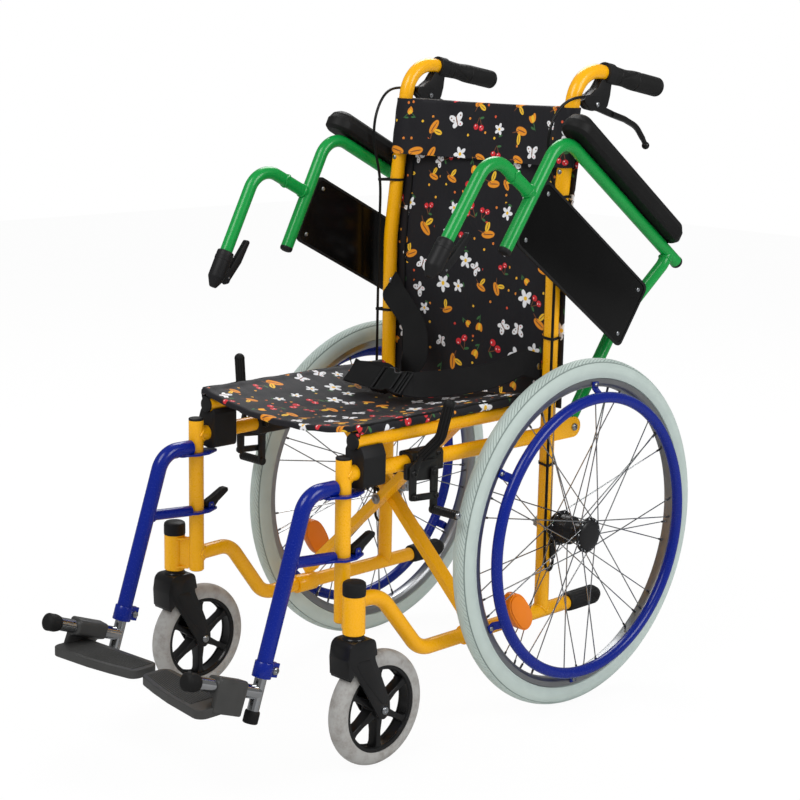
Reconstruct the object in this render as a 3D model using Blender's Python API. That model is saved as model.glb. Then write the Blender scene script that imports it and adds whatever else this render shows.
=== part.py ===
"""Folding wheelchair with flip-back armrests and swing-away footrests, in metres, +Z up.

The chair faces -Y and its left side is +X. The origin is on the floor, under the middle of the
chair's box. Each side is one welded tube frame; two crossed bars, each hinged on one lower rail and
welded to the seat rail of the other side, carry the seat and let the sides come together.
Places along the chair are given as the distance ahead of the rear axle.
"""

import math

import bmesh
import bpy
from mathutils import Matrix, Vector

# Whole chair
AXLE_Y = 0.2475
CLEARANCE = 0.0003
RUNNING_CLEARANCE = 0.0004
SIDES = {"left": 1, "right": -1}

# Side frames
FRAME_TUBE = 0.0254
FRONT_POST_X = 0.184
REAR_POST_X = 0.198
FRONT_POST_AHEAD = 0.489
FRONT_POST_BOTTOM = 0.234
FRONT_POST_TOP = 0.502
REAR_POST_AHEAD = 0.022
UPPER_RAIL_Z = 0.473
LOWER_RAIL_Z = 0.154
LOWER_RAIL_FRONT_Z = 0.263
LOWER_RAIL_DROP_START = 0.412
LOWER_RAIL_DROP_END = 0.328
LOWER_RAIL_BEND = 0.048
LOWER_RAIL_REAR = -0.112
BACK_LEAN_Z = 0.78
BACK_LEAN_BEND = 0.30
HANDLE_CORNER_AHEAD = -0.0195
HANDLE_CORNER_Z = 1.0985
HANDLE_BEND = 0.060
HANDLE_REACH = 0.2215
HANDLE_DROP = 0.0375
HANDLE_END_AHEAD = HANDLE_CORNER_AHEAD - HANDLE_REACH
HANDLE_END_Z = HANDLE_CORNER_Z - HANDLE_DROP

# Rear wheels
WHEEL_RADIUS = 0.305
WHEEL_X = 0.256
TYRE_WIDTH = 0.036
TYRE_DEPTH = 0.0332
TYRE_SEAT_RADIUS = WHEEL_RADIUS - TYRE_DEPTH
RIM_DEPTH = 0.0145
RIM_WIDTH = 0.026
HANDRIM_INSET = 0.0300
HANDRIM_RADIUS = TYRE_SEAT_RADIUS - HANDRIM_INSET
HANDRIM_TUBE = 0.019
HANDRIM_X = 0.2875
HANDRIM_TABS = 6
HUB_INNER_X = 0.2172
HUB_OUTER_X = 0.2865
HUB_FLANGE_RADIUS = 0.031
HUB_FLANGE_THICKNESS = 0.0030
SPOKES_PER_FLANGE = 18
SPOKE_DIAMETER = 0.002
SPOKE_SWEEP = math.radians(54)
AXLE_DIAMETER = 0.012
AXLE_INNER_END_X = 0.160
REFLECTOR_RADIUS = 0.185
REFLECTOR_LENGTH = 0.080
REFLECTOR_WIDTH = 0.042

# Casters
CASTER_X = 0.227
CASTER_STEM_AHEAD = 0.503
CASTER_TRAIL = 0.049
CASTER_RADIUS = 0.095
CASTER_TYRE_WIDTH = 0.032
CASTER_TYRE_INNER = 0.0715
CASTER_SPOKES = 6
CASTER_HOUSING_DIAMETER = 0.036
CASTER_HOUSING_BOTTOM = 0.2275
CASTER_HOUSING_TOP = 0.292
CASTER_CAP_TOP = 0.3145
CASTER_PIN_DIAMETER = 0.012
FORK_BLADE = 0.0045

# Cross bars and seat
BAR_THICKNESS = 0.015
BAR_DEPTH = 0.025
BAR_GAP = 0.0015
BAR_A_AHEAD = 0.2275
CENTRE_PIVOT_Z = 0.3547
CENTRE_BOLT_DIAMETER = 0.008
CENTRE_BOLT_HEAD = 0.013
HINGE_SLEEVE_WALL = 0.0034
HINGE_SLEEVE_LENGTH = 0.045
SEAT_RAIL_X = 0.182
SEAT_RAIL_Z = 0.522
SEAT_RAIL_FRONT = 0.471
SEAT_RAIL_REAR = 0.060
SADDLE_FRONT = 0.466
SADDLE_REAR = 0.398
SADDLE_WALL = 0.0075
SADDLE_BOTTOM = 0.4470
SADDLE_TOP = 0.5170
SEAT_FRONT = 0.466
SEAT_REAR = 0.048
SEAT_THICKNESS = 0.005
SEAT_SAG = 0.020
SEAT_EDGE_X = 0.1935

# Back sling
BACK_TOP = 1.030
BACK_FLAP_BOTTOM = 0.930
BACK_BOTTOM = 0.560
BACK_SHEET = 0.005
BACK_SLEEVE_WALL = 0.0026
BACK_HALF_WIDTH = 0.211

# Lap belt
BELT_WIDTH = 0.045
BELT_THICKNESS = 0.002
BUCKLE_LENGTH = 0.070
BUCKLE_HEIGHT = 0.050
BUCKLE_THICKNESS = 0.014

# Armrests: (ahead, up) from the pivot with the arm lowered
ARM_TUBE = 0.022
ARM_X = 0.239
ARM_PIVOT_X = 0.198
ARM_PIVOT_AHEAD = -0.031
ARM_PIVOT_Z = 0.480
ARM_RAISED = {"left": math.radians(35.7), "right": math.radians(26.6)}
ARM_TOP = 0.360
ARM_POST_AHEAD = 0.372
ARM_POST_BOTTOM = 0.137
ARM_REAR_END = -0.038
ARM_FRONT_AHEAD = 0.497
ARM_STEP_HEIGHT = 0.241
ARM_TIP_HEIGHT = 0.030
ARM_BEND = 0.045
ARM_FOOT = -0.022
ARM_JOGGLE_TOP = 0.345
ARM_JOGGLE_BOTTOM = 0.200
ARM_BRACKET_WALL = 0.003
ARM_BRACKET_HEIGHT = 0.036
ARM_BOLT_DIAMETER = 0.008
PAD_FRONT = 0.374
PAD_REAR = 0.008
PAD_WIDTH = 0.056
PAD_X = 0.2447
PAD_THICKNESS = 0.038
PANEL_BOTTOM = 0.157
PANEL_TOP = 0.282
PANEL_REAR = 0.012
PANEL_THICKNESS = 0.002

# Push handles and attendant brakes
GRIP_DIAMETER = 0.034
GRIP_LENGTH = 0.133
GRIP_END_WALL = 0.006
BRAKE_RING_LENGTH = 0.020
BRAKE_RING_WALL = 0.0055
BRAKE_BODY_WIDTH = 0.018
BRAKE_LEVER_THICKNESS = 0.006
BRAKE_LEVER_WIDTH = 0.011
BRAKE_PIVOT_AHEAD = -0.066
BRAKE_PIVOT_Z = 1.034
CABLE_DIAMETER = 0.005
BRAKE_PLATE_RADIUS = 0.029
BRAKE_PLATE_THICKNESS = 0.003

# Footrests
HANGER_X = 0.180
HANGER_TUBE = 0.0254
HANGER_TOP_Z = 0.453
HANGER_REACH = 0.073
HANGER_KNEE_AHEAD = FRONT_POST_AHEAD + HANGER_REACH
HANGER_BEND = 0.040
HANGER_FOOT_Z = 0.180
STEM_FOOT_AHEAD = 0.674
STEM_FOOT_Z = 0.112
STEM_DIAMETER = 0.019
STEM_CAP_LENGTH = 0.020
STEM_CAP_DIAMETER = 0.024
STEM_HIDDEN_LENGTH = 0.115
PLATE_UPPER_Z = 0.4395
PLATE_LOWER_Z = 0.3375
SWING_PLATE_THICKNESS = 0.004
SWING_PLATE_TAIL = 0.445
BRACE_TUBE = 0.018
FOOT_BAR_DIAMETER = 0.022
FOOT_BAR_START_Z = 0.158
FOOT_BAR_TIP_AHEAD = 0.799
FOOT_BAR_TIP_Z = 0.211
BUMPER_DIAMETER = 0.029
BUMPER_LENGTH = 0.026
CLIP_START = 0.026
CLIP_END = 0.102
CLIP_WALL = 0.0045
CLIP_DROP = 0.040
FOOTPLATE_TOP_Z = 0.163
FOOTPLATE_THICKNESS = 0.013
FOOTPLATE_BORDER_DROP = 0.0012
FOOTPLATE_INNER_X = 0.020
FOOTPLATE_OUTER_X = 0.1965
FOOTPLATE_FRONT = 0.783
FOOTPLATE_REAR = 0.716

# Wheel locks
LOCK_FRONT = 0.358
LOCK_REAR = 0.288
LOCK_WALL = 0.0038
LOCK_PLATE_X = 0.2075
LOCK_PLATE = 0.004
LOCK_LEVER_AHEAD = 0.366
LOCK_LEVER_Z = 0.460
LOCK_SHOE_AHEAD = 0.318
LOCK_SHOE_Z = 0.456
LOCK_CRANK = 0.038
LOCK_SHOE_DROP = 0.062
LOCK_BLADE = 0.0045
LOCK_LINK = 0.0035
LOCK_PIN_DIAMETER = 0.006
LOCK_LINK_PIN_DIAMETER = 0.005
LOCK_SHOE_DIAMETER = 0.015
LOCK_SHOE_END_X = 0.271

for leftover in list(bpy.data.objects):
    bpy.data.objects.remove(leftover, do_unlink=True)


def principled(name, color, roughness, metallic=0.0):
    material = bpy.data.materials.new(name)
    material.use_nodes = True
    shader = material.node_tree.nodes["Principled BSDF"]
    shader.inputs["Base Color"].default_value = (*color, 1.0)
    shader.inputs["Roughness"].default_value = roughness
    shader.inputs["Metallic"].default_value = metallic
    material.diffuse_color = (*color, 1.0)
    return material


YELLOW = principled("yellow_powder_coat", (0.90, 0.45, 0.01), 0.30)
BLUE = principled("blue_powder_coat", (0.02, 0.03, 0.50), 0.28)
GREEN = principled("green_powder_coat", (0.01, 0.30, 0.05), 0.28)
BLACK = principled("black_nylon", (0.02, 0.02, 0.02), 0.45)
CHROME = principled("chromed_steel", (0.75, 0.76, 0.78), 0.12, 1.0)
ALLOY = principled("polished_alloy", (0.65, 0.65, 0.67), 0.30, 1.0)
GREY_TYRE = principled("grey_polyurethane", (0.36, 0.42, 0.41), 0.60)
PALE_TYRE = principled("pale_grey_polyurethane", (0.48, 0.49, 0.48), 0.55)
FOAM = principled("black_foam", (0.025, 0.025, 0.025), 0.75)
PANEL_BLACK = principled("black_panel", (0.015, 0.014, 0.012), 0.25)
CLOTH = principled("printed_cloth", (0.03, 0.03, 0.035), 0.80)
WEBBING = principled("black_webbing", (0.02, 0.02, 0.02), 0.85)


def at(x, ahead, z):
    return Vector((x, AXLE_Y - ahead, z))


def joint_frame(name, parent, origin):
    """An empty on a joint's axis; the pieces of the moving body are its children."""
    empty = bpy.data.objects.new(name, None)
    bpy.context.scene.collection.objects.link(empty)
    empty["origin"] = origin
    if parent is None:
        empty.location = origin
    else:
        empty.parent = parent
        empty.location = origin - Vector(parent["origin"])
    return empty


def helper(mesh):
    thing = bpy.data.objects.new("helper", mesh)
    thing.hide_render = True
    thing.display_type = "WIRE"
    bpy.context.scene.collection.objects.link(thing)
    return thing


def evaluated_mesh(thing):
    graph = bpy.context.evaluated_depsgraph_get()
    return bpy.data.meshes.new_from_object(thing.evaluated_get(graph))


def boolean(base, others, operation):
    """The base mesh with each other mesh joined to it or cut from it."""
    for other in others:
        body = helper(base)
        tool = helper(other)
        step = body.modifiers.new(operation.lower(), "BOOLEAN")
        step.operation = operation
        step.solver = "EXACT"
        step.object = tool
        base = evaluated_mesh(body)
        bpy.data.objects.remove(body, do_unlink=True)
        bpy.data.objects.remove(tool, do_unlink=True)
    return base


def joined(*meshes):
    return boolean(meshes[0], meshes[1:], "UNION")


def cut(base, *cutters):
    return boolean(base, cutters, "DIFFERENCE")


def gathered(meshes):
    """Meshes that don't touch, as one mesh, so that one Boolean takes them all."""
    built = bmesh.new()
    for mesh in meshes:
        built.from_mesh(mesh)
    return closed(built)


def closed(built):
    bmesh.ops.remove_doubles(built, verts=built.verts, dist=1e-6)
    bmesh.ops.recalc_face_normals(built, faces=built.faces)
    if built.calc_volume(signed=True) < 0:
        bmesh.ops.reverse_faces(built, faces=built.faces)
    mesh = bpy.data.meshes.new("shape")
    built.to_mesh(mesh)
    built.free()
    return mesh


def piece(name, mesh, material, body):
    """A named sub-part: its mesh moves to its body's joint frame, so that its place stays the same."""
    mesh.transform(Matrix.Translation(-Vector(body["origin"])))
    mesh.name = name
    mesh.materials.clear()
    mesh.materials.append(material)
    mesh.shade_smooth()
    mesh.set_sharp_from_angle(angle=math.radians(35))
    thing = bpy.data.objects.new(name, mesh)
    bpy.context.scene.collection.objects.link(thing)
    thing.parent = body
    return thing


def bent(points, radii, steps=4):
    """The points of a bent tube's centre line: each inner corner becomes an arc of its own radius."""
    route = [points[0]]
    for before, corner, after, radius in zip(points, points[1:], points[2:], radii):
        inward = (before - corner).normalized()
        outward = (after - corner).normalized()
        half = inward.angle(outward) / 2
        centre = corner + (inward + outward).normalized() * radius / math.sin(half)
        start = corner + inward * radius / math.tan(half) - centre
        end = corner + outward * radius / math.tan(half) - centre
        turn = start.angle(end)
        axis = start.cross(end).normalized()
        for step in range(steps + 1):
            route.append(centre + Matrix.Rotation(turn * step / steps, 3, axis) @ start)
    route.append(points[-1])
    return route


def tube(route, diameter, sides=10):
    """A solid round bar along a route, made from a bevelled curve with filled caps."""
    curve = bpy.data.curves.new("route", "CURVE")
    curve.dimensions = "3D"
    curve.bevel_depth = diameter / 2
    curve.bevel_resolution = sides // 2 - 2
    curve.use_fill_caps = True
    spline = curve.splines.new("POLY")
    spline.points.add(len(route) - 1)
    for point, place in zip(spline.points, route):
        point.co = (*place, 1.0)
    thing = helper(curve)
    mesh = evaluated_mesh(thing)
    bpy.data.objects.remove(thing, do_unlink=True)
    built = bmesh.new()
    built.from_mesh(mesh)
    return closed(built)


def rod(start, end, diameter, sides=12):
    """A straight solid cylinder from start to end."""
    built = bmesh.new()
    span = end - start
    turn = Vector((0, 0, 1)).rotation_difference(span).to_matrix().to_4x4()
    bmesh.ops.create_cone(
        built,
        cap_ends=True,
        segments=sides,
        radius1=diameter / 2,
        radius2=diameter / 2,
        depth=span.length,
        matrix=Matrix.Translation((start + end) / 2) @ turn,
    )
    return closed(built)


def around(radius, sides):
    """The corner radius of a many-sided hole or wheel whose flats stand this far from its axis."""
    return radius / math.cos(math.pi / sides)


def turned(profile, origin, axis, steps, ring=False, standing=False):
    """A profile of (radius, distance along the axis) spun round the axis from the lowest point.

    A ring's profile is a loop clear of the axis; any other profile starts and ends on it.
    A standing wheel has a flat at its lowest point, and its radii are those of its flats.
    """
    axis = axis.normalized()
    start = Vector((0, 0, -1)) if abs(axis.z) < 0.9 else Vector((1, 0, 0))
    start = (start - axis * start.dot(axis)).normalized()
    if standing:
        start = Matrix.Rotation(math.pi / steps, 3, axis) @ start
        profile = [(around(r, steps), h) for r, h in profile]
    built = bmesh.new()
    points = [built.verts.new(origin + start * r + axis * h) for r, h in profile]
    edges = [built.edges.new(pair) for pair in zip(points, points[1:])]
    if ring:
        edges.append(built.edges.new((points[-1], points[0])))
    bmesh.ops.spin(
        built,
        geom=points + edges,
        cent=origin,
        axis=axis,
        angle=math.tau,
        steps=steps,
        use_merge=True,
    )
    return closed(built)


def slab(outline, thickness):
    """A flat outline given a thickness vector."""
    built = bmesh.new()
    face = built.faces.new([built.verts.new(point) for point in outline])
    grown = bmesh.ops.extrude_face_region(built, geom=[face])["geom"]
    moved = [item for item in grown if isinstance(item, bmesh.types.BMVert)]
    bmesh.ops.translate(built, verts=moved, vec=thickness)
    return closed(built)


def side_slab(sign, x_low, x_high, outline):
    """A plate in a side view: outline points are (ahead, z), and x runs outwards from the middle."""
    points = [at(sign * x_low, ahead, z) for ahead, z in outline]
    return slab(points, Vector((sign * (x_high - x_low), 0, 0)))


def rounded(outline, radius, steps=2):
    """A flat outline of (u, v) points with every corner rounded."""
    result = []
    count = len(outline)
    for index in range(count):
        before, corner, after = (Vector((*outline[(index + k) % count], 0)) for k in (-1, 0, 1))
        inward = (before - corner).normalized()
        outward = (after - corner).normalized()
        half = inward.angle(outward) / 2
        reach = min(radius / math.tan(half), (before - corner).length / 2.2, (after - corner).length / 2.2)
        size = reach * math.tan(half)
        centre = corner + (inward + outward).normalized() * size / math.sin(half)
        start = corner + inward * reach - centre
        end = corner + outward * reach - centre
        turn = start.angle(end)
        spin = start.cross(end).normalized()
        for step in range(steps + 1):
            point = centre + Matrix.Rotation(turn * step / steps, 3, spin) @ start
            result.append((point.x, point.y))
    return result


def lofted(rings):
    """A closed solid through rings of points, each ring with as many points."""
    built = bmesh.new()
    loops = [[built.verts.new(point) for point in ring] for ring in rings]
    for low, high in zip(loops, loops[1:]):
        for index in range(len(low)):
            after = (index + 1) % len(low)
            built.faces.new((low[index], low[after], high[after], high[index]))
    built.faces.new(loops[0])
    built.faces.new(loops[-1])
    return closed(built)


def circle(radius, steps, centre=(0.0, 0.0), start=0.0):
    return [
        (
            centre[0] + radius * math.cos(start + math.tau * k / steps),
            centre[1] + radius * math.sin(start + math.tau * k / steps),
        )
        for k in range(steps)
    ]


def upper_rail_x(ahead):
    share = (FRONT_POST_AHEAD - ahead) / (FRONT_POST_AHEAD - REAR_POST_AHEAD)
    return FRONT_POST_X + (REAR_POST_X - FRONT_POST_X) * share


def back_route(sign):
    """The centre line of the rear post, which leans back above the seat and bends into the handle."""
    corners = [
        at(sign * REAR_POST_X, REAR_POST_AHEAD, LOWER_RAIL_Z),
        at(sign * REAR_POST_X, REAR_POST_AHEAD, BACK_LEAN_Z),
        at(sign * REAR_POST_X, HANDLE_CORNER_AHEAD, HANDLE_CORNER_Z),
        at(sign * REAR_POST_X, HANDLE_END_AHEAD, HANDLE_END_Z),
    ]
    return bent(corners, (BACK_LEAN_BEND, HANDLE_BEND), steps=5)


def handle_direction():
    """Unit (ahead, z) along the push handle, pointing backwards."""
    run = Vector((HANDLE_END_AHEAD - HANDLE_CORNER_AHEAD, HANDLE_END_Z - HANDLE_CORNER_Z))
    return run.normalized()


def handle_point(sign, from_end):
    """A point on the handle's centre line, measured forwards from the grip's end."""
    run = handle_direction()
    return at(sign * REAR_POST_X, HANDLE_END_AHEAD - run.x * from_end, HANDLE_END_Z - run.y * from_end)


def upper_rail(sign, extra=0.0):
    """The upper rail's straight tube, or a cutter that clears it by extra all round."""
    start = at(sign * FRONT_POST_X, FRONT_POST_AHEAD, UPPER_RAIL_Z)
    end = at(sign * REAR_POST_X, REAR_POST_AHEAD, UPPER_RAIL_Z)
    return rod(start, end, FRAME_TUBE + 2 * extra, 12)


def lower_rail(sign):
    corners = [
        at(sign * FRONT_POST_X, FRONT_POST_AHEAD, LOWER_RAIL_FRONT_Z),
        at(sign * (FRONT_POST_X + 0.006), LOWER_RAIL_DROP_START, LOWER_RAIL_FRONT_Z),
        at(sign * REAR_POST_X, LOWER_RAIL_DROP_END, LOWER_RAIL_Z),
        at(sign * REAR_POST_X, LOWER_RAIL_REAR, LOWER_RAIL_Z),
    ]
    return tube(bent(corners, (LOWER_RAIL_BEND, LOWER_RAIL_BEND)), FRAME_TUBE, 12)


def caster_housing(sign):
    """The stem housing, its cap and the gusset that welds it to the front post."""
    stem = at(sign * CASTER_X, CASTER_STEM_AHEAD, 0)
    radius = CASTER_HOUSING_DIAMETER / 2
    pin_bore = CASTER_PIN_DIAMETER / 2 + RUNNING_CLEARANCE
    bore_top = CASTER_HOUSING_TOP - 0.008
    profile = [
        (0, bore_top),
        (pin_bore, bore_top),
        (pin_bore, CASTER_HOUSING_BOTTOM),
        (radius, CASTER_HOUSING_BOTTOM),
        (radius, CASTER_HOUSING_TOP),
        (radius - 0.0012, CASTER_HOUSING_TOP + 0.001),
        (radius - 0.0012, CASTER_CAP_TOP - 0.004),
        (radius - 0.0050, CASTER_CAP_TOP),
        (0, CASTER_CAP_TOP),
    ]
    housing = turned(profile, stem, Vector((0, 0, 1)), 16)
    low = CASTER_HOUSING_BOTTOM + 0.008
    gusset = slab(
        [
            at(sign * FRONT_POST_X, FRONT_POST_AHEAD - 0.006, low),
            at(sign * FRONT_POST_X, FRONT_POST_AHEAD + 0.006, low),
            at(sign * (CASTER_X - radius + 0.004), CASTER_STEM_AHEAD + 0.004, low),
            at(sign * (CASTER_X - radius + 0.004), CASTER_STEM_AHEAD - 0.008, low),
        ],
        Vector((0, 0, CASTER_HOUSING_TOP - low - 0.004)),
    )
    return housing, gusset


def arm_bracket(sign):
    """Two plates behind the rear post that hold the armrest's foot, with its bolt."""
    inner = ARM_TUBE / 2 + 0.0006
    half = ARM_BRACKET_HEIGHT / 2
    nose = circle(half, 16, (ARM_PIVOT_AHEAD, ARM_PIVOT_Z), math.pi / 2)[:9]
    outline = [(REAR_POST_AHEAD, ARM_PIVOT_Z - half), (REAR_POST_AHEAD, ARM_PIVOT_Z + half)]
    outline += nose
    shapes = []
    for side in (-1, 1):
        near = ARM_PIVOT_X + side * inner
        far = ARM_PIVOT_X + side * (inner + ARM_BRACKET_WALL)
        shapes.append(side_slab(sign, near, far, outline))
    reach = inner + ARM_BRACKET_WALL + 0.005
    shapes.append(
        rod(
            at(sign * (ARM_PIVOT_X - reach), ARM_PIVOT_AHEAD, ARM_PIVOT_Z),
            at(sign * (ARM_PIVOT_X + reach), ARM_PIVOT_AHEAD, ARM_PIVOT_Z),
            ARM_BOLT_DIAMETER,
            10,
        )
    )
    return shapes


def axle_and_brake_plate(sign):
    """The axle boss beside the rear post, the axle with its nut, and the drum brake's fixed plate."""
    boss_end = REAR_POST_X + FRAME_TUBE / 2 + 0.0011
    axle_end = HUB_OUTER_X - 0.020
    plate_end = boss_end + BRAKE_PLATE_THICKNESS
    boss = rod(
        at(sign * (REAR_POST_X - 0.016), 0, WHEEL_RADIUS), at(sign * boss_end, 0, WHEEL_RADIUS), 0.030, 16
    )
    axle = rod(
        at(sign * (AXLE_INNER_END_X + 0.004), 0, WHEEL_RADIUS),
        at(sign * axle_end, 0, WHEEL_RADIUS),
        AXLE_DIAMETER,
        12,
    )
    nut = rod(
        at(sign * AXLE_INNER_END_X, 0, WHEEL_RADIUS),
        at(sign * (AXLE_INNER_END_X + 0.010), 0, WHEEL_RADIUS),
        0.020,
        6,
    )
    disc = rod(
        at(sign * (boss_end - 0.001), 0, WHEEL_RADIUS),
        at(sign * plate_end, 0, WHEEL_RADIUS),
        2 * BRAKE_PLATE_RADIUS,
        24,
    )
    arm = side_slab(
        sign,
        boss_end - 0.0005,
        plate_end + 0.0004,
        [
            (0.006, WHEEL_RADIUS - 0.005),
            (0.022, WHEEL_RADIUS - 0.013),
            (0.019, CABLE_END_Z),
            (0.009, CABLE_END_Z),
        ],
    )
    return boss, axle, nut, disc, arm


CABLE_END_Z = WHEEL_RADIUS - 0.055


def side_frame(name, sign, body):
    front_post = rod(
        at(sign * FRONT_POST_X, FRONT_POST_AHEAD, FRONT_POST_BOTTOM),
        at(sign * FRONT_POST_X, FRONT_POST_AHEAD, FRONT_POST_TOP),
        FRAME_TUBE,
        12,
    )
    handle_tube = back_route(sign)
    handle_tube[-1] = handle_point(sign, GRIP_END_WALL + 0.003)
    rear_post = tube(handle_tube, FRAME_TUBE, 12)
    shapes = [front_post, upper_rail(sign), lower_rail(sign), rear_post]
    shapes += caster_housing(sign)
    shapes += arm_bracket(sign)
    shapes += axle_and_brake_plate(sign)
    piece(f"{name}_side_frame", joined(*shapes), YELLOW, body)


def tip_sleeve(name, sign, body):
    """The ribbed rubber foot on the tipping tube at the rear end of the lower rail."""
    rear = LOWER_RAIL_REAR
    length = 0.086
    bore = around(FRAME_TUBE / 2 + CLEARANCE, 12)
    radius = bore + 0.004
    profile = [
        (0, -0.019),
        (radius - 0.005, -0.019),
        (radius, -0.010),
        (radius, length - 0.022),
        (radius - 0.002, length - 0.019),
        (bore, length - 0.019),
        (bore, -CLEARANCE),
        (0, -CLEARANCE),
    ]
    sleeve = turned(profile, at(sign * REAR_POST_X, rear, LOWER_RAIL_Z), Vector((0, -1, 0)), 12)
    piece(f"{name}_tipping_sleeve", sleeve, BLACK, body)


def rail_saddle(name, sign, body):
    """The moulded block on the upper rail with the cradle that the seat rail drops into."""
    middle = (SADDLE_FRONT + SADDLE_REAR) / 2
    rail_x = upper_rail_x(middle)
    inner = min(rail_x, SEAT_RAIL_X) - FRAME_TUBE / 2 - SADDLE_WALL + 0.002
    outer = rail_x + FRAME_TUBE / 2 + SADDLE_WALL
    outline = rounded(
        [
            (inner, SADDLE_BOTTOM),
            (outer, SADDLE_BOTTOM),
            (outer, 0.500),
            (outer - 0.004, SADDLE_TOP),
            (inner, SADDLE_TOP),
        ],
        0.006,
    )
    block = slab(
        [at(sign * x, SADDLE_REAR, z) for x, z in outline],
        Vector((0, SADDLE_REAR - SADDLE_FRONT, 0)),
    )
    cradle = rod(
        at(sign * SEAT_RAIL_X, SADDLE_FRONT + 0.01, SEAT_RAIL_Z),
        at(sign * SEAT_RAIL_X, SADDLE_REAR - 0.01, SEAT_RAIL_Z),
        FRAME_TUBE + 2 * RUNNING_CLEARANCE,
        20,
    )
    piece(f"{name}_rail_saddle", cut(block, upper_rail(sign, CLEARANCE), cradle), BLACK, body)


def push_grip(name, sign, body):
    """A rubber grip: a blind sleeve over the handle's end, waisted, with a collar at its root."""
    run = handle_direction()
    inwards = Vector((0, run.x, -run.y))
    bore = around(FRAME_TUBE / 2 + CLEARANCE, 14)
    radius = GRIP_DIAMETER / 2
    profile = [
        (0, 0),
        (radius - 0.004, 0),
        (radius, 0.004),
        (radius, 0.070),
        (radius - 0.0022, 0.100),
        (radius - 0.0012, GRIP_LENGTH - 0.006),
        (radius - 0.0012, GRIP_LENGTH),
        (bore, GRIP_LENGTH),
        (bore, GRIP_END_WALL),
        (0, GRIP_END_WALL),
    ]
    grip = turned(profile, handle_point(sign, 0), inwards, 14)
    piece(f"{name}_push_grip", grip, BLACK, body)


def brake_body(name, sign, body):
    """The attendant brake's clamp: a ring round the handle and a forked housing under it."""
    x = REAR_POST_X
    ring_near = handle_point(sign, GRIP_LENGTH + 0.0012)
    ring_far = handle_point(sign, GRIP_LENGTH + 0.0012 + BRAKE_RING_LENGTH)
    ring = rod(ring_near, ring_far, FRAME_TUBE + 2 * CLEARANCE + 2 * BRAKE_RING_WALL, 16)
    half = BRAKE_BODY_WIDTH / 2
    housing = side_slab(
        sign,
        x - half,
        x + half,
        [
            (-0.078, 1.077),
            (-0.066, 1.062),
            (-0.048, 1.051),
            (-0.033, 1.050),
            (-0.033, 1.038),
            (-0.048, 1.026),
            (-0.072, 1.022),
            (-0.094, 1.028),
            (-0.1005, 1.048),
            (-0.1035, 1.070),
        ],
    )
    bore = rod(
        handle_point(sign, GRIP_LENGTH - 0.02),
        handle_point(sign, GRIP_LENGTH + 0.05),
        around(FRAME_TUBE + 2 * CLEARANCE, 16),
        16,
    )
    slot_half = BRAKE_LEVER_THICKNESS / 2 + RUNNING_CLEARANCE
    slot = side_slab(
        sign,
        x - slot_half,
        x + slot_half,
        [(-0.052, 1.046), (-0.052, 1.010), (-0.120, 1.010), (-0.120, 1.046)],
    )
    shell = cut(joined(ring, housing), bore, slot)
    pin = rod(
        at(sign * (x - half + 0.001), BRAKE_PIVOT_AHEAD, BRAKE_PIVOT_Z),
        at(sign * (x + half - 0.001), BRAKE_PIVOT_AHEAD, BRAKE_PIVOT_Z),
        0.004,
        8,
    )
    piece(f"{name}_brake_body", joined(shell, pin), BLACK, body)


def brake_lever(name, sign, body):
    """The pull lever: a flat root in the housing's fork, then a curved blade with a curled tip."""
    x = REAR_POST_X
    half = BRAKE_LEVER_THICKNESS / 2
    eye = 0.0065
    root = side_slab(
        sign,
        x - half,
        x + half,
        rounded(
            [
                (BRAKE_PIVOT_AHEAD + eye, BRAKE_PIVOT_Z + eye),
                (BRAKE_PIVOT_AHEAD + eye, BRAKE_PIVOT_Z - eye),
                (-0.100, 1.0155),
                (-0.125, 1.0085),
                (-0.125, 1.0195),
                (-0.100, 1.0275),
                (BRAKE_PIVOT_AHEAD - 0.010, BRAKE_PIVOT_Z + eye),
            ],
            0.004,
        ),
    )
    wide = BRAKE_LEVER_WIDTH / 2
    blade = side_slab(
        sign,
        x - wide,
        x + wide,
        [
            (-0.117, 1.0215),
            (-0.117, 1.0105),
            (-0.150, 1.0015),
            (-0.180, 0.9890),
            (-0.200, 0.9740),
            (-0.2085, 0.9580),
            (-0.2155, 0.9530),
            (-0.2215, 0.9570),
            (-0.2215, 0.9640),
            (-0.2090, 0.9820),
            (-0.1880, 0.9985),
            (-0.1550, 1.0120),
        ],
    )
    hole = rod(
        at(sign * (x - 0.02), BRAKE_PIVOT_AHEAD, BRAKE_PIVOT_Z),
        at(sign * (x + 0.02), BRAKE_PIVOT_AHEAD, BRAKE_PIVOT_Z),
        0.0048,
        8,
    )
    piece(f"{name}_brake_lever", cut(joined(root, blade), hole), BLACK, body)


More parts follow.
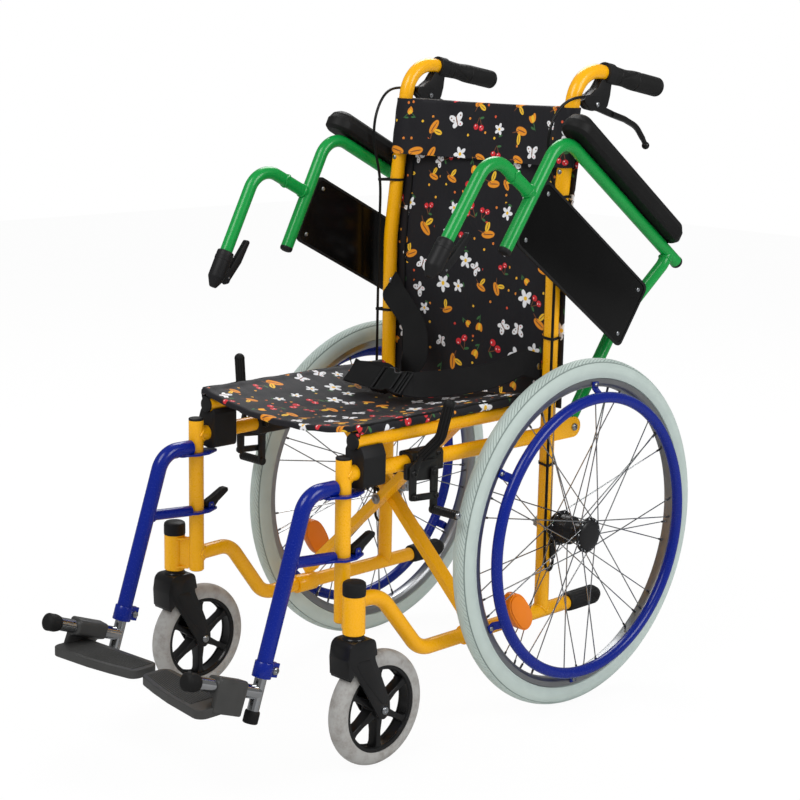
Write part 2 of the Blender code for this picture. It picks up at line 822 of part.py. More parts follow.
def brake_cable(name, sign, body):
    """The cable in its sleeve, from the brake body round the back tube and down to the hub's brake."""
    down = REAR_POST_AHEAD + FRAME_TUBE / 2 + CABLE_DIAMETER / 2
    out = REAR_POST_X + 0.0158
    tail = CABLE_END_Z - 2 * CLEARANCE
    route = [
        at(sign * 0.2035, -0.0295, 1.0450),
        at(sign * 0.2095, -0.0262, 1.0465),
        at(sign * 0.2180, -0.0190, 1.0480),
        at(sign * 0.2180, 0.0010, 1.0470),
        at(sign * 0.2140, 0.0220, 1.0420),
        at(sign * 0.2100, 0.0440, 1.0240),
        at(sign * 0.2080, 0.0600, 0.9900),
        at(sign * 0.2080, 0.0600, 0.9500),
        at(sign * 0.2090, 0.0480, 0.9150),
        at(sign * out, down - 0.004, 0.870),
        at(sign * out, down, 0.800),
        at(sign * out, down, 0.600),
        at(sign * out, down, 0.400),
        at(sign * out, down, 0.310),
        at(sign * out, down, 0.262),
        at(sign * out, 0.033, 0.236),
        at(sign * out, 0.022, 0.228),
        at(sign * out, 0.0145, 0.236),
        at(sign * out, 0.0140, tail),
    ]
    curve = bpy.data.curves.new("cable", "CURVE")
    curve.dimensions = "3D"
    spline = curve.splines.new("NURBS")
    spline.points.add(len(route) - 1)
    for point, place in zip(spline.points, route):
        point.co = (*place, 1.0)
    spline.order_u = 4
    spline.use_endpoint_u = True
    curve.resolution_u = 2
    guide = helper(curve)
    smooth = [vertex.co.copy() for vertex in evaluated_mesh(guide).vertices]
    bpy.data.objects.remove(guide, do_unlink=True)
    piece(f"{name}_brake_cable", tube(smooth, CABLE_DIAMETER, 6), BLACK, body)


def spokes(sign):
    """Wire spokes laced from the two hub flanges to the rim, heads in and heads out by turns."""
    flanges = {
        HUB_INNER_X + HUB_FLANGE_THICKNESS / 2: -0.003,
        HUB_OUTER_X - 0.0075: 0.003,
    }
    half_flange = HUB_FLANGE_THICKNESS / 2
    groups = []
    for number, (flange_x, rim_shift) in enumerate(flanges.items()):
        for lean in (-1, 1):
            wires = []
            for k in range(SPOKES_PER_FLANGE // 2):
                foot = math.tau * (2 * k + (lean > 0) + 0.5 * number) / SPOKES_PER_FLANGE
                head = foot + lean * SPOKE_SWEEP
                low = (HUB_FLANGE_RADIUS - 0.0034, foot, flange_x + lean * (half_flange + 0.0004))
                high = (TYRE_SEAT_RADIUS - RIM_DEPTH + 0.004, head, WHEEL_X + rim_shift)
                ends = [
                    Vector((sign * x, AXLE_Y + r * math.cos(a), WHEEL_RADIUS + r * math.sin(a)))
                    for r, a, x in (low, high)
                ]
                wires.append(rod(ends[0], ends[1], SPOKE_DIAMETER, 3))
            groups.append(gathered(wires))
    return groups


def rear_wheel(name, sign, body):
    """Hub with two flanges and a drum, rim, laced spokes and the reflector clipped on them."""
    centre = at(0, 0, WHEEL_RADIUS)
    outwards = Vector((sign, 0, 0))
    rim_outer = TYRE_SEAT_RADIUS - CLEARANCE
    rim_inner = rim_outer - RIM_DEPTH
    half = RIM_WIDTH / 2
    rim = turned(
        [
            (rim_inner, WHEEL_X - half + 0.0012),
            (rim_inner, WHEEL_X + half - 0.0012),
            (rim_outer, WHEEL_X + half),
            (rim_outer, WHEEL_X - half),
        ],
        centre,
        outwards,
        44,
        ring=True,
        standing=True,
    )
    bore = AXLE_DIAMETER / 2 + RUNNING_CLEARANCE
    flange = HUB_FLANGE_RADIUS
    inner = HUB_INNER_X
    outer = HUB_OUTER_X
    hub = turned(
        [
            (bore, inner),
            (flange, inner),
            (flange, inner + HUB_FLANGE_THICKNESS),
            (0.0250, inner + HUB_FLANGE_THICKNESS + 0.001),
            (0.0250, inner + 0.026),
            (0.0150, inner + 0.036),
            (0.0150, outer - 0.016),
            (flange, outer - 0.009),
            (flange, outer - 0.006),
            (0.0220, outer),
            (0, outer),
            (0, outer - 0.018),
            (bore, outer - 0.018),
        ],
        centre,
        outwards,
        16,
        ring=True,
    )
    shapes = [rim, hub, *spokes(sign)]
    piece(f"{name}_rear_wheel", joined(*shapes, reflector(sign)), ALLOY, body)


def reflector(sign):
    """The amber safety reflector held between the spokes, near the bottom of the wheel."""
    lean = math.radians(-128 if sign > 0 else -136)
    centre = Vector((REFLECTOR_RADIUS * math.cos(lean), REFLECTOR_RADIUS * math.sin(lean)))
    across = Vector((math.cos(lean), math.sin(lean)))
    along = Vector((-across.y, across.x))
    outline = []
    for k in range(16):
        turn = math.tau * k / 16
        u = math.copysign(abs(math.cos(turn)) ** 0.7, math.cos(turn)) * REFLECTOR_LENGTH / 2
        v = math.copysign(abs(math.sin(turn)) ** 0.9, math.sin(turn)) * REFLECTOR_WIDTH / 2
        place = centre + along * u + across * v
        outline.append((-place.x, WHEEL_RADIUS + place.y))
    return side_slab(sign, WHEEL_X - 0.013, WHEEL_X + 0.008, outline)


def rear_tyre(name, sign, body):
    half = TYRE_WIDTH / 2
    seat = TYRE_SEAT_RADIUS
    edge = WHEEL_RADIUS
    profile = [
        (seat, WHEEL_X - half + 0.005),
        (seat + 0.006, WHEEL_X - half),
        (edge - 0.007, WHEEL_X - half + 0.0035),
        (edge, WHEEL_X - half + 0.0125),
        (edge, WHEEL_X + half - 0.0125),
        (edge - 0.007, WHEEL_X + half - 0.0035),
        (seat + 0.006, WHEEL_X + half),
        (seat, WHEEL_X + half - 0.005),
    ]
    tyre = turned(profile, at(0, 0, WHEEL_RADIUS), Vector((sign, 0, 0)), 44, ring=True, standing=True)
    piece(f"{name}_rear_tyre", tyre, GREY_TYRE, body)


def handrim(name, sign, body):
    """The push ring and the tabs that bolt it to the side of the rim."""
    centre = at(0, 0, WHEEL_RADIUS)
    profile = [(HANDRIM_RADIUS + u, HANDRIM_X + v) for u, v in circle(HANDRIM_TUBE / 2, 8)]
    ring = turned(profile, centre, Vector((sign, 0, 0)), 34, ring=True)
    rim_face = WHEEL_X + RIM_WIDTH / 2 + CLEARANCE
    low = HANDRIM_RADIUS + 0.004
    high = TYRE_SEAT_RADIUS - 0.006
    tabs = []
    for k in range(HANDRIM_TABS):
        turn = math.radians(27) + math.tau * k / HANDRIM_TABS
        out = Vector((0, math.cos(turn), math.sin(turn)))
        along = Vector((0, -out.z, out.y)) * 0.008
        corners = [
            (low, HANDRIM_X),
            (low, HANDRIM_X - 0.005),
            (high - 0.008, rim_face),
            (high, rim_face),
            (high, rim_face + 0.003),
        ]
        outline = [centre + out * r + Vector((sign * x, 0, 0)) - along for r, x in corners]
        tabs.append(slab(outline, 2 * along))
    piece(f"{name}_handrim", joined(ring, gathered(tabs)), BLUE, body)


def caster_fork(name, sign, body):
    """The moulded fork: a stem pin, a crown and two swept blades, with the wheel's axle bolt."""
    x = CASTER_X
    axle_ahead = CASTER_STEM_AHEAD - CASTER_TRAIL
    crown_top = CASTER_HOUSING_BOTTOM - CLEARANCE
    pin = rod(
        at(sign * x, CASTER_STEM_AHEAD, crown_top - 0.008),
        at(sign * x, CASTER_STEM_AHEAD, CASTER_HOUSING_TOP - 0.012),
        CASTER_PIN_DIAMETER,
        10,
    )
    collar = turned(
        [
            (0, crown_top - 0.010),
            (0.0195, crown_top - 0.010),
            (0.0195, crown_top - 0.004),
            (0.0165, crown_top),
            (0, crown_top),
        ],
        at(sign * x, CASTER_STEM_AHEAD, 0),
        Vector((0, 0, 1)),
        16,
    )
    inner = CASTER_TYRE_WIDTH / 2 + 0.0025
    outer = inner + FORK_BLADE
    bridge_bottom = 2 * CASTER_RADIUS + 0.0035
    crown = side_slab(
        sign,
        x - outer,
        x + outer,
        rounded(
            [
                (0.528, bridge_bottom),
                (0.528, crown_top - 0.006),
                (0.476, crown_top - 0.006),
                (0.474, bridge_bottom),
            ],
            0.006,
        ),
    )
    outline = rounded(
        [
            (0.528, crown_top - 0.006),
            (0.531, 0.188),
            (0.512, 0.160),
            (axle_ahead + 0.014, 0.086),
            (axle_ahead + 0.004, 0.079),
            (axle_ahead - 0.010, 0.084),
            (axle_ahead - 0.012, 0.106),
            (axle_ahead + 0.004, 0.148),
            (0.476, 0.186),
            (0.476, crown_top - 0.006),
        ],
        0.008,
        2,
    )
    blades = [side_slab(sign, x + side * inner, x + side * outer, outline) for side in (-1, 1)]
    axle = rod(
        at(sign * (x - outer - 0.003), axle_ahead, CASTER_RADIUS),
        at(sign * (x + outer + 0.003), axle_ahead, CASTER_RADIUS),
        0.010,
        10,
    )
    fork = joined(crown, *blades, collar, pin, axle)
    piece(f"{name}_caster_fork", fork, BLACK, body)


def caster_wheel(name, sign, body):
    """The moulded six-spoke centre."""
    centre = at(sign * CASTER_X, CASTER_STEM_AHEAD - CASTER_TRAIL, CASTER_RADIUS)
    outwards = Vector((sign, 0, 0))
    outer = CASTER_TYRE_INNER - CLEARANCE
    half = CASTER_TYRE_WIDTH / 2
    rim = turned(
        [
            (outer - 0.006, -half + 0.004),
            (outer, -half + 0.003),
            (outer, half - 0.003),
            (outer - 0.006, half - 0.004),
        ],
        centre,
        outwards,
        26,
        ring=True,
        standing=True,
    )
    bore = 0.0050 + RUNNING_CLEARANCE
    hub = turned(
        [(bore, -half - 0.001), (0.0155, -half - 0.001), (0.0155, half + 0.001), (bore, half + 0.001)],
        centre,
        outwards,
        12,
        ring=True,
    )
    arms = []
    for k in range(CASTER_SPOKES):
        turn = math.tau * (k + 0.5) / CASTER_SPOKES
        out = Vector((0, math.cos(turn), math.sin(turn)))
        along = Vector((0, -out.z, out.y))
        width_root = 0.0070
        width_tip = 0.0048
        depth = 0.010
        rings = []
        for r, w in ((0.0120, width_root), (outer - 0.003, width_tip)):
            mid = centre + out * r
            rings.append(
                [mid + along * u * w + outwards * v * depth for u, v in ((-1, -1), (1, -1), (1, 1), (-1, 1))]
            )
        arms.append(lofted(rings))
    piece(f"{name}_caster_wheel", joined(rim, hub, gathered(arms)), BLACK, body)


def caster_tyre(name, sign, body):
    half = CASTER_TYRE_WIDTH / 2
    low = CASTER_TYRE_INNER
    high = CASTER_RADIUS
    profile = [
        (low, -half + 0.002),
        (low + 0.006, -half),
        (high - 0.009, -half + 0.0015),
        (high - 0.0015, -half + 0.0095),
        (high, 0),
        (high - 0.0015, half - 0.0095),
        (high - 0.009, half - 0.0015),
        (low + 0.006, half),
        (low, half - 0.002),
    ]
    centre = at(sign * CASTER_X, CASTER_STEM_AHEAD - CASTER_TRAIL, CASTER_RADIUS)
    tyre = turned(profile, centre, Vector((sign, 0, 0)), 26, ring=True, standing=True)
    piece(f"{name}_caster_tyre", tyre, PALE_TYRE, body)


def hanger_line():
    """The footrest's slanted line: its knee and foot, as (ahead, z), and the unit direction down it."""
    knee = Vector((HANGER_KNEE_AHEAD, HANGER_TOP_Z))
    foot = Vector((STEM_FOOT_AHEAD, STEM_FOOT_Z))
    return knee, foot, (foot - knee).normalized()


def on_hanger(sign, z):
    knee, _, down = hanger_line()
    return at(sign * HANGER_X, knee.x + down.x * (knee.y - z) / -down.y, z)


def swing_plate(sign, z, nose_ahead):
    """A flat plate with an eye round the front post, a nose under the hanger and a tail behind."""
    x = FRONT_POST_X
    outline = [
        (x - 0.011, nose_ahead),
        (x + 0.007, nose_ahead),
        (x + 0.010, FRONT_POST_AHEAD + 0.026),
        (x + 0.0215, FRONT_POST_AHEAD + 0.012),
        (x + 0.0215, FRONT_POST_AHEAD - 0.012),
        (x + 0.008, SWING_PLATE_TAIL + 0.004),
        (x - 0.008, SWING_PLATE_TAIL + 0.004),
        (x - 0.0215, FRONT_POST_AHEAD - 0.012),
        (x - 0.0215, FRONT_POST_AHEAD + 0.012),
        (x - 0.013, FRONT_POST_AHEAD + 0.026),
    ]
    outline = rounded(outline, 0.006, 1)
    low = z - SWING_PLATE_THICKNESS / 2
    return slab([at(sign * u, v, low) for u, v in outline], Vector((0, 0, SWING_PLATE_THICKNESS)))


def leg_hanger(name, sign, body):
    """The swing-away footrest tube: two eyes on the front post, a knee, a brace and a clamp collar."""
    knee, foot, down = hanger_line()
    end = on_hanger(sign, HANGER_FOOT_Z)
    route = bent(
        [
            at(sign * HANGER_X, FRONT_POST_AHEAD + 0.004, HANGER_TOP_Z),
            at(sign * HANGER_X, knee.x, knee.y),
            end,
        ],
        (HANGER_BEND,),
    )
    main = tube(route, HANGER_TUBE, 10)
    brace = rod(
        on_hanger(sign, PLATE_LOWER_Z + 0.012),
        at(sign * (HANGER_X + 0.001), FRONT_POST_AHEAD + 0.024, PLATE_LOWER_Z + 0.005),
        BRACE_TUBE,
        10,
    )
    upper = swing_plate(sign, PLATE_UPPER_Z, FRONT_POST_AHEAD + 0.040)
    lower = swing_plate(sign, PLATE_LOWER_Z, FRONT_POST_AHEAD + 0.040)
    collar = rod(
        on_hanger(sign, HANGER_FOOT_Z + 0.024),
        on_hanger(sign, HANGER_FOOT_Z - 0.002),
        HANGER_TUBE + 0.005,
        10,
    )
    lug_low = on_hanger(sign, HANGER_FOOT_Z + 0.002)
    lug_high = on_hanger(sign, HANGER_FOOT_Z + 0.020)
    back = Vector((0, 0.026, -0.006))
    lug = slab(
        [
            lug_low + Vector((-0.007, 0, 0)),
            lug_high + Vector((-0.007, 0, 0)),
            lug_high + back + Vector((-0.007, 0, 0)),
            lug_low + back + Vector((-0.007, 0, 0)),
        ],
        Vector((0.014, 0, 0)),
    )
    bolt_centre = (lug_low + lug_high) / 2 + back * 0.78
    bolt = rod(bolt_centre + Vector((-0.011, 0, 0)), bolt_centre + Vector((0.011, 0, 0)), 0.009, 8)
    ears = []
    for side in (-1, 1):
        ear_x = FRONT_POST_X + side * (SWING_LATCH_WIDTH / 2 + 0.0006)
        top = PLATE_LOWER_Z + 0.0145
        base = PLATE_LOWER_Z
        outline = [
            (SWING_LATCH_AHEAD + 0.006, base),
            (SWING_LATCH_AHEAD + 0.005, top),
            (SWING_LATCH_AHEAD - 0.005, top),
            (SWING_LATCH_AHEAD - 0.006, base),
        ]
        ears.append(side_slab(sign, ear_x, ear_x + side * 0.002, outline))
    pin_reach = SWING_LATCH_WIDTH / 2 + 0.002
    latch_pin = rod(
        at(sign * (FRONT_POST_X - pin_reach), SWING_LATCH_AHEAD, PLATE_LOWER_Z + SWING_LATCH_HEIGHT),
        at(sign * (FRONT_POST_X + pin_reach), SWING_LATCH_AHEAD, PLATE_LOWER_Z + SWING_LATCH_HEIGHT),
        0.0036,
        8,
    )
    whole = joined(main, brace, upper, lower, collar, lug, bolt, *ears, latch_pin)
    post = rod(
        at(sign * FRONT_POST_X, FRONT_POST_AHEAD, 0.30),
        at(sign * FRONT_POST_X, FRONT_POST_AHEAD, 0.50),
        around(FRAME_TUBE + 2 * RUNNING_CLEARANCE, 16),
        16,
    )
    bore = rod(
        on_hanger(sign, STEM_TOP_Z + 0.006),
        on_hanger(sign, HANGER_FOOT_Z - 0.03),
        STEM_DIAMETER + 2 * RUNNING_CLEARANCE,
        12,
    )
    piece(f"{name}_footrest_hanger", cut(whole, post, bore), BLUE, body)


SWING_LATCH_AHEAD = 0.463
SWING_LATCH_HEIGHT = 0.0095
SWING_LATCH_WIDTH = 0.013
STEM_TOP_Z = HANGER_FOOT_Z + STEM_HIDDEN_LENGTH


def swing_latch(name, sign, body):
    """The thumb lever that frees the footrest to swing, on a pin through the lower plate's ears."""
    base = PLATE_LOWER_Z + SWING_PLATE_THICKNESS / 2 + 0.0008
    outline = rounded(
        [
            (0.4725, base + 0.0035),
            (0.4725, base + 0.012),
            (0.458, base + 0.0185),
            (0.434, base + 0.031),
            (0.424, base + 0.031),
            (0.424, base + 0.024),
            (0.446, base + 0.009),
            (0.454, base),
        ],
        0.003,
        2,
    )
    half = SWING_LATCH_WIDTH / 2
    paddle = side_slab(sign, FRONT_POST_X - half, FRONT_POST_X + half, outline)
    hole = rod(
        at(sign * (FRONT_POST_X - 0.02), SWING_LATCH_AHEAD, PLATE_LOWER_Z + SWING_LATCH_HEIGHT),
        at(sign * (FRONT_POST_X + 0.02), SWING_LATCH_AHEAD, PLATE_LOWER_Z + SWING_LATCH_HEIGHT),
        0.0044,
        8,
    )
    piece(f"{name}_swing_latch", cut(paddle, hole), BLACK, body)


def foot_bar():
    """The bar under the calf: its start on the stem, as (ahead, z), and the unit direction along it."""
    knee, _, down = hanger_line()
    start = Vector((knee.x + down.x * (knee.y - FOOT_BAR_START_Z) / -down.y, FOOT_BAR_START_Z))
    tip = Vector((FOOT_BAR_TIP_AHEAD, FOOT_BAR_TIP_Z))
    return start, tip, (tip - start).normalized()


def on_bar(sign, along, up=0.0, x=HANGER_X):
    start, _, run = foot_bar()
    return at(sign * x, start.x + run.x * along - run.y * up, start.y + run.y * along + run.x * up)


def footrest_stem(name, sign, body):
    """The chromed stem that slides in the hanger, with its welded bar, rubber cap and bumper."""
    _, foot, _ = hanger_line()
    start, tip, _ = foot_bar()
    length = (tip - start).length
    stem = rod(on_hanger(sign, STEM_TOP_Z), on_hanger(sign, STEM_FOOT_Z), STEM_DIAMETER, 12)
    cap = rod(
        on_hanger(sign, STEM_FOOT_Z + STEM_CAP_LENGTH), on_hanger(sign, STEM_FOOT_Z), STEM_CAP_DIAMETER, 12
    )
    bar = rod(on_bar(sign, 0), on_bar(sign, length - 0.004), FOOT_BAR_DIAMETER, 12)
    bumper = turned(
        [
            (0, 0),
            (0.0100, 0),
            (BUMPER_DIAMETER / 2, 0.004),
            (BUMPER_DIAMETER / 2, 0.018),
            (0.0122, BUMPER_LENGTH),
            (0, BUMPER_LENGTH),
        ],
        on_bar(sign, length),
        on_bar(sign, 0) - on_bar(sign, length),
        12,
    )
    piece(f"{name}_footrest_stem", joined(stem, bar, cap, bumper), CHROME, body)


def footplate(name, sign, body):
    """The moulded footplate and the clip that turns on the bar when the plate is flipped up."""
    wall = FOOT_BAR_DIAMETER / 2 + RUNNING_CLEARANCE + CLIP_WALL
    low = HANGER_X - wall
    high = FOOTPLATE_OUTER_X
    section = rounded(
        [
            (low, -wall + 0.006),
            (low, wall - 0.002),
            (high, wall),
            (high, -CLIP_DROP),
            (high - 0.007, -CLIP_DROP),
            (high - 0.012, -wall),
        ],
        0.005,
        3,
    )
    clip = slab(
        [on_bar(sign, CLIP_START, up, x) for x, up in section],
        on_bar(sign, CLIP_END) - on_bar(sign, CLIP_START),
    )
    outline = [
        (FOOTPLATE_OUTER_X - 0.002, FOOTPLATE_FRONT),
        (0.105, FOOTPLATE_FRONT - 0.010),
        (0.060, FOOTPLATE_FRONT - 0.022),
        (FOOTPLATE_INNER_X, FOOTPLATE_REAR + 0.026),
        (FOOTPLATE_INNER_X, FOOTPLATE_REAR - 0.008),
        (0.100, FOOTPLATE_REAR - 0.004),
        (FOOTPLATE_OUTER_X - 0.002, FOOTPLATE_REAR),
    ]
    outline = rounded(outline, 0.010, 3)
    rim_top = FOOTPLATE_TOP_Z - FOOTPLATE_BORDER_DROP
    tread = slab(
        [at(sign * x, ahead, FOOTPLATE_TOP_Z - FOOTPLATE_THICKNESS) for x, ahead in outline],
        Vector((0, 0, FOOTPLATE_THICKNESS - FOOTPLATE_BORDER_DROP)),
    )
    field_outline = [
        (low - 0.0020, FOOTPLATE_FRONT - 0.010),
        (0.108, FOOTPLATE_FRONT - 0.018),
        (0.066, FOOTPLATE_FRONT - 0.029),
        (FOOTPLATE_INNER_X + 0.008, FOOTPLATE_REAR + 0.024),
        (FOOTPLATE_INNER_X + 0.008, FOOTPLATE_REAR + 0.002),
        (0.100, FOOTPLATE_REAR + 0.006),
        (low - 0.0020, FOOTPLATE_REAR + 0.010),
    ]
    field = slab(
        [at(sign * x, ahead, rim_top - 0.002) for x, ahead in rounded(field_outline, 0.006, 2)],
        Vector((0, 0, 0.002 + FOOTPLATE_BORDER_DROP)),
    )
    bore = rod(on_bar(sign, -0.02), on_bar(sign, 0.20), FOOT_BAR_DIAMETER + 2 * RUNNING_CLEARANCE, 16)
    underside = slab(
        [
            at(sign * (FOOTPLATE_INNER_X - 0.01), FOOTPLATE_REAR - 0.03, FOOTPLATE_TOP_Z - 0.006),
            at(
                sign * (FOOTPLATE_INNER_X + 0.05),
                FOOTPLATE_REAR - 0.03,
                FOOTPLATE_TOP_Z - FOOTPLATE_THICKNESS - 0.001,
            ),
            at(
                sign * (FOOTPLATE_INNER_X - 0.01),
                FOOTPLATE_REAR - 0.03,
                FOOTPLATE_TOP_Z - FOOTPLATE_THICKNESS - 0.001,
            ),
        ],
        Vector((0, -0.14, 0)),
    )
    piece(f"{name}_footplate", cut(joined(clip, tread, field), bore, underside), BLACK, body)


def lock_point(sign, x, pivot_ahead, pivot_z, ahead, up):
    return at(sign * x, pivot_ahead + ahead, pivot_z + up)


def lock_mount(name, sign, body):
    """The wheel lock's clamp on the upper rail, with the plate and pins that its levers turn on."""
    middle = (LOCK_FRONT + LOCK_REAR) / 2
    inner = upper_rail_x(middle) - FRAME_TUBE / 2 - LOCK_WALL
    half = FRAME_TUBE / 2 + LOCK_WALL + 0.0010
    outer = LOCK_PLATE_X + LOCK_PLATE
    section = rounded(
        [
            (inner, UPPER_RAIL_Z - half),
            (outer, UPPER_RAIL_Z - half),
            (outer, UPPER_RAIL_Z + half - 0.006),
            (outer - 0.008, UPPER_RAIL_Z + half),
            (inner, UPPER_RAIL_Z + half),
        ],
        0.006,
        3,
    )
    block = slab([at(sign * x, LOCK_REAR, z) for x, z in section], Vector((0, LOCK_REAR - LOCK_FRONT, 0)))
    outline = rounded(
        [
            (LOCK_LEVER_AHEAD + 0.014, UPPER_RAIL_Z + 0.004),
            (LOCK_LEVER_AHEAD + 0.013, LOCK_LEVER_Z - 0.009),
            (LOCK_LEVER_AHEAD - 0.004, LOCK_LEVER_Z - 0.013),
            (LOCK_SHOE_AHEAD, LOCK_SHOE_Z - 0.013),
            (LOCK_SHOE_AHEAD - 0.012, LOCK_SHOE_Z - 0.006),
            (LOCK_SHOE_AHEAD - 0.012, UPPER_RAIL_Z + 0.004),
        ],
        0.006,
        2,
    )
    plate = side_slab(sign, LOCK_PLATE_X, outer, outline)
    pins = []
    for ahead, z in ((LOCK_LEVER_AHEAD, LOCK_LEVER_Z), (LOCK_SHOE_AHEAD, LOCK_SHOE_Z)):
        pins.append(
            rod(
                at(sign * (outer - 0.002), ahead, z),
                at(sign * (outer + LOCK_BLADE + 0.0015), ahead, z),
                LOCK_PIN_DIAMETER,
                10,
            )
        )
    whole = cut(joined(block, plate), upper_rail(sign, CLEARANCE))
    piece(f"{name}_lock_mount", joined(whole, *pins), BLACK, body)


def lock_layers():
    """Where the lock's lever and shoe blades lie, and the link outside them."""
    blade = LOCK_PLATE_X + LOCK_PLATE + RUNNING_CLEARANCE
    link = blade + LOCK_BLADE + RUNNING_CLEARANCE
    return blade, link


def lock_lever(name, sign, body):
    """The hand lever: a cranked blade on its pin, then a rubber grip that leans out and up."""
    blade, link = lock_layers()
    x = blade + LOCK_BLADE / 2
    outline = rounded(
        [
            (LOCK_LEVER_AHEAD + 0.009, LOCK_LEVER_Z + 0.010),
            (LOCK_LEVER_AHEAD + 0.008, LOCK_LEVER_Z - 0.020),
            (LOCK_LEVER_AHEAD + 0.006, LOCK_LEVER_Z - LOCK_CRANK - 0.006),
            (LOCK_LEVER_AHEAD - 0.006, LOCK_LEVER_Z - LOCK_CRANK - 0.006),
            (LOCK_LEVER_AHEAD - 0.007, LOCK_LEVER_Z - 0.010),
            (LOCK_LEVER_AHEAD - 0.016, LOCK_LEVER_Z + 0.014),
            (LOCK_LEVER_AHEAD - 0.010, LOCK_LEVER_Z + 0.024),
        ],
        0.004,
        2,
    )
    crank = side_slab(sign, blade, blade + LOCK_BLADE, outline)
    grip = tube(
        bent(
            [
                at(sign * (x + 0.0010), LOCK_LEVER_AHEAD - 0.004, LOCK_LEVER_Z + 0.006),
                at(sign * (x + 0.004), 0.354, 0.486),
                at(sign * 0.247, 0.338, 0.522),
                at(sign * 0.258, 0.333, 0.584),
            ],
            (0.02, 0.03),
            3,
        ),
        0.013,
        8,
    )
    inner_cut = side_slab(
        sign, blade - 0.02, blade, [(0.30, 0.44), (0.40, 0.44), (0.40, 0.52), (0.30, 0.52)]
    )
    pin = rod(
        lock_point(sign, blade + 0.001, LOCK_LEVER_AHEAD, LOCK_LEVER_Z, 0, -LOCK_CRANK),
        lock_point(sign, link + LOCK_LINK + 0.001, LOCK_LEVER_AHEAD, LOCK_LEVER_Z, 0, -LOCK_CRANK),
        LOCK_LINK_PIN_DIAMETER,
        8,
    )
    hole = rod(
        at(sign * (blade - 0.01), LOCK_LEVER_AHEAD, LOCK_LEVER_Z),
        at(sign * (blade + LOCK_BLADE - 0.0005), LOCK_LEVER_AHEAD, LOCK_LEVER_Z),
        LOCK_PIN_DIAMETER + 2 * RUNNING_CLEARANCE,
        10,
    )
    through = rod(
        at(sign * (blade - 0.01), LOCK_LEVER_AHEAD, LOCK_LEVER_Z),
        at(sign * (blade + LOCK_BLADE + 0.0035), LOCK_LEVER_AHEAD, LOCK_LEVER_Z),
        LOCK_PIN_DIAMETER + 2 * RUNNING_CLEARANCE,
        10,
    )
    piece(f"{name}_lock_lever", joined(cut(joined(crank, grip), inner_cut, hole, through), pin), BLACK, body)


def lock_link(name, sign, body):
    """The link from the lever's crank to the shoe's arm."""
    _, link = lock_layers()
    low_z = LOCK_LEVER_Z - LOCK_CRANK
    end_z = LOCK_SHOE_Z - LOCK_CRANK
    outline = rounded(
        [
            (LOCK_LEVER_AHEAD + 0.0065, low_z + 0.0055),
            (LOCK_LEVER_AHEAD + 0.0065, low_z - 0.0055),
            (LOCK_SHOE_AHEAD - 0.0065, end_z - 0.0055),
            (LOCK_SHOE_AHEAD - 0.0065, end_z + 0.0055),
        ],
        0.005,
        3,
    )
    plate = side_slab(sign, link, link + LOCK_LINK, outline)
    holes = [
        rod(
            at(sign * (link - 0.01), ahead, z),
            at(sign * (link + 0.02), ahead, z),
            LOCK_LINK_PIN_DIAMETER + 2 * RUNNING_CLEARANCE,
            8,
        )
        for ahead, z in ((LOCK_LEVER_AHEAD, low_z), (LOCK_SHOE_AHEAD, end_z))
    ]
    piece(f"{name}_lock_link", cut(plate, gathered(holes)), BLACK, body)


def lock_shoe(name, sign, body):
    """The arm that presses the shoe bar on the tyre."""
    blade, link = lock_layers()
    bar_z = LOCK_SHOE_Z - LOCK_SHOE_DROP
    outline = rounded(
        [
            (LOCK_SHOE_AHEAD + 0.008, LOCK_SHOE_Z + 0.008),
            (LOCK_SHOE_AHEAD + 0.007, bar_z - 0.006),
            (LOCK_SHOE_AHEAD - 0.007, bar_z - 0.006),
            (LOCK_SHOE_AHEAD - 0.008, LOCK_SHOE_Z + 0.008),
        ],
        0.006,
        3,
    )
    arm = side_slab(sign, blade, blade + LOCK_BLADE, outline)
    shoe = turned(
        [
            (0, blade - 0.002),
            (LOCK_SHOE_DIAMETER / 2, blade - 0.002),
            (LOCK_SHOE_DIAMETER / 2, LOCK_SHOE_END_X - 0.003),
            (0.0050, LOCK_SHOE_END_X),
            (0, LOCK_SHOE_END_X),
        ],
        at(0, LOCK_SHOE_AHEAD, bar_z),
        Vector((sign, 0, 0)),
        10,
    )
    pin = rod(
        at(sign * (blade + 0.001), LOCK_SHOE_AHEAD, LOCK_SHOE_Z - LOCK_CRANK),
        at(sign * (link + LOCK_LINK + 0.001), LOCK_SHOE_AHEAD, LOCK_SHOE_Z - LOCK_CRANK),
        LOCK_LINK_PIN_DIAMETER,
        8,
    )
    hole = rod(
        at(sign * (blade - 0.01), LOCK_SHOE_AHEAD, LOCK_SHOE_Z),
        at(sign * (link + 0.02), LOCK_SHOE_AHEAD, LOCK_SHOE_Z),
        LOCK_PIN_DIAMETER + 2 * RUNNING_CLEARANCE,
        10,
    )
    piece(f"{name}_lock_shoe", cut(joined(arm, shoe, pin), hole), BLACK, body)


def arm_place(name, x, ahead, up):
    """A point of an armrest, given lowered from its pivot, where it stands when raised."""
    sign = SIDES[name]
    lift = ARM_RAISED[name]
    turned_ahead = ahead * math.cos(lift) - up * math.sin(lift)
    turned_up = ahead * math.sin(lift) + up * math.cos(lift)
    return at(sign * x, ARM_PIVOT_AHEAD + turned_ahead, ARM_PIVOT_Z + turned_up)


def arm_vector(name, x, ahead, up):
    return arm_place(name, x, ahead, up) - arm_place(name, 0, 0, 0)


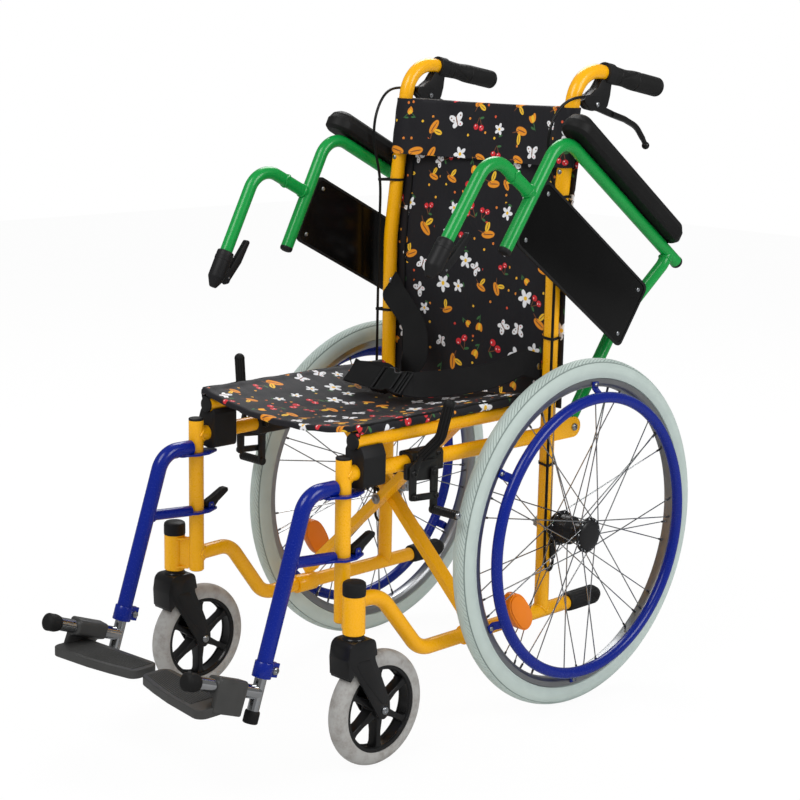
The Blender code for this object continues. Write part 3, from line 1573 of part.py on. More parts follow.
def arm_frame(name, sign, body):
    """The bent armrest tube: a step at the front, a top tube and a rear leg that joggles inwards."""
    main = tube(
        bent(
            [
                arm_place(name, ARM_X, ARM_POST_AHEAD, ARM_POST_BOTTOM),
                arm_place(name, ARM_X, ARM_POST_AHEAD, ARM_TOP),
                arm_place(name, ARM_X, ARM_REAR_END, ARM_TOP),
            ],
            (ARM_BEND,),
        ),
        ARM_TUBE,
        10,
    )
    front = tube(
        bent(
            [
                arm_place(name, ARM_X, ARM_FRONT_AHEAD, ARM_TIP_HEIGHT),
                arm_place(name, ARM_X, ARM_FRONT_AHEAD, ARM_STEP_HEIGHT),
                arm_place(name, ARM_X, ARM_POST_AHEAD, ARM_STEP_HEIGHT),
            ],
            (ARM_BEND,),
        ),
        ARM_TUBE - 0.0005,
        10,
    )
    leg = tube(
        bent(
            [
                arm_place(name, ARM_X, 0, ARM_TOP),
                arm_place(name, ARM_X, 0, ARM_JOGGLE_TOP - 0.010),
                arm_place(name, ARM_PIVOT_X, 0, ARM_JOGGLE_BOTTOM),
                arm_place(name, ARM_PIVOT_X, 0, ARM_FOOT),
            ],
            (0.04, 0.05),
            3,
        ),
        ARM_TUBE - 0.0005,
        10,
    )
    hole = rod(
        arm_place(name, ARM_PIVOT_X - 0.02, 0, 0),
        arm_place(name, ARM_PIVOT_X + 0.02, 0, 0),
        ARM_BOLT_DIAMETER + 2 * RUNNING_CLEARANCE,
        10,
    )
    piece(f"{name}_arm_frame", cut(joined(main, front, leg), hole), GREEN, body)


def arm_pad(name, sign, body):
    """The moulded foam pad: a long rounded form, flat below and crowned above."""
    base = ARM_TOP + ARM_TUBE / 2 + CLEARANCE
    half = PAD_WIDTH / 2
    levels = [(0.0, 0.006), (0.006, 0.0), (0.020, 0.0), (0.031, 0.005), (PAD_THICKNESS, 0.015)]
    rings = []
    for height, inset in levels:
        radius = half - inset
        front = PAD_FRONT - half
        rear = PAD_REAR + half
        ring = []
        for k in range(7):
            turn = math.pi * k / 6
            across = PAD_X + radius * math.cos(turn)
            ahead = front + radius * math.sin(turn)
            ring.append(arm_place(name, across, ahead, base + height))
        for k in range(7):
            turn = math.pi + math.pi * k / 6
            across = PAD_X + radius * math.cos(turn)
            ahead = rear + radius * math.sin(turn)
            ring.append(arm_place(name, across, ahead, base + height))
        rings.append(ring)
    piece(f"{name}_arm_pad", lofted(rings), FOAM, body)


def side_panel(name, sign, body):
    """The thin clothing guard between the armrest's post and its rear leg."""
    front = ARM_POST_AHEAD - ARM_TUBE / 2 - CLEARANCE
    corners = rounded(
        [(PANEL_REAR, PANEL_BOTTOM), (front, PANEL_BOTTOM), (front, PANEL_TOP), (PANEL_REAR, PANEL_TOP)],
        0.006,
        2,
    )
    low = ARM_X - PANEL_THICKNESS / 2
    points = [arm_place(name, low, ahead, up) for ahead, up in corners]
    sheet = slab(points, arm_vector(name, PANEL_THICKNESS, 0, 0))
    piece(f"{name}_side_panel", sheet, PANEL_BLACK, body)


ARM_LATCH_AHEAD = -0.0165
ARM_LATCH_UP = 0.036


def arm_socket(name, sign, body):
    """The latch housing on the armrest's front end: a blind sleeve with a pointed jaw and a lug."""
    bore = around(ARM_TUBE / 2 + CLEARANCE, 12)
    radius = bore + 0.0035
    floor = ARM_TIP_HEIGHT - CLEARANCE
    profile = [
        (0, 0.010),
        (0.007, 0.012),
        (radius - 0.001, 0.026),
        (radius, 0.030),
        (radius, 0.074),
        (radius - 0.0015, 0.077),
        (bore, 0.077),
        (bore, floor),
        (0, floor),
    ]
    sleeve = turned(profile, arm_place(name, ARM_X, ARM_FRONT_AHEAD, 0), arm_vector(name, 0, 0, 1), 12)
    ears = []
    for side in (-1, 1):
        near = ARM_X + side * 0.0056
        outline = [(-0.012, 0.020), (-0.024, 0.028), (-0.024, 0.046), (-0.012, 0.054)]
        points = [arm_place(name, near, ARM_FRONT_AHEAD + a, u) for a, u in outline]
        ears.append(slab(points, arm_vector(name, side * 0.003, 0, 0)))
    pin = rod(
        arm_place(name, ARM_X - 0.0085, ARM_FRONT_AHEAD + ARM_LATCH_AHEAD - 0.0035, ARM_LATCH_UP),
        arm_place(name, ARM_X + 0.0085, ARM_FRONT_AHEAD + ARM_LATCH_AHEAD - 0.0035, ARM_LATCH_UP),
        0.004,
        8,
    )
    piece(f"{name}_arm_socket", joined(sleeve, *ears, pin), BLACK, body)


def arm_latch(name, sign, body):
    """The latch lever behind the socket; pulled back it lets the armrest up."""
    pivot_ahead = ARM_FRONT_AHEAD + ARM_LATCH_AHEAD - 0.0035
    outline = rounded(
        [
            (pivot_ahead + 0.0030, 0.028),
            (pivot_ahead + 0.0030, 0.046),
            (pivot_ahead - 0.0105, 0.112),
            (pivot_ahead - 0.0195, 0.112),
            (pivot_ahead - 0.0170, 0.070),
            (pivot_ahead - 0.0060, 0.028),
        ],
        0.003,
        2,
    )
    points = [arm_place(name, ARM_X - 0.005, a, u) for a, u in outline]
    lever = slab(points, arm_vector(name, 0.010, 0, 0))
    hole = rod(
        arm_place(name, ARM_X - 0.02, pivot_ahead, ARM_LATCH_UP),
        arm_place(name, ARM_X + 0.02, pivot_ahead, ARM_LATCH_UP),
        0.0048,
        8,
    )
    piece(f"{name}_arm_latch", cut(lever, hole), BLACK, body)


def cross_bar(name, hinge_sign, ahead, body):
    """One bar of the X: a sleeve on one lower rail, the bar, and the other side's seat rail."""
    hinge = at(hinge_sign * REAR_POST_X, ahead, LOWER_RAIL_Z)
    half_sleeve = Vector((0, HINGE_SLEEVE_LENGTH / 2, 0))
    bore = FRAME_TUBE + 2 * RUNNING_CLEARANCE
    sleeve = rod(hinge - half_sleeve, hinge + half_sleeve, bore + 2 * HINGE_SLEEVE_WALL, 16)
    opening = rod(hinge - 2 * half_sleeve, hinge + 2 * half_sleeve, bore, 16)
    rise = (SEAT_RAIL_Z - CENTRE_PIVOT_Z) / SEAT_RAIL_X
    run = Vector((-hinge_sign, 0, rise)).normalized()
    across = Vector((hinge_sign * run.z, 0, abs(run.x))) * BAR_THICKNESS / 2
    top = at(-hinge_sign * SEAT_RAIL_X, ahead, SEAT_RAIL_Z)
    foot = at(0, ahead, CENTRE_PIVOT_Z) - run * (REAR_POST_X + 0.002) / abs(run.x)
    deep = Vector((0, BAR_DEPTH / 2, 0))
    section = [(-1, -1), (1, -1), (1, 1), (-1, 1)]
    rings = [[end + across * u + deep * v for u, v in section] for end in (foot, top)]
    bar = lofted(rings)
    rail = rod(
        at(-hinge_sign * SEAT_RAIL_X, SEAT_RAIL_FRONT, SEAT_RAIL_Z),
        at(-hinge_sign * SEAT_RAIL_X, SEAT_RAIL_REAR, SEAT_RAIL_Z),
        FRAME_TUBE,
        12,
    )
    pivot = rod(
        at(0, ahead - 0.05, CENTRE_PIVOT_Z),
        at(0, ahead + 0.05, CENTRE_PIVOT_Z),
        CENTRE_BOLT_DIAMETER + 2 * RUNNING_CLEARANCE,
        12,
    )
    piece(name, cut(joined(bar, sleeve, rail), opening, pivot), YELLOW, body)


def centre_bolt(body):
    """The bolt that the two bars turn on, with its domed head in front and its nut behind."""
    front = BAR_A_AHEAD + BAR_DEPTH / 2 + CLEARANCE
    back = BAR_A_AHEAD - BAR_DEPTH * 1.5 - BAR_GAP - CLEARANCE
    radius = CENTRE_BOLT_DIAMETER / 2
    head = CENTRE_BOLT_HEAD / 2
    profile = [
        (0, back - 0.008),
        (head - 0.001, back - 0.007),
        (head, back),
        (radius, back),
        (radius, front),
        (head, front),
        (head - 0.001, front + 0.003),
        (0, front + 0.0045),
    ]
    bolt = turned(profile, at(0, 0, CENTRE_PIVOT_Z), Vector((0, -1, 0)), 12)
    piece("centre_bolt", bolt, CHROME, body)


def seat_sling(body):
    """The seat cloth, stretched over both seat rails and sagging between them."""
    bed = SEAT_RAIL_Z + FRAME_TUBE / 2 + CLEARANCE
    across = [-1.0, -0.93, -0.8, -0.55, -0.28, 0.0, 0.28, 0.55, 0.8, 0.93, 1.0]
    rings = []
    stations = 7
    for k in range(stations):
        share = k / (stations - 1)
        ahead = SEAT_FRONT + (SEAT_REAR - SEAT_FRONT) * share
        sag = SEAT_SAG * (0.80 + 0.35 * math.sin(math.pi * share))
        top = []
        low = []
        for u in across:
            inside = min(1.0, abs(u) / 0.90)
            dip = sag * (1 - inside**2)
            x = u * SEAT_EDGE_X
            top.append(at(x, ahead, bed + SEAT_THICKNESS - dip))
            low.append(at(x, ahead, bed - dip))
        rings.append(top + low[::-1])
    piece("seat_sling", lofted(rings), CLOTH, body)


def back_depths(z):
    """How far ahead of the axle the back tube's centre line lies at a height."""
    if z <= BACK_LEAN_Z:
        return REAR_POST_AHEAD
    share = (z - BACK_LEAN_Z) / (HANDLE_CORNER_Z - BACK_LEAN_Z)
    return REAR_POST_AHEAD + (HANDLE_CORNER_AHEAD - REAR_POST_AHEAD) * share


def back_sling(body):
    """The back cloth: a sheet behind the tubes and, at the top, a sleeve that goes round them."""
    radius = FRAME_TUBE / 2
    across = [-1.0, -0.82, -0.5, 0.0, 0.5, 0.82, 1.0]
    heights = [BACK_BOTTOM, 0.66, 0.76, 0.84, BACK_FLAP_BOTTOM + 0.012]
    rings = []
    for z in heights:
        centre = back_depths(z)
        front = []
        rear = []
        for u in across:
            bow = 0.003 * (1 - u * u)
            x = u * BACK_HALF_WIDTH
            front.append(at(x, centre - radius - 0.0012 - bow, z))
            rear.append(at(x, centre - radius - 0.0012 - BACK_SHEET - bow, z))
        rings.append(front + rear[::-1])
    sheet = lofted(rings)
    sleeve_radius = radius + CLEARANCE + BACK_SLEEVE_WALL
    rings = []
    for z in (BACK_FLAP_BOTTOM, 0.965, 1.0, BACK_TOP):
        centre = back_depths(z)
        loop = []
        for k in range(9):
            turn = math.radians(-120 + 30 * k)
            loop.append(
                at(REAR_POST_X + sleeve_radius * math.cos(turn), centre + sleeve_radius * math.sin(turn), z)
            )
        mirrored = [Vector((-p.x, p.y, p.z)) for p in reversed(loop)]
        middle_front = [at(x, centre - 0.0065 - bow, z) for x, bow in ((0.10, 0), (0.0, 0.002), (-0.10, 0))]
        middle_rear = [at(x, centre - 0.0185 - bow, z) for x, bow in ((-0.10, 0), (0.0, 0.002), (0.10, 0))]
        rings.append(loop + middle_front + mirrored + middle_rear)
    flap = lofted(rings)
    route = [tube(back_route(side), FRAME_TUBE + 2 * CLEARANCE, 12) for side in (1, -1)]
    piece("back_sling", cut(joined(flap, sheet), *route), CLOTH, body)


def eased(stations):
    """The stations of a web with one more between each two, on a curve through their centres."""
    result = []
    for index in range(len(stations) - 1):
        before = stations[max(index - 1, 0)][0]
        start, across = stations[index]
        end, next_across = stations[index + 1]
        after = stations[min(index + 2, len(stations) - 1)][0]
        middle = (start + end) * 0.5625 - (before + after) * 0.0625
        result += [(start, across), (middle, across.normalized() + next_across.normalized())]
    return result + [stations[-1]]


def strap(stations):
    """A flat web through stations of (centre, direction across the web)."""
    centres = [centre for centre, _ in stations]
    built = bmesh.new()
    loops = []
    for index, (centre, across) in enumerate(stations):
        run = centres[min(index + 1, len(centres) - 1)] - centres[max(index - 1, 0)]
        if index == len(centres) - 1:
            run = Vector((-centre.x, 0, 0))
        run.normalize()
        wide = (across - run * across.dot(run)).normalized() * BELT_WIDTH / 2
        thick = wide.cross(run).normalized() * BELT_THICKNESS / 2
        loops.append(
            [built.verts.new(centre + wide * u + thick * v) for u, v in ((-1, -1), (1, -1), (1, 1), (-1, 1))]
        )
    for low, high in zip(loops, loops[1:]):
        # Both flat sides are split along the same diagonal, so a twisted web keeps its thickness.
        for a, b, c in (
            (low[0], low[1], high[1]),
            (low[0], high[1], high[0]),
            (low[1], low[2], high[2]),
            (low[1], high[2], high[1]),
            (low[2], low[3], high[2]),
            (low[3], high[3], high[2]),
            (low[3], low[0], high[0]),
            (low[3], high[0], high[3]),
        ):
            built.faces.new((a, b, c))
    built.faces.new(loops[0])
    built.faces.new(loops[-1])
    return closed(built)


def lap_belt(body):
    """Two webs from the rear posts over the seat to a side-release buckle."""
    for name, sign, high in (("left", 1, 0.612), ("right", -1, 0.690)):
        stations = [
            (at(sign * 0.1820, 0.040, high), Vector((0, -0.6, 0.8))),
            (at(sign * 0.1720, 0.060, 0.5 * high + 0.284), Vector((0, -0.5, 0.9))),
            (at(sign * 0.1500, 0.090, 0.568), Vector((0, -0.2, 1))),
            (at(sign * 0.1180, 0.123, 0.557), Vector((0, 0.1, 1))),
            (at(sign * 0.0850, 0.156, 0.556), Vector((0, 0.4, 1))),
            (at(sign * 0.0600, 0.186, 0.5565), Vector((0, 0.8, 1))),
            (at(sign * 0.0460, 0.203, 0.557), Vector((0, 1, 1))),
            (at(sign * (BUCKLE_LENGTH / 2 + CLEARANCE), 0.205, 0.557), Vector((0, 1, 1))),
        ]
        piece(f"{name}_lap_belt", strap(eased(stations)), WEBBING, body)


def buckle(body):
    """The side-release buckle, leaning back on the seat: a flat shell with pinched sides."""
    lean = math.radians(45)
    up = Vector((0, math.cos(lean), math.sin(lean)))
    out = Vector((0, -math.sin(lean), math.cos(lean)))
    centre = at(0, 0.205, 0.557)
    half = BUCKLE_LENGTH / 2
    tall = BUCKLE_HEIGHT / 2
    outline = rounded(
        [
            (-half, -tall * 0.86),
            (-0.008, -tall),
            (0.010, -tall * 0.8),
            (half, -tall * 0.9),
            (half, tall * 0.9),
            (0.010, tall * 0.8),
            (-0.008, tall),
            (-half, tall * 0.86),
        ],
        0.004,
        2,
    )
    low = centre - out * BUCKLE_THICKNESS / 2
    shell = slab([low + Vector((u, 0, 0)) + up * v for u, v in outline], out * BUCKLE_THICKNESS)
    piece("belt_buckle", shell, BLACK, body)


def chair():
    right_hinge = at(-REAR_POST_X, BAR_A_AHEAD, LOWER_RAIL_Z)
    left_hinge = at(REAR_POST_X, BAR_A_AHEAD - BAR_DEPTH - BAR_GAP, LOWER_RAIL_Z)
    bar_b_ahead = BAR_A_AHEAD - BAR_DEPTH - BAR_GAP
    right_frame = joint_frame("right_frame_joint", None, Vector((0, 0, 0)))
    bar_a = joint_frame("cross_bar_a_joint", right_frame, right_hinge)
    bar_b = joint_frame("cross_bar_b_joint", bar_a, at(0, BAR_A_AHEAD, CENTRE_PIVOT_Z))
    left_frame = joint_frame("left_frame_joint", bar_b, left_hinge)
    seat = joint_frame("seat_joint", bar_a, at(0, BAR_A_AHEAD, CENTRE_PIVOT_Z))
    cross_bar("cross_bar_a", -1, BAR_A_AHEAD, bar_a)
    cross_bar("cross_bar_b", 1, bar_b_ahead, bar_b)
    centre_bolt(bar_a)
    seat_sling(seat)
    lap_belt(seat)
    buckle(seat)
    back_sling(right_frame)
    for name, frame in (("left", left_frame), ("right", right_frame)):
        side(name, SIDES[name], frame)


def side(name, sign, frame):
    side_frame(name, sign, frame)
    tip_sleeve(name, sign, frame)
    rail_saddle(name, sign, frame)
    push_grip(name, sign, frame)
    brake_body(name, sign, frame)
    brake_cable(name, sign, frame)
    lock_mount(name, sign, frame)

    lever = joint_frame(
        f"{name}_brake_lever_joint", frame, at(sign * REAR_POST_X, BRAKE_PIVOT_AHEAD, BRAKE_PIVOT_Z)
    )
    brake_lever(name, sign, lever)

    wheel = joint_frame(f"{name}_wheel_joint", frame, at(sign * WHEEL_X, 0, WHEEL_RADIUS))
    rear_wheel(name, sign, wheel)
    rear_tyre(name, sign, wheel)
    handrim(name, sign, wheel)

    fork = joint_frame(
        f"{name}_caster_swivel_joint", frame, at(sign * CASTER_X, CASTER_STEM_AHEAD, CASTER_RADIUS)
    )
    caster_fork(name, sign, fork)
    roller = joint_frame(
        f"{name}_caster_wheel_joint",
        fork,
        at(sign * CASTER_X, CASTER_STEM_AHEAD - CASTER_TRAIL, CASTER_RADIUS),
    )
    caster_wheel(name, sign, roller)
    caster_tyre(name, sign, roller)

    hanger = joint_frame(
        f"{name}_hanger_joint", frame, at(sign * FRONT_POST_X, FRONT_POST_AHEAD, HANGER_TOP_Z)
    )
    leg_hanger(name, sign, hanger)
    latch = joint_frame(
        f"{name}_swing_latch_joint",
        hanger,
        at(sign * FRONT_POST_X, SWING_LATCH_AHEAD, PLATE_LOWER_Z + SWING_LATCH_HEIGHT),
    )
    swing_latch(name, sign, latch)
    stem = joint_frame(f"{name}_stem_joint", hanger, on_hanger(sign, HANGER_FOOT_Z))
    footrest_stem(name, sign, stem)
    plate = joint_frame(f"{name}_footplate_joint", stem, on_bar(sign, 0))
    footplate(name, sign, plate)

    lock = joint_frame(
        f"{name}_lock_lever_joint", frame, at(sign * LOCK_PLATE_X, LOCK_LEVER_AHEAD, LOCK_LEVER_Z)
    )
    lock_lever(name, sign, lock)
    link = joint_frame(
        f"{name}_lock_link_joint", lock, at(sign * LOCK_PLATE_X, LOCK_LEVER_AHEAD, LOCK_LEVER_Z - LOCK_CRANK)
    )
    lock_link(name, sign, link)
    shoe = joint_frame(
        f"{name}_lock_shoe_joint", frame, at(sign * LOCK_PLATE_X, LOCK_SHOE_AHEAD, LOCK_SHOE_Z)
    )
    lock_shoe(name, sign, shoe)

    arm = joint_frame(f"{name}_arm_joint", frame, at(sign * ARM_PIVOT_X, ARM_PIVOT_AHEAD, ARM_PIVOT_Z))
    arm_frame(name, sign, arm)
    arm_pad(name, sign, arm)
    side_panel(name, sign, arm)
    arm_socket(name, sign, arm)
    catch = joint_frame(
        f"{name}_arm_latch_joint",
        arm,
        arm_place(name, ARM_X, ARM_FRONT_AHEAD + ARM_LATCH_AHEAD - 0.0035, ARM_LATCH_UP),
    )
    arm_latch(name, sign, catch)


chair()
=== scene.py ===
import math

import bmesh
import bpy
from mathutils import Matrix, Quaternion, Vector


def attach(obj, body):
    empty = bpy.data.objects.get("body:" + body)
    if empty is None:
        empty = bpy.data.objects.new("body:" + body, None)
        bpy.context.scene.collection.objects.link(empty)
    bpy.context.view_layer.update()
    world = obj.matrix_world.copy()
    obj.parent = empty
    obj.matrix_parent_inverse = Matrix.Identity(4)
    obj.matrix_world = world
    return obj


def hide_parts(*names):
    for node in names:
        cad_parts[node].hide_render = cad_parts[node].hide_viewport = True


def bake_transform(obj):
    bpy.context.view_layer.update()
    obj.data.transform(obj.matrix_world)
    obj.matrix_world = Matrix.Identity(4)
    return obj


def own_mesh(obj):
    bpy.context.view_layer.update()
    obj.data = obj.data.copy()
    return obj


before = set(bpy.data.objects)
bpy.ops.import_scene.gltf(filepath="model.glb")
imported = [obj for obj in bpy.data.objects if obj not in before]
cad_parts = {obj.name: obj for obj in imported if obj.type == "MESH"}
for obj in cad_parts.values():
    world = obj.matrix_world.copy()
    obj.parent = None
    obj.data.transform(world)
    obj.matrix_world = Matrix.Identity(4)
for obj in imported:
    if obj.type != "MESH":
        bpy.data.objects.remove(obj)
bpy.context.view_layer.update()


# The camera stands ahead of the chair and to its left, a little above the seat,
# where the photograph was taken from. The lens is a short telephoto on a 36 mm sensor.
CAMERA_PLACE = Vector((2.15795, -2.08047, 1.15227))
CAMERA_AZIMUTH = math.radians(45.2126)
CAMERA_DOWN = math.radians(11.7073)
CAMERA_ROLL = math.radians(1.1259)
CAMERA_LENS = 80.459

camera_data = bpy.data.cameras.new("camera")
camera_data.sensor_width = 36.0
camera_data.lens = CAMERA_LENS
camera = bpy.data.objects.new("camera", camera_data)
look = Vector(
    (
        -math.sin(CAMERA_AZIMUTH) * math.cos(CAMERA_DOWN),
        math.cos(CAMERA_AZIMUTH) * math.cos(CAMERA_DOWN),
        -math.sin(CAMERA_DOWN),
    )
)
camera.rotation_mode = "QUATERNION"
camera.rotation_quaternion = look.to_track_quat("-Z", "Y") @ Quaternion((0, 0, 1), CAMERA_ROLL)
camera.location = CAMERA_PLACE
bpy.context.scene.collection.objects.link(camera)
bpy.context.scene.camera = camera
bpy.context.scene.view_settings.view_transform = "Standard"


# The studio: a white floor that keeps the chair's soft shadow, a white surround, and three
# big soft lamps: one ahead of the chair, one on the camera's right and one behind.
FLOOR_SIZE = 14.0
FLOOR_WHITE = "FCFCFC"
FLOOR_IN_GLOSS = "8C8C8C"
FLOOR_GLOW = 0.95
SURROUND_LIGHT = 0.56
GLOSS_LIGHT = 0.16
LAMPS = (
    ("key_lamp", Vector((0.3, -2.7, 3.7)), 2.4, 74.0),
    ("side_lamp", Vector((3.4, 0.9, 2.6)), 2.0, 54.0),
    ("back_lamp", Vector((-1.8, 2.0, 3.2)), 2.2, 60.0),
)
LAMP_AIM = Vector((0.0, 0.0, 0.5))


def linear(code):
    """An sRGB hex colour as linear red, green, blue and alpha."""
    shares = [int(code[start : start + 2], 16) / 255 for start in (0, 2, 4)]
    return tuple(s / 12.92 if s <= 0.04045 else ((s + 0.055) / 1.055) ** 2.4 for s in shares) + (1.0,)


def add(tree, kind, inputs=None, **settings):
    """Adds a shader node. Inputs give a socket a value, or join it to another node's output."""
    made = tree.nodes.new(kind)
    for name, value in settings.items():
        setattr(made, name, value)
    for socket, value in (inputs or {}).items():
        if isinstance(value, bpy.types.NodeSocket):
            tree.links.new(value, made.inputs[socket])
        else:
            made.inputs[socket].default_value = value
    return made


def surface(name):
    """A new material, and its tree with nothing in it yet."""
    material = bpy.data.materials.new(name)
    material.use_nodes = True
    material.node_tree.nodes.clear()
    return material, material.node_tree


world = bpy.data.worlds.new("studio")
world.use_nodes = True
tree = world.node_tree
tree.nodes.clear()
# Shiny surfaces see a dimmer surround than the camera does, as with the lamps in a dark room.
path = add(tree, "ShaderNodeLightPath")
dimmed = add(
    tree,
    "ShaderNodeMapRange",
    {"Value": path.outputs["Is Glossy Ray"], "To Min": SURROUND_LIGHT, "To Max": GLOSS_LIGHT},
)
surround = add(
    tree,
    "ShaderNodeMapRange",
    {"Value": path.outputs["Is Camera Ray"], "To Min": dimmed.outputs[0], "To Max": 1.0},
)
glow = add(tree, "ShaderNodeBackground", {"Color": (1, 1, 1, 1), "Strength": surround.outputs[0]})
add(tree, "ShaderNodeOutputWorld", {"Surface": glow.outputs[0]})
bpy.context.scene.world = world

for lamp_name, lamp_place, lamp_size, lamp_power in LAMPS:
    lamp_data = bpy.data.lights.new(lamp_name, "AREA")
    lamp_data.shape = "DISK"
    lamp_data.size = lamp_size
    lamp_data.energy = lamp_power
    lamp = bpy.data.objects.new(lamp_name, lamp_data)
    lamp.location = lamp_place
    lamp.rotation_mode = "QUATERNION"
    lamp.rotation_quaternion = (LAMP_AIM - lamp_place).to_track_quat("-Z", "Y")
    bpy.context.scene.collection.objects.link(lamp)

floor_material, tree = surface("studio_floor")
path = add(tree, "ShaderNodeLightPath")
tone = add(
    tree,
    "ShaderNodeMix",
    {0: path.outputs["Is Glossy Ray"], 6: linear(FLOOR_WHITE), 7: linear(FLOOR_IN_GLOSS)},
    data_type="RGBA",
)
skin = add(tree, "ShaderNodeBsdfPrincipled", {"Base Color": tone.outputs[2], "Roughness": 0.9})
glow = add(tree, "ShaderNodeEmission", {"Color": (1, 1, 1, 1), "Strength": 1.0})
share = add(tree, "ShaderNodeMapRange", {"Value": path.outputs["Is Camera Ray"], "To Max": FLOOR_GLOW})
mixed = add(tree, "ShaderNodeMixShader", {0: share.outputs[0], 1: skin.outputs[0], 2: glow.outputs[0]})
add(tree, "ShaderNodeOutputMaterial", {"Surface": mixed.outputs[0]})
floor_built = bmesh.new()
bmesh.ops.create_grid(floor_built, x_segments=1, y_segments=1, size=FLOOR_SIZE / 2)
floor_mesh = bpy.data.meshes.new("studio_floor")
floor_built.to_mesh(floor_mesh)
floor_built.free()
floor_mesh.materials.append(floor_material)
floor = bpy.data.objects.new("studio_floor", floor_mesh)
bpy.context.scene.collection.objects.link(floor)


# The side frames: bent steel tube of 25.4 mm, welded and powder-coated in a warm yellow.
# The coat is glossy and a little wavy, like fine orange peel.
AXLE_Y = 0.2475
AXLE_Z = 0.305
SIDES = (("left", 1), ("right", -1))
UP = Vector((0, 0, 1))
FORWARDS = Vector((0, -1, 0))
TUBE = 0.0254
FRONT_POST = {"x": 0.184, "ahead": 0.489, "low": 0.234, "high": 0.502}
REAR_POST = {"x": 0.198, "ahead": 0.022}
UPPER_RAIL_Z = 0.473
LOWER_RAIL = {"z": 0.154, "front_z": 0.263, "drop_start": 0.412, "drop_end": 0.328, "rear": -0.112}
LOWER_RAIL_BEND = 0.048
BACK_LEAN = {"z": 0.78, "bend": 0.3}
HANDLE = {"corner": (-0.0195, 1.0985), "end": (-0.241, 1.061), "bend": 0.06}
BACK_SLOPE = (HANDLE["corner"][0] - REAR_POST["ahead"]) / (HANDLE["corner"][1] - BACK_LEAN["z"])
STEM = {"x": 0.227, "ahead": 0.503}
ARM_PIVOT = (-0.031, 0.48)
WEB = {"low": 0.2365, "high": 0.287}
YELLOW = ("FBB604", "F3AB03")


def at(side, x, ahead, z):
    """A point given by its distance out from the middle, its distance ahead of the axle, and its height."""
    return Vector((side * x, AXLE_Y - ahead, z))


def bent(points, radii, steps=12):
    """The points of a bent tube's centre line: each inner corner becomes an arc of its own radius."""
    route = [points[0]]
    for before, corner, after, radius in zip(points, points[1:], points[2:], radii):
        inward = (before - corner).normalized()
        outward = (after - corner).normalized()
        half = inward.angle(outward) / 2
        centre = corner + (inward + outward).normalized() * radius / math.sin(half)
        start = corner + inward * radius / math.tan(half) - centre
        end = corner + outward * radius / math.tan(half) - centre
        turn = start.angle(end)
        axis = start.cross(end).normalized()
        route += [centre + Matrix.Rotation(turn * step / steps, 3, axis) @ start for step in range(steps + 1)]
    route.append(points[-1])
    return route


def add_tube(built, route, diameter, sides=24, swell=None):
    """Adds a round tube along a route. With swell, each point's share of the radius, it closes in a ring."""
    curve = bpy.data.curves.new("route", "CURVE")
    curve.dimensions = "3D"
    curve.bevel_depth = diameter / 2
    curve.bevel_resolution = sides // 2 - 2
    curve.use_fill_caps = not swell
    spline = curve.splines.new("POLY")
    spline.points.add(len(route) - 1)
    spline.use_cyclic_u = bool(swell)
    for k, place in enumerate(route):
        spline.points[k].co = (*place, 1.0)
        spline.points[k].radius = swell[k] if swell else 1.0
    guide = bpy.data.objects.new("route", curve)
    mesh = bpy.data.meshes.new_from_object(guide)
    built.from_mesh(mesh)
    bpy.data.objects.remove(guide)
    bpy.data.curves.remove(curve)
    bpy.data.meshes.remove(mesh)


def add_turned(built, profile, centre, axis, steps=32, ring=False):
    """Adds a profile of (radius, distance along the axis), spun once round the axis."""
    axis = axis.normalized()
    start = Vector((0, 0, -1)) if abs(axis.z) < 0.9 else Vector((1, 0, 0))
    start = (start - axis * start.dot(axis)).normalized()
    points = [built.verts.new(centre + start * r + axis * h) for r, h in profile]
    edges = [built.edges.new(pair) for pair in zip(points, points[1:])]
    if ring:
        edges.append(built.edges.new((points[-1], points[0])))
    spun = points + edges
    bmesh.ops.spin(built, geom=spun, cent=centre, axis=axis, angle=math.tau, steps=steps, use_merge=True)


def add_rod(built, start, end, diameter, sides=24, round_off=0.0):
    """Adds a straight round bar, with its end edges rounded off where that is asked for."""
    length = (end - start).length
    r = diameter / 2
    profile = [(0, 0), (r, 0), (r, length), (0, length)]
    if round_off:
        profile[1:3] = [(r - round_off, 0), (r, round_off), (r, length - round_off), (r - round_off, length)]
    add_turned(built, profile, start, end - start, sides)


def piece(name, built, material, body, stands_for=(), angle=38.0):
    """Finishes a mesh: merged, facing outwards, smooth between its sharp edges, riding on its body."""
    bmesh.ops.remove_doubles(built, verts=built.verts, dist=1e-6)
    bmesh.ops.recalc_face_normals(built, faces=built.faces)
    mesh = bpy.data.meshes.new(name)
    built.to_mesh(mesh)
    built.free()
    mesh.materials.append(material)
    mesh.shade_smooth()
    mesh.set_sharp_from_angle(angle=math.radians(angle))
    thing = bpy.data.objects.new(name, mesh)
    bpy.context.scene.collection.objects.link(thing)
    if body:
        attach(thing, body)
    if stands_for:
        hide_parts(*stands_for)
    return thing


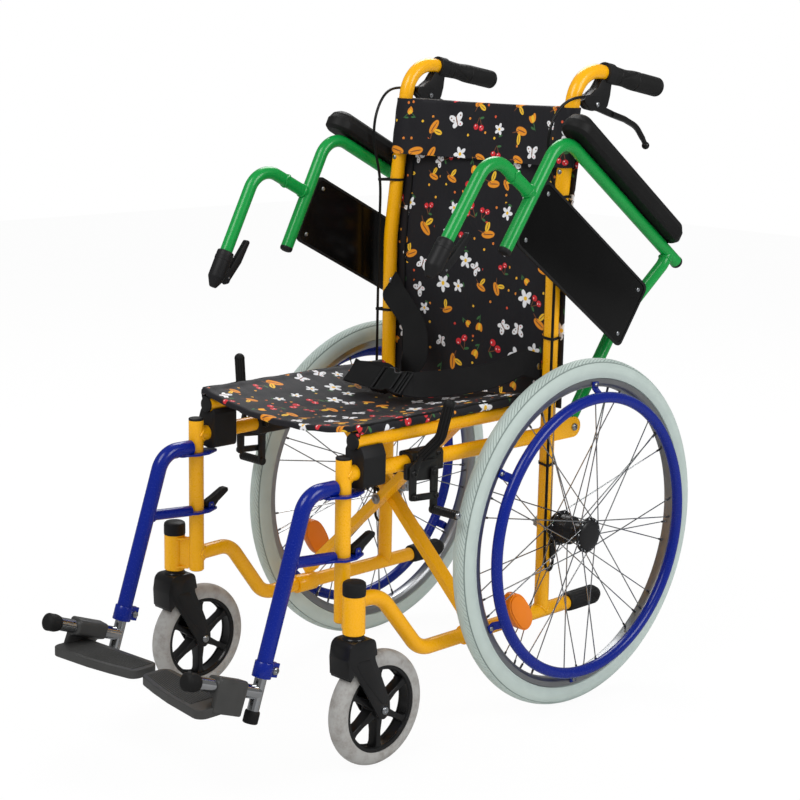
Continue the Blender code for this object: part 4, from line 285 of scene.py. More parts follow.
def mottled(name, tones, gloss, clouds, grain_scale, relief, finish, gloss_by_grain=False):
    """A finish in clouds between two tones, with a fine grain. Its gloss follows the clouds or the grain."""
    material, tree = surface(name)
    place = add(tree, "ShaderNodeTexCoord").outputs["Object"]
    cloud = add(tree, "ShaderNodeTexNoise", {"Vector": place, **clouds})
    dark, light = linear(tones[0]), linear(tones[1])
    tone = add(tree, "ShaderNodeMix", {0: cloud.outputs[0], 6: dark, 7: light}, data_type="RGBA")
    grain = add(tree, "ShaderNodeTexNoise", {"Vector": place, "Scale": grain_scale, "Detail": 2.0})
    source = (grain if gloss_by_grain else cloud).outputs[0]
    rough = add(tree, "ShaderNodeMapRange", {"Value": source, "To Min": gloss[0], "To Max": gloss[1]})
    ripple = {"Height": grain.outputs[0], "Strength": relief[0], "Distance": relief[1]}
    bump = add(tree, "ShaderNodeBump", ripple)
    links = {"Base Color": tone.outputs[2], "Roughness": rough.outputs[0], "Normal": bump.outputs[0]}
    skin = add(tree, "ShaderNodeBsdfPrincipled", {**links, **finish})
    add(tree, "ShaderNodeOutputMaterial", {"Surface": skin.outputs[0]})
    return material


def powder_coat(name, tones, gloss):
    """Powder coat over steel: slight clouds of tone, a wavy skin with 2 mm ripples, and a clear gloss."""
    finish = {"Specular IOR Level": 0.35, "Coat Weight": 0.25, "Coat Roughness": 0.07}
    clouds = {"Scale": 11.0, "Detail": 3.0}
    return mottled(name, tones[::-1], gloss, clouds, 480.0, (0.1, 0.0004), finish, gloss_by_grain=True)


def rail_x(ahead):
    """How far out the upper rail lies, as it runs from the front post to the rear post."""
    share = (FRONT_POST["ahead"] - ahead) / (FRONT_POST["ahead"] - REAR_POST["ahead"])
    return FRONT_POST["x"] + (REAR_POST["x"] - FRONT_POST["x"]) * share


def back_route(side):
    """The rear post's centre line, which leans back above the seat and bends into the push handle."""
    corners = [
        at(side, REAR_POST["x"], REAR_POST["ahead"], LOWER_RAIL["z"]),
        at(side, REAR_POST["x"], REAR_POST["ahead"], BACK_LEAN["z"]),
        at(side, REAR_POST["x"], *HANDLE["corner"]),
        at(side, REAR_POST["x"], *HANDLE["end"]),
    ]
    return bent(corners, (BACK_LEAN["bend"], HANDLE["bend"]))


def handle_point(side, from_end):
    """A point on the handle's centre line, measured forwards from the grip's end."""
    run = (Vector(HANDLE["end"]) - Vector(HANDLE["corner"])).normalized()
    return at(side, REAR_POST["x"], HANDLE["end"][0] - run.x * from_end, HANDLE["end"][1] - run.y * from_end)


yellow = powder_coat("yellow_powder_coat", YELLOW, (0.22, 0.34))


def add_plate(built, points, thickness, soften=0.0, segments=2):
    """Adds a flat plate: an outline of points, pushed out by a thickness vector, with its rims softened."""
    face = built.faces.new([built.verts.new(point) for point in points])
    grown = bmesh.ops.extrude_face_region(built, geom=[face])["geom"]
    tops = [item for item in grown if isinstance(item, bmesh.types.BMVert)]
    bmesh.ops.translate(built, verts=tops, vec=thickness)
    if soften:
        top_face = next(item for item in grown if isinstance(item, bmesh.types.BMFace))
        rims = list(face.edges) + list(top_face.edges)
        bmesh.ops.bevel(
            built,
            geom=rims,
            offset=soften,
            offset_type="OFFSET",
            segments=segments,
            profile=0.5,
            affect="EDGES",
            material=-1,
            clamp_overlap=True,
        )


def rounded(outline, radius, steps=5):
    """A flat outline of (u, v) points with every corner rounded. A third number is a corner's own radius."""
    result = []
    count = len(outline)
    for index in range(count):
        before, corner, after = (Vector((*outline[(index + k) % count][:2], 0)) for k in (-1, 0, 1))
        own = outline[index][2] if len(outline[index]) > 2 else radius
        inward = (before - corner).normalized()
        outward = (after - corner).normalized()
        half = inward.angle(outward) / 2
        reach = min(own / math.tan(half), (before - corner).length / 2.1, (after - corner).length / 2.1)
        size = reach * math.tan(half)
        centre = corner + (inward + outward).normalized() * size / math.sin(half)
        start = corner + inward * reach - centre
        end = corner + outward * reach - centre
        turn = start.angle(end)
        spin = start.cross(end).normalized()
        for step in range(steps + 1):
            point = centre + Matrix.Rotation(turn * step / steps, 3, spin) @ start
            result.append((point.x, point.y))
    return result


def add_side_plate(built, side, x_low, x_high, outline, soften=0.0008):
    """Adds a plate drawn in the side view as (ahead, z) points, from x_low out to x_high."""
    points = [at(side, x_low, ahead, z) for ahead, z in outline]
    add_plate(built, points, Vector((side * (x_high - x_low), 0, 0)), soften)


def add_weld(built, centre, along, post, branch_radius, post_radius, bead=0.0046):
    """Adds the weld bead where a branch tube meets a post: a rippled cord along the saddle line."""
    along = along.normalized()
    post = (post - along * post.dot(along)).normalized()
    across = along.cross(post)
    route, swell = [], []
    for k in range(72):
        turn = math.tau * k / 72
        off = branch_radius * math.sin(turn)
        reach = math.sqrt(max(post_radius**2 - off**2, 0.0))
        route.append(centre + across * off + post * branch_radius * math.cos(turn) + along * reach)
        swell.append(1.0 + 0.14 * math.sin(turn * 24))
    add_tube(built, route, bead, 10, swell)


def add_bolt(built, place, out, width, height, kind="dome"):
    """Adds a fastener's head on a face: a hexagon, or a dome with a socket for its key."""
    r = width / 2
    if kind == "hex":
        nut = [(0, 0), (r, 0), (r, height - 0.0006), (r - 0.0008, height), (0, height)]
        add_turned(built, nut, place, out, 6)
        thread = [(0, height), (r * 0.45, height), (r * 0.45, height + 0.0015), (0, height + 0.0015)]
        add_turned(built, thread, place, out, 16)
        return
    profile = [
        (0, 0), (r, 0), (r, height * 0.35), (r * 0.92, height * 0.68), (r * 0.7, height * 0.92),
        (r * 0.42, height), (r * 0.36, height * 0.55), (0, height * 0.55),
    ]
    add_turned(built, profile, place, out, 20)


for name, side in SIDES:
    built = bmesh.new()
    post_foot = at(side, FRONT_POST["x"], FRONT_POST["ahead"], FRONT_POST["low"])
    post_top = at(side, FRONT_POST["x"], FRONT_POST["ahead"], FRONT_POST["high"] - 0.0035)
    add_rod(built, post_foot, post_top, TUBE, 40, 0.0012)
    rail_front = at(side, FRONT_POST["x"], FRONT_POST["ahead"], UPPER_RAIL_Z)
    rail_rear = at(side, REAR_POST["x"], REAR_POST["ahead"], UPPER_RAIL_Z)
    add_rod(built, rail_front, rail_rear, TUBE, 40)
    lower_corners = [
        at(side, FRONT_POST["x"], FRONT_POST["ahead"], LOWER_RAIL["front_z"]),
        at(side, FRONT_POST["x"] + 0.006, LOWER_RAIL["drop_start"], LOWER_RAIL["front_z"]),
        at(side, REAR_POST["x"], LOWER_RAIL["drop_end"], LOWER_RAIL["z"]),
        at(side, REAR_POST["x"], LOWER_RAIL["rear"], LOWER_RAIL["z"]),
    ]
    add_tube(built, bent(lower_corners, (LOWER_RAIL_BEND, LOWER_RAIL_BEND), 14), TUBE, 40)
    handle_line = back_route(side)
    handle_line[-1] = handle_point(side, 0.009)
    add_tube(built, handle_line, TUBE, 40)
    rail_run = rail_rear - rail_front
    for start, run, post in (
        (rail_front, rail_run, UP),
        (rail_rear, -rail_run, UP),
        (lower_corners[0], lower_corners[1] - lower_corners[0], UP),
        (at(side, REAR_POST["x"], REAR_POST["ahead"], LOWER_RAIL["z"]), UP, Vector((0, 1, 0))),
    ):
        add_weld(built, start, run, post, TUBE / 2, TUBE / 2)

    # The caster's stem housing: a thick sleeve on a welded web ahead of the front post.
    stem = at(side, STEM["x"], STEM["ahead"], 0)
    sleeve = [(0, 0.2283), (0.0168, 0.2283), (0.018, 0.2295), (0.018, 0.2908), (0.017, 0.292), (0, 0.292)]
    add_turned(built, sleeve, stem, UP, 48)
    web = [(FRONT_POST["x"], FRONT_POST["ahead"] - 0.0065), (FRONT_POST["x"], FRONT_POST["ahead"] + 0.0065)]
    web += [(0.213, 0.507), (0.213, 0.495)]
    web_foot = [at(side, x, ahead, WEB["low"]) for x, ahead in web]
    add_plate(built, web_foot, UP * (WEB["high"] - WEB["low"]), 0.0015)
    for bead_z in WEB.values():
        for bead in (
            ((FRONT_POST["x"] + 0.0118, FRONT_POST["ahead"] + 0.0085), (0.2025, 0.504), (0.211, 0.5115)),
            ((FRONT_POST["x"] + 0.0122, FRONT_POST["ahead"] - 0.0065), (0.203, 0.4925), (0.2105, 0.495)),
        ):
            add_tube(built, bent([at(side, x, ahead, bead_z) for x, ahead in bead], (0.01,), 4), 0.0042, 10)

    # The armrest's bracket: two plates welded behind the rear post, with the bolt hole's boss in each.
    nose = [
        (ARM_PIVOT[0] + 0.018 * math.cos(turn), ARM_PIVOT[1] + 0.018 * math.sin(turn))
        for turn in (math.radians(90 + 180 * k / 14) for k in range(15))
    ]
    outline = [(0.02, 0.462), (0.02, 0.498)] + nose
    for face in (-1, 1):
        near = REAR_POST["x"] + face * 0.0116
        add_side_plate(built, side, near, near + face * 0.003, outline, 0.0007)
    # The axle boss beside the rear post, pressed from heavy plate and welded round.
    add_rod(built, at(side, 0.183, 0, AXLE_Z), at(side, 0.2118, 0, AXLE_Z), 0.03, 40, 0.001)
    piece(f"{name}_frame_tubes", built, yellow, f"{name}_frame", [f"{name}_side_frame"])


# Caps, bolts and nuts on the frames: black nylon caps are pressed in or on, and the fasteners
# are zinc-plated steel with a bluish, slightly grainy shine.
NYLON = ("171718", "222223")


def moulded(name, tones, gloss=(0.42, 0.56), grain_mm=0.9, relief=0.18, coat=0.0):
    """Injection-moulded plastic: even colour with faint flow clouds and a spark-eroded grain."""
    finish = {"Specular IOR Level": 0.26}
    if coat:
        finish.update({"Coat Weight": coat, "Coat Roughness": 0.12})
    clouds = {"Scale": 26.0, "Detail": 4.0}
    return mottled(name, tones, gloss, clouds, 1000.0 / grain_mm, (relief, 0.0003), finish)


def plated(name, tones, gloss, grain_scale=220.0, relief=0.05):
    """Plated or polished steel: metal with a fine grain and slight smears that break its shine."""
    smears = {"Scale": 40.0, "Detail": 5.0}
    return mottled(name, tones, gloss, smears, grain_scale, (relief, 0.0003), {"Metallic": 1.0})


nylon = moulded("moulded_black_nylon", NYLON)
zinc = plated("zinc_plated_steel", ("B9BDC2", "D6D8DA"), (0.24, 0.38))
for name, side in SIDES:
    built = bmesh.new()
    post = at(side, FRONT_POST["x"], FRONT_POST["ahead"], 0)
    cap = [(0, 0.498), (0.0126, 0.498), (0.0129, 0.499), (0.0129, 0.5005), (0.0118, 0.5018), (0.006, 0.5021)]
    add_turned(built, cap + [(0, 0.502)], post, UP, 40)
    add_turned(built, [(0, 0.2335), (0.011, 0.2335), (0.012, 0.235), (0, 0.235)], post, UP, 32)
    cap = [(0, 0.2915), (0.0182, 0.2915), (0.0186, 0.293), (0.0186, 0.308), (0.0178, 0.3115), (0.015, 0.3136)]
    add_turned(built, cap + [(0.008, 0.3144), (0, 0.3145)], at(side, STEM["x"], STEM["ahead"], 0), UP, 48)
    piece(f"{name}_frame_caps", built, nylon, f"{name}_frame")

    built = bmesh.new()
    out = Vector((side, 0, 0))
    add_rod(built, at(side, 0.186, *ARM_PIVOT), at(side, 0.21, *ARM_PIVOT), 0.0078, 20)
    add_bolt(built, at(side, 0.2126, *ARM_PIVOT), out, 0.0135, 0.005)
    add_bolt(built, at(side, 0.1834, *ARM_PIVOT), -out, 0.013, 0.0042, "hex")
    add_rod(built, at(side, 0.164, 0, AXLE_Z), at(side, 0.266, 0, AXLE_Z), 0.0118, 28)
    add_bolt(built, at(side, 0.17, 0, AXLE_Z), -out, 0.0205, 0.009, "hex")
    washer = [(0.006, 0), (0.0125, 0), (0.0125, 0.0014), (0.006, 0.0014)]
    add_turned(built, washer, at(side, 0.1715, 0, AXLE_Z), out, 32, True)
    piece(f"{name}_frame_fasteners", built, zinc, f"{name}_frame")


# The drum brake's fixed plate beside the hub: pressed steel, painted black, with the lever
# that the cable pulls. It bolts to the axle boss and doesn't turn.
black_paint = moulded("black_painted_steel", ("141414", "1E1E1E"), (0.26, 0.4), 0.6, 0.08, 0.25)
for name, side in SIDES:
    built = bmesh.new()
    out = Vector((side, 0, 0))
    cover = [(0.0062, 0), (0.0285, 0), (0.029, 0.0008), (0.029, 0.0024), (0.0275, 0.003), (0.0062, 0.003)]
    add_turned(built, cover, at(side, 0.2118, 0, AXLE_Z), out, 56, True)
    lever = rounded([(0.004, 0.302), (0.022, 0.296), (0.021, 0.25), (0.008, 0.25)], 0.004)
    add_side_plate(built, side, 0.2112, 0.215, lever, 0.0006)
    piece(f"{name}_brake_plate", built, black_paint, f"{name}_frame")


# The seat rail saddles: a moulded nylon block clamped on each upper rail. Its cradle takes
# the seat rail between two lips when the chair is open.
for name, side in SIDES:
    built = bmesh.new()
    rail = rail_x(0.442)
    inner = 0.1625
    outer = rail + TUBE / 2 + 0.0072
    front, rear = 0.466, 0.418
    section = rounded([
        (inner, 0.449, 0.008), (rail - 0.004, 0.4465, 0.012), (outer, 0.45, 0.007),
        (outer + 0.0004, 0.498, 0.004), (outer - 0.0035, 0.5085, 0.003), (0.1965, 0.5165, 0.001),
        (0.193, 0.513, 0.003), (0.1855, 0.5092, 0.006), (0.1785, 0.5092, 0.006),
        (0.1705, 0.513, 0.003), (0.1675, 0.5165, 0.001), (inner, 0.508, 0.003),
    ], 0.004)
    points = [at(side, x, rear, z) for x, z in section]
    add_plate(built, points, Vector((0, rear - front, 0)), 0.0016, 3)
    piece(f"{name}_saddle_block", built, nylon, f"{name}_frame", [f"{name}_rail_saddle"])


# The tipping sleeves: a soft black PVC foot pushed on the rear end of each lower rail, with
# lengthwise ribs for the shoe's grip and a blunt chamfered end.
pvc = moulded("soft_black_pvc", ("191919", "242424"), (0.5, 0.64), 1.2, 0.14)
for name, side in SIDES:
    built = bmesh.new()
    tip = at(side, REAR_POST["x"], LOWER_RAIL["rear"], LOWER_RAIL["z"])
    body = [(0, -0.019), (0.0095, -0.019), (0.0112, -0.018), (0.0166, -0.0085), (0.017, -0.007)]
    body += [(0.017, 0.061), (0.0168, 0.064), (0.015, 0.0664), (0.0128, 0.0668), (0.0128, 0.06), (0, 0.06)]
    add_turned(built, body, tip, FORWARDS, 60)
    for k in range(20):
        turn = math.tau * k / 20
        ridge = tip + Vector((math.cos(turn), 0, math.sin(turn))) * 0.0163
        add_rod(built, ridge + FORWARDS * -0.006, ridge + FORWARDS * 0.056, 0.0026, 8)
    piece(f"{name}_tip_foot", built, pvc, f"{name}_frame", [f"{name}_tipping_sleeve"])


# The folding cross: two rectangular steel bars on a domed bolt. Each is welded to a sleeve that
# turns on one lower rail, and carries the seat rail of the other side.
BARS = {"cross_bar_a": (-1, 0.2275, "bar_a"), "cross_bar_b": (1, 0.201, "bar_b")}
BAR_HALF = (0.0075, 0.0125)
PIVOT_Z = 0.3547
SEAT_RAIL = {"x": 0.182, "z": 0.522, "front": 0.471, "rear": 0.06}


def mirrored(half):
    """A whole section from the (radius, distance) points of one half of it."""
    return half + [(r, -h) for r, h in reversed(half)]


def oblong(u_low, v_low, u_high, v_high):
    """A rectangle's corners."""
    return [(u_low, v_low), (u_high, v_low), (u_high, v_high), (u_low, v_high)]


for name, (hinge_side, ahead, body) in BARS.items():
    built = bmesh.new()
    hinge = at(hinge_side, REAR_POST["x"], ahead, LOWER_RAIL["z"])
    hinge_sleeve = mirrored([(0.0165, 0.0217), (0.016, 0.0225), (0.0131, 0.0225)])
    add_turned(built, hinge_sleeve, hinge, FORWARDS, 44, True)
    rise = (SEAT_RAIL["z"] - PIVOT_Z) / SEAT_RAIL["x"]
    run = Vector((-hinge_side, 0, rise)).normalized()
    across = Vector((run.z, 0, -run.x))
    top = at(-hinge_side, SEAT_RAIL["x"], ahead, SEAT_RAIL["z"]) - run * 0.006
    foot = at(0, 0, ahead, PIVOT_Z) - run * (REAR_POST["x"] - 0.011) / abs(run.x)
    wide, high = BAR_HALF
    section = rounded(oblong(-wide, -high, wide, high), 0.0024, 5)
    add_plate(built, [foot + across * u + Vector((0, v, 0)) for u, v in section], top - foot)
    rail_front = at(-hinge_side, SEAT_RAIL["x"], SEAT_RAIL["front"] - 0.004, SEAT_RAIL["z"])
    rail_rear = at(-hinge_side, SEAT_RAIL["x"], SEAT_RAIL["rear"] + 0.004, SEAT_RAIL["z"])
    add_rod(built, rail_front, rail_rear, TUBE, 40)
    bead = rounded(oblong(-wide - 0.001, -high - 0.001, wide + 0.001, high + 0.001), 0.0034, 5)
    for end, lift in ((top, -0.0095), (foot, 0.0085)):
        points = [end + run * lift + across * u + Vector((0, v, 0)) for u, v in bead]
        add_plate(built, points, run * 0.0035, 0.0012, 3)
    piece(f"{name}_bar", built, yellow, body, [name])

    built = bmesh.new()
    plug = [(0, 0), (0.0131, 0), (0.0133, 0.001), (0.013, 0.003), (0.011, 0.004), (0, 0.004)]
    add_turned(built, plug, rail_front, FORWARDS, 40)
    add_turned(built, plug, rail_rear, -FORWARDS, 40)
    piece(f"{name}_rail_plugs", built, nylon, body)

built = bmesh.new()
bolt_front = at(0, 0, BARS["cross_bar_a"][1] + BAR_HALF[1] + 0.0003, PIVOT_Z)
bolt_back = at(0, 0, BARS["cross_bar_b"][1] - BAR_HALF[1] - 0.0003, PIVOT_Z)
add_turned(built, [(0, 0), (0.0098, 0), (0.0098, 0.001), (0, 0.001)], bolt_front, FORWARDS, 36)
add_bolt(built, bolt_front + FORWARDS * 0.0009, FORWARDS, 0.0135, 0.0042)
add_rod(built, bolt_front, bolt_back, 0.008, 24)
add_bolt(built, bolt_back, -FORWARDS, 0.014, 0.0065, "hex")
piece("cross_bolt", built, zinc, "bar_a", ["centre_bolt"])


# The solid rear tyres: grey-green polyurethane foam with a closed, slightly chalky skin. Two
# rows of slanted grooves run round the crown between fine lines, and the shoulders are smooth.
WHEEL = {"radius": 0.305, "x": 0.256, "seat": 0.2718, "half": 0.018}
TYRE_CROWN = {"radius": 0.2852, "reach": 0.0198}
TREAD = {"pitch": 0.0098, "slant": 2.2, "reach": 0.026, "depth": 0.001, "lip": 0.0003, "inner": 0.295}
TREAD_SLASH = (0.001, 0.0112)
TREAD_LINE = (0.0116, 0.0134)
TREAD_GREY = ("AEBCB7", "C0CDC7")

foam_clouds = {"Scale": 34.0, "Detail": 6.0, "Roughness": 0.62}
tyre_gloss = (0.52, 0.72)
tyre_skin = mottled("grey_polyurethane_tyre", TREAD_GREY, tyre_gloss, foam_clouds, 900.0, (0.22, 0.0003), {})
# The groove floors are a darker grey: painted shade in the recesses.
groove_shade_skin = moulded("tyre_groove_painted_shade", ("7E8B87", "8F9A96"), (0.6, 0.75), 0.9, 0.1)


def on_tyre(point, side):
    """A point of a tyre as its distance from the middle plane, from the axle, and its turn round the axle."""
    ahead, up = point.y - AXLE_Y, point.z - WHEEL["radius"]
    return side * point.x - WHEEL["x"], math.hypot(up, ahead), math.atan2(up, ahead)


for name, side in SIDES:
    built = bmesh.new()
    shoulder = [(WHEEL["seat"], 0.0125), (WHEEL["seat"] + 0.0008, 0.015)]
    section = [(r, WHEEL["x"] - off) for r, off in shoulder]
    for k in range(27):
        turn = math.radians(-104 + 8 * k)
        r = TYRE_CROWN["radius"] + TYRE_CROWN["reach"] * math.cos(turn)
        section.append((r, WHEEL["x"] + WHEEL["half"] * math.sin(turn)))
    section += [(r, WHEEL["x"] + off) for r, off in reversed(shoulder)]
    teeth = round(math.tau * WHEEL["radius"] / TREAD["pitch"])
    add_turned(built, section, at(side, 0, 0, WHEEL["radius"]), Vector((side, 0, 0)), 4 * teeth, ring=True)
    bmesh.ops.remove_doubles(built, verts=built.verts, dist=1e-6)
    for vert in built.verts:
        off, far, turn = on_tyre(vert.co, side)
        turn += min(TREAD["slant"] * abs(off), TREAD["reach"]) / WHEEL["radius"]
        vert.co.y = AXLE_Y + far * math.cos(turn)
        vert.co.z = WHEEL["radius"] + far * math.sin(turn)
    bmesh.ops.recalc_face_normals(built, faces=built.faces)
    grooves = []
    step = math.tau / (4 * teeth)
    for face in built.faces:
        off, far, turn = on_tyre(face.calc_center_median(), side)
        turn -= min(TREAD["slant"] * abs(off), TREAD["reach"]) / WHEEL["radius"]
        count = math.floor((turn + math.pi) / step) + (2 if off > 0 else 0)
        slash = TREAD_SLASH[0] < abs(off) < TREAD_SLASH[1] and count % 4 == 0
        line = TREAD_LINE[0] < abs(off) < TREAD_LINE[1]
        if far > TREAD["inner"] and (slash or line):
            grooves.append(face)
    bmesh.ops.inset_region(
        built,
        faces=grooves,
        thickness=TREAD["lip"],
        depth=-TREAD["depth"],
        use_even_offset=True,
        use_boundary=True,
    )
    # The groove floors take the second, darker material: painted shade.
    for face in grooves:
        face.material_index = 1
    tyre = piece(
        f"{name}_solid_tyre",
        built,
        tyre_skin,
        f"{name}_wheel",
        [f"{name}_rear_tyre"],
        angle=50.0,
    )
    tyre.data.materials.append(groove_shade_skin)


# The rear wheels: an anodised aluminium box rim, 36 stainless spokes with dark nipples, and a
# black hub with a domed cap over its quick-release end. An amber reflector clips on the spokes.
RIM = {"outer": 0.2715, "inner": 0.257, "half": 0.013}
HUB = {"inner": 0.2172, "outer": 0.2865, "flange": 0.031, "wall": 0.003}
SPOKES = {"per_flange": 18, "diameter": 0.0021, "sweep": math.radians(54)}

rim_metal = plated("anodised_aluminium_rim", ("A9ABAE", "C3C5C7"), (0.3, 0.42), 700.0, 0.1)
spoke_steel = plated("stainless_spoke_wire", ("AEB1B4", "C6C8CA"), (0.2, 0.3), 300.0, 0.04)
nipple_metal = plated("dark_nickel_nipple", ("55565A", "6A6B70"), (0.3, 0.4), 300.0, 0.04)
hub_black = moulded("black_hub_shell", ("161617", "222223"), (0.34, 0.48), 0.7, 0.1, 0.2)

AMBER = ("F58800", "E87600")
amber, tree = surface("amber_reflector_acrylic")
place = add(tree, "ShaderNodeTexCoord").outputs["Object"]
prisms = add(tree, "ShaderNodeTexVoronoi", {"Vector": place, "Scale": 420.0, "Randomness": 0.0}, feature="F1")
depth = prisms.outputs["Distance"]
tone = add(tree, "ShaderNodeMix", {0: depth, 6: linear(AMBER[0]), 7: linear(AMBER[1])}, data_type="RGBA")
bump = add(tree, "ShaderNodeBump", {"Height": depth, "Strength": 0.35, "Distance": 0.0006})
finish = {"Base Color": tone.outputs[2], "Normal": bump.outputs[0], "Roughness": 0.3}
finish.update({"Specular IOR Level": 0.3, "Coat Weight": 0.2, "Coat Roughness": 0.05})
skin = add(tree, "ShaderNodeBsdfPrincipled", finish)
add(tree, "ShaderNodeOutputMaterial", {"Surface": skin.outputs[0]})

REFLECTOR = {"turn": {1: -143, -1: -149}, "from_axle": {1: 0.185, -1: 0.177}, "long": 0.0395, "wide": 0.0205}
REFLECTOR_LAYERS = ((0.0, -0.0122, 0.0056), (0.0028, 0.005, 0.0076))

for name, side in SIDES:
    wheel_body = f"{name}_wheel"
    centre = at(side, 0, 0, WHEEL["radius"])
    outwards = Vector((side, 0, 0))

    built = bmesh.new()
    half = [
        (RIM["inner"] - 0.0004, 0.007), (RIM["inner"], 0.0085), (RIM["inner"] + 0.003, 0.0112),
        (RIM["inner"] + 0.0055, 0.0122), (RIM["inner"] + 0.006, 0.0128),
        (RIM["outer"] - 0.0004, RIM["half"]), (RIM["outer"], RIM["half"] - 0.001),
    ]
    add_turned(built, mirrored(half), centre + outwards * WHEEL["x"], outwards, 144, ring=True)
    piece(f"{name}_rim", built, rim_metal, wheel_body, [f"{name}_rear_wheel"], angle=28.0)

    built = bmesh.new()
    nipples = bmesh.new()
    flanges = ((HUB["inner"] + HUB["wall"] / 2, -0.003, 0.0), (HUB["outer"] - 0.0075, 0.003, 0.5))
    for flange_x, rim_shift, offset in flanges:
        for lean in (-1, 1):
            for k in range(SPOKES["per_flange"] // 2):
                foot_turn = math.tau * (2 * k + (lean > 0) + offset) / SPOKES["per_flange"]
                head_turn = foot_turn + lean * SPOKES["sweep"]
                ends = []
                for r, turn, x in (
                    (HUB["flange"] - 0.0034, foot_turn, flange_x + lean * (HUB["wall"] / 2 + 0.0011)),
                    (RIM["inner"] + 0.004, head_turn, WHEEL["x"] + rim_shift),
                ):
                    ends.append(
                        Vector((side * x, AXLE_Y + r * math.cos(turn), WHEEL["radius"] + r * math.sin(turn)))
                    )
                elbow, tip = ends
                run = (tip - elbow).normalized()
                add_rod(built, elbow, tip - run * 0.006, SPOKES["diameter"], 8)
                through = Vector((side * (flange_x - lean * (HUB["wall"] / 2 + 0.0004)), elbow.y, elbow.z))
                add_rod(built, elbow, through, SPOKES["diameter"], 8)
                dome = [(0, 0), (0.0021, 0), (0.0021, 0.0004), (0.0012, 0.0013), (0, 0.0015)]
                add_turned(built, dome, through, through - elbow, 10)
                skirt = [(0, 0), (0.0011, 0), (0.0019, 0.0005), (0.0019, 0.01), (0.0027, 0.0112)]
                skirt += [(0.0027, 0.014), (0, 0.014)]
                add_turned(nipples, skirt, tip - run * 0.014, run, 8)
    piece(f"{name}_spoke_lacing", built, spoke_steel, wheel_body)
    piece(f"{name}_spoke_nipples", nipples, nipple_metal, wheel_body)

    built = bmesh.new()
    hub_section = [
        (0.0064, 0.2172), (0.03, 0.2172), (0.031, 0.218), (0.031, 0.2196), (0.03, 0.2203),
        (0.0256, 0.2212), (0.025, 0.2226), (0.025, 0.242), (0.0238, 0.2442), (0.0165, 0.25),
        (0.015, 0.253), (0.015, 0.268), (0.016, 0.2702), (0.0285, 0.2768), (0.031, 0.2778),
        (0.031, 0.28), (0.03, 0.2807), (0.0268, 0.2809), (0.0262, 0.2815), (0.0258, 0.283),
        (0.0235, 0.2848), (0.018, 0.286), (0.01, 0.2864), (0, 0.2865), (0, 0.2685), (0.0064, 0.2685),
    ]
    add_turned(built, hub_section, centre, outwards, 64, ring=True)
    for k in range(12):
        turn = math.tau * k / 12
        lift = Vector((0, math.cos(turn), math.sin(turn)))
        start = centre + lift * 0.0248 + outwards * 0.224
        add_rod(built, start, start + outwards * 0.017, 0.0018, 8, 0.0004)
    piece(f"{name}_hub_shell", built, hub_black, wheel_body, angle=30.0)

    # The reflector: two shallow lens halves in one oval moulding, with clips on two spokes.
    built = bmesh.new()
    lean = math.radians(REFLECTOR["turn"][side])
    out = Vector((math.cos(lean), math.sin(lean)))
    along = Vector((-out.y, out.x))
    middle = out * REFLECTOR["from_axle"][side]
    for inset, low, high in REFLECTOR_LAYERS:
        outline = []
        for k in range(56):
            turn = math.tau * k / 56
            u = math.copysign(abs(math.cos(turn)) ** 0.78, math.cos(turn)) * (REFLECTOR["long"] - inset)
            v = math.copysign(abs(math.sin(turn)) ** 0.9, math.sin(turn)) * (REFLECTOR["wide"] - inset)
            spot = middle + along * u + out * v
            outline.append((-spot.x, WHEEL["radius"] + spot.y))
        add_side_plate(built, side, WHEEL["x"] + low, WHEEL["x"] + high, outline, 0.0011)
    piece(f"{name}_spoke_reflector", built, amber, wheel_body, angle=30.0)


# The push rings: steel tube of 19 mm rolled to a ring and coated in cobalt blue, on six short
# strips that are welded to it and screwed to the flank of the rim.
PUSH_RING = {"radius": 0.2418, "x": 0.2875, "tube": 0.019}
BLUE = ("001B7C", "02208A")
blue = powder_coat("blue_powder_coat", BLUE, (0.2, 0.32))
for name, side in SIDES:
    built = bmesh.new()
    screws = bmesh.new()
    centre = at(side, 0, 0, WHEEL["radius"])
    outwards = Vector((side, 0, 0))
    tube_turns = [math.tau * k / 24 for k in range(24)]
    r = PUSH_RING["tube"] / 2
    section = [(PUSH_RING["radius"] + r * math.cos(t), PUSH_RING["x"] + r * math.sin(t)) for t in tube_turns]
    add_turned(built, section, centre, outwards, 160, ring=True)
    for k in range(6):
        turn = math.radians(27) + math.tau * k / 6
        lift = Vector((0, math.cos(turn), math.sin(turn)))
        along = Vector((0, -lift.z, lift.y)) * 0.0075
        strip = rounded([
            (0.245, 0.2862, 0.0005), (0.244, 0.2822, 0.0005), (0.254, 0.2694, 0.003),
            (0.2665, 0.2694, 0.0005), (0.2665, 0.2717, 0.0005), (0.2555, 0.2717, 0.004),
        ], 0.001, 4)
        points = [centre + lift * r + Vector((side * x, 0, 0)) - along for r, x in strip]
        add_plate(built, points, 2 * along, 0.0006)
        add_bolt(screws, centre + lift * 0.2612 + Vector((side * 0.2717, 0, 0)), outwards, 0.0082, 0.0032)
    piece(f"{name}_push_ring", built, blue, f"{name}_wheel", [f"{name}_handrim"])
    piece(f"{name}_push_ring_screws", screws, zinc, f"{name}_wheel")


# The casters: a glass-filled nylon fork with two swept blades under a domed crown, a black
# six-spoke moulded centre and a pale grey solid tyre that has picked up faint rolling marks.
CASTER = {**STEM, "trail": 0.049, "radius": 0.095, "half": 0.016, "inner": 0.0715}
CASTER_SPOKE = ((0.012, 0.0085, 0.0118), (0.02, 0.0066, 0.0108), (0.04, 0.0048, 0.0096))
CASTER_SPOKE += ((0.058, 0.005, 0.0098), (0.0662, 0.0078, 0.0106))
fork_nylon = moulded("glass_filled_nylon", ("101011", "1B1B1C"), (0.24, 0.36), 1.4, 0.1, 0.35)

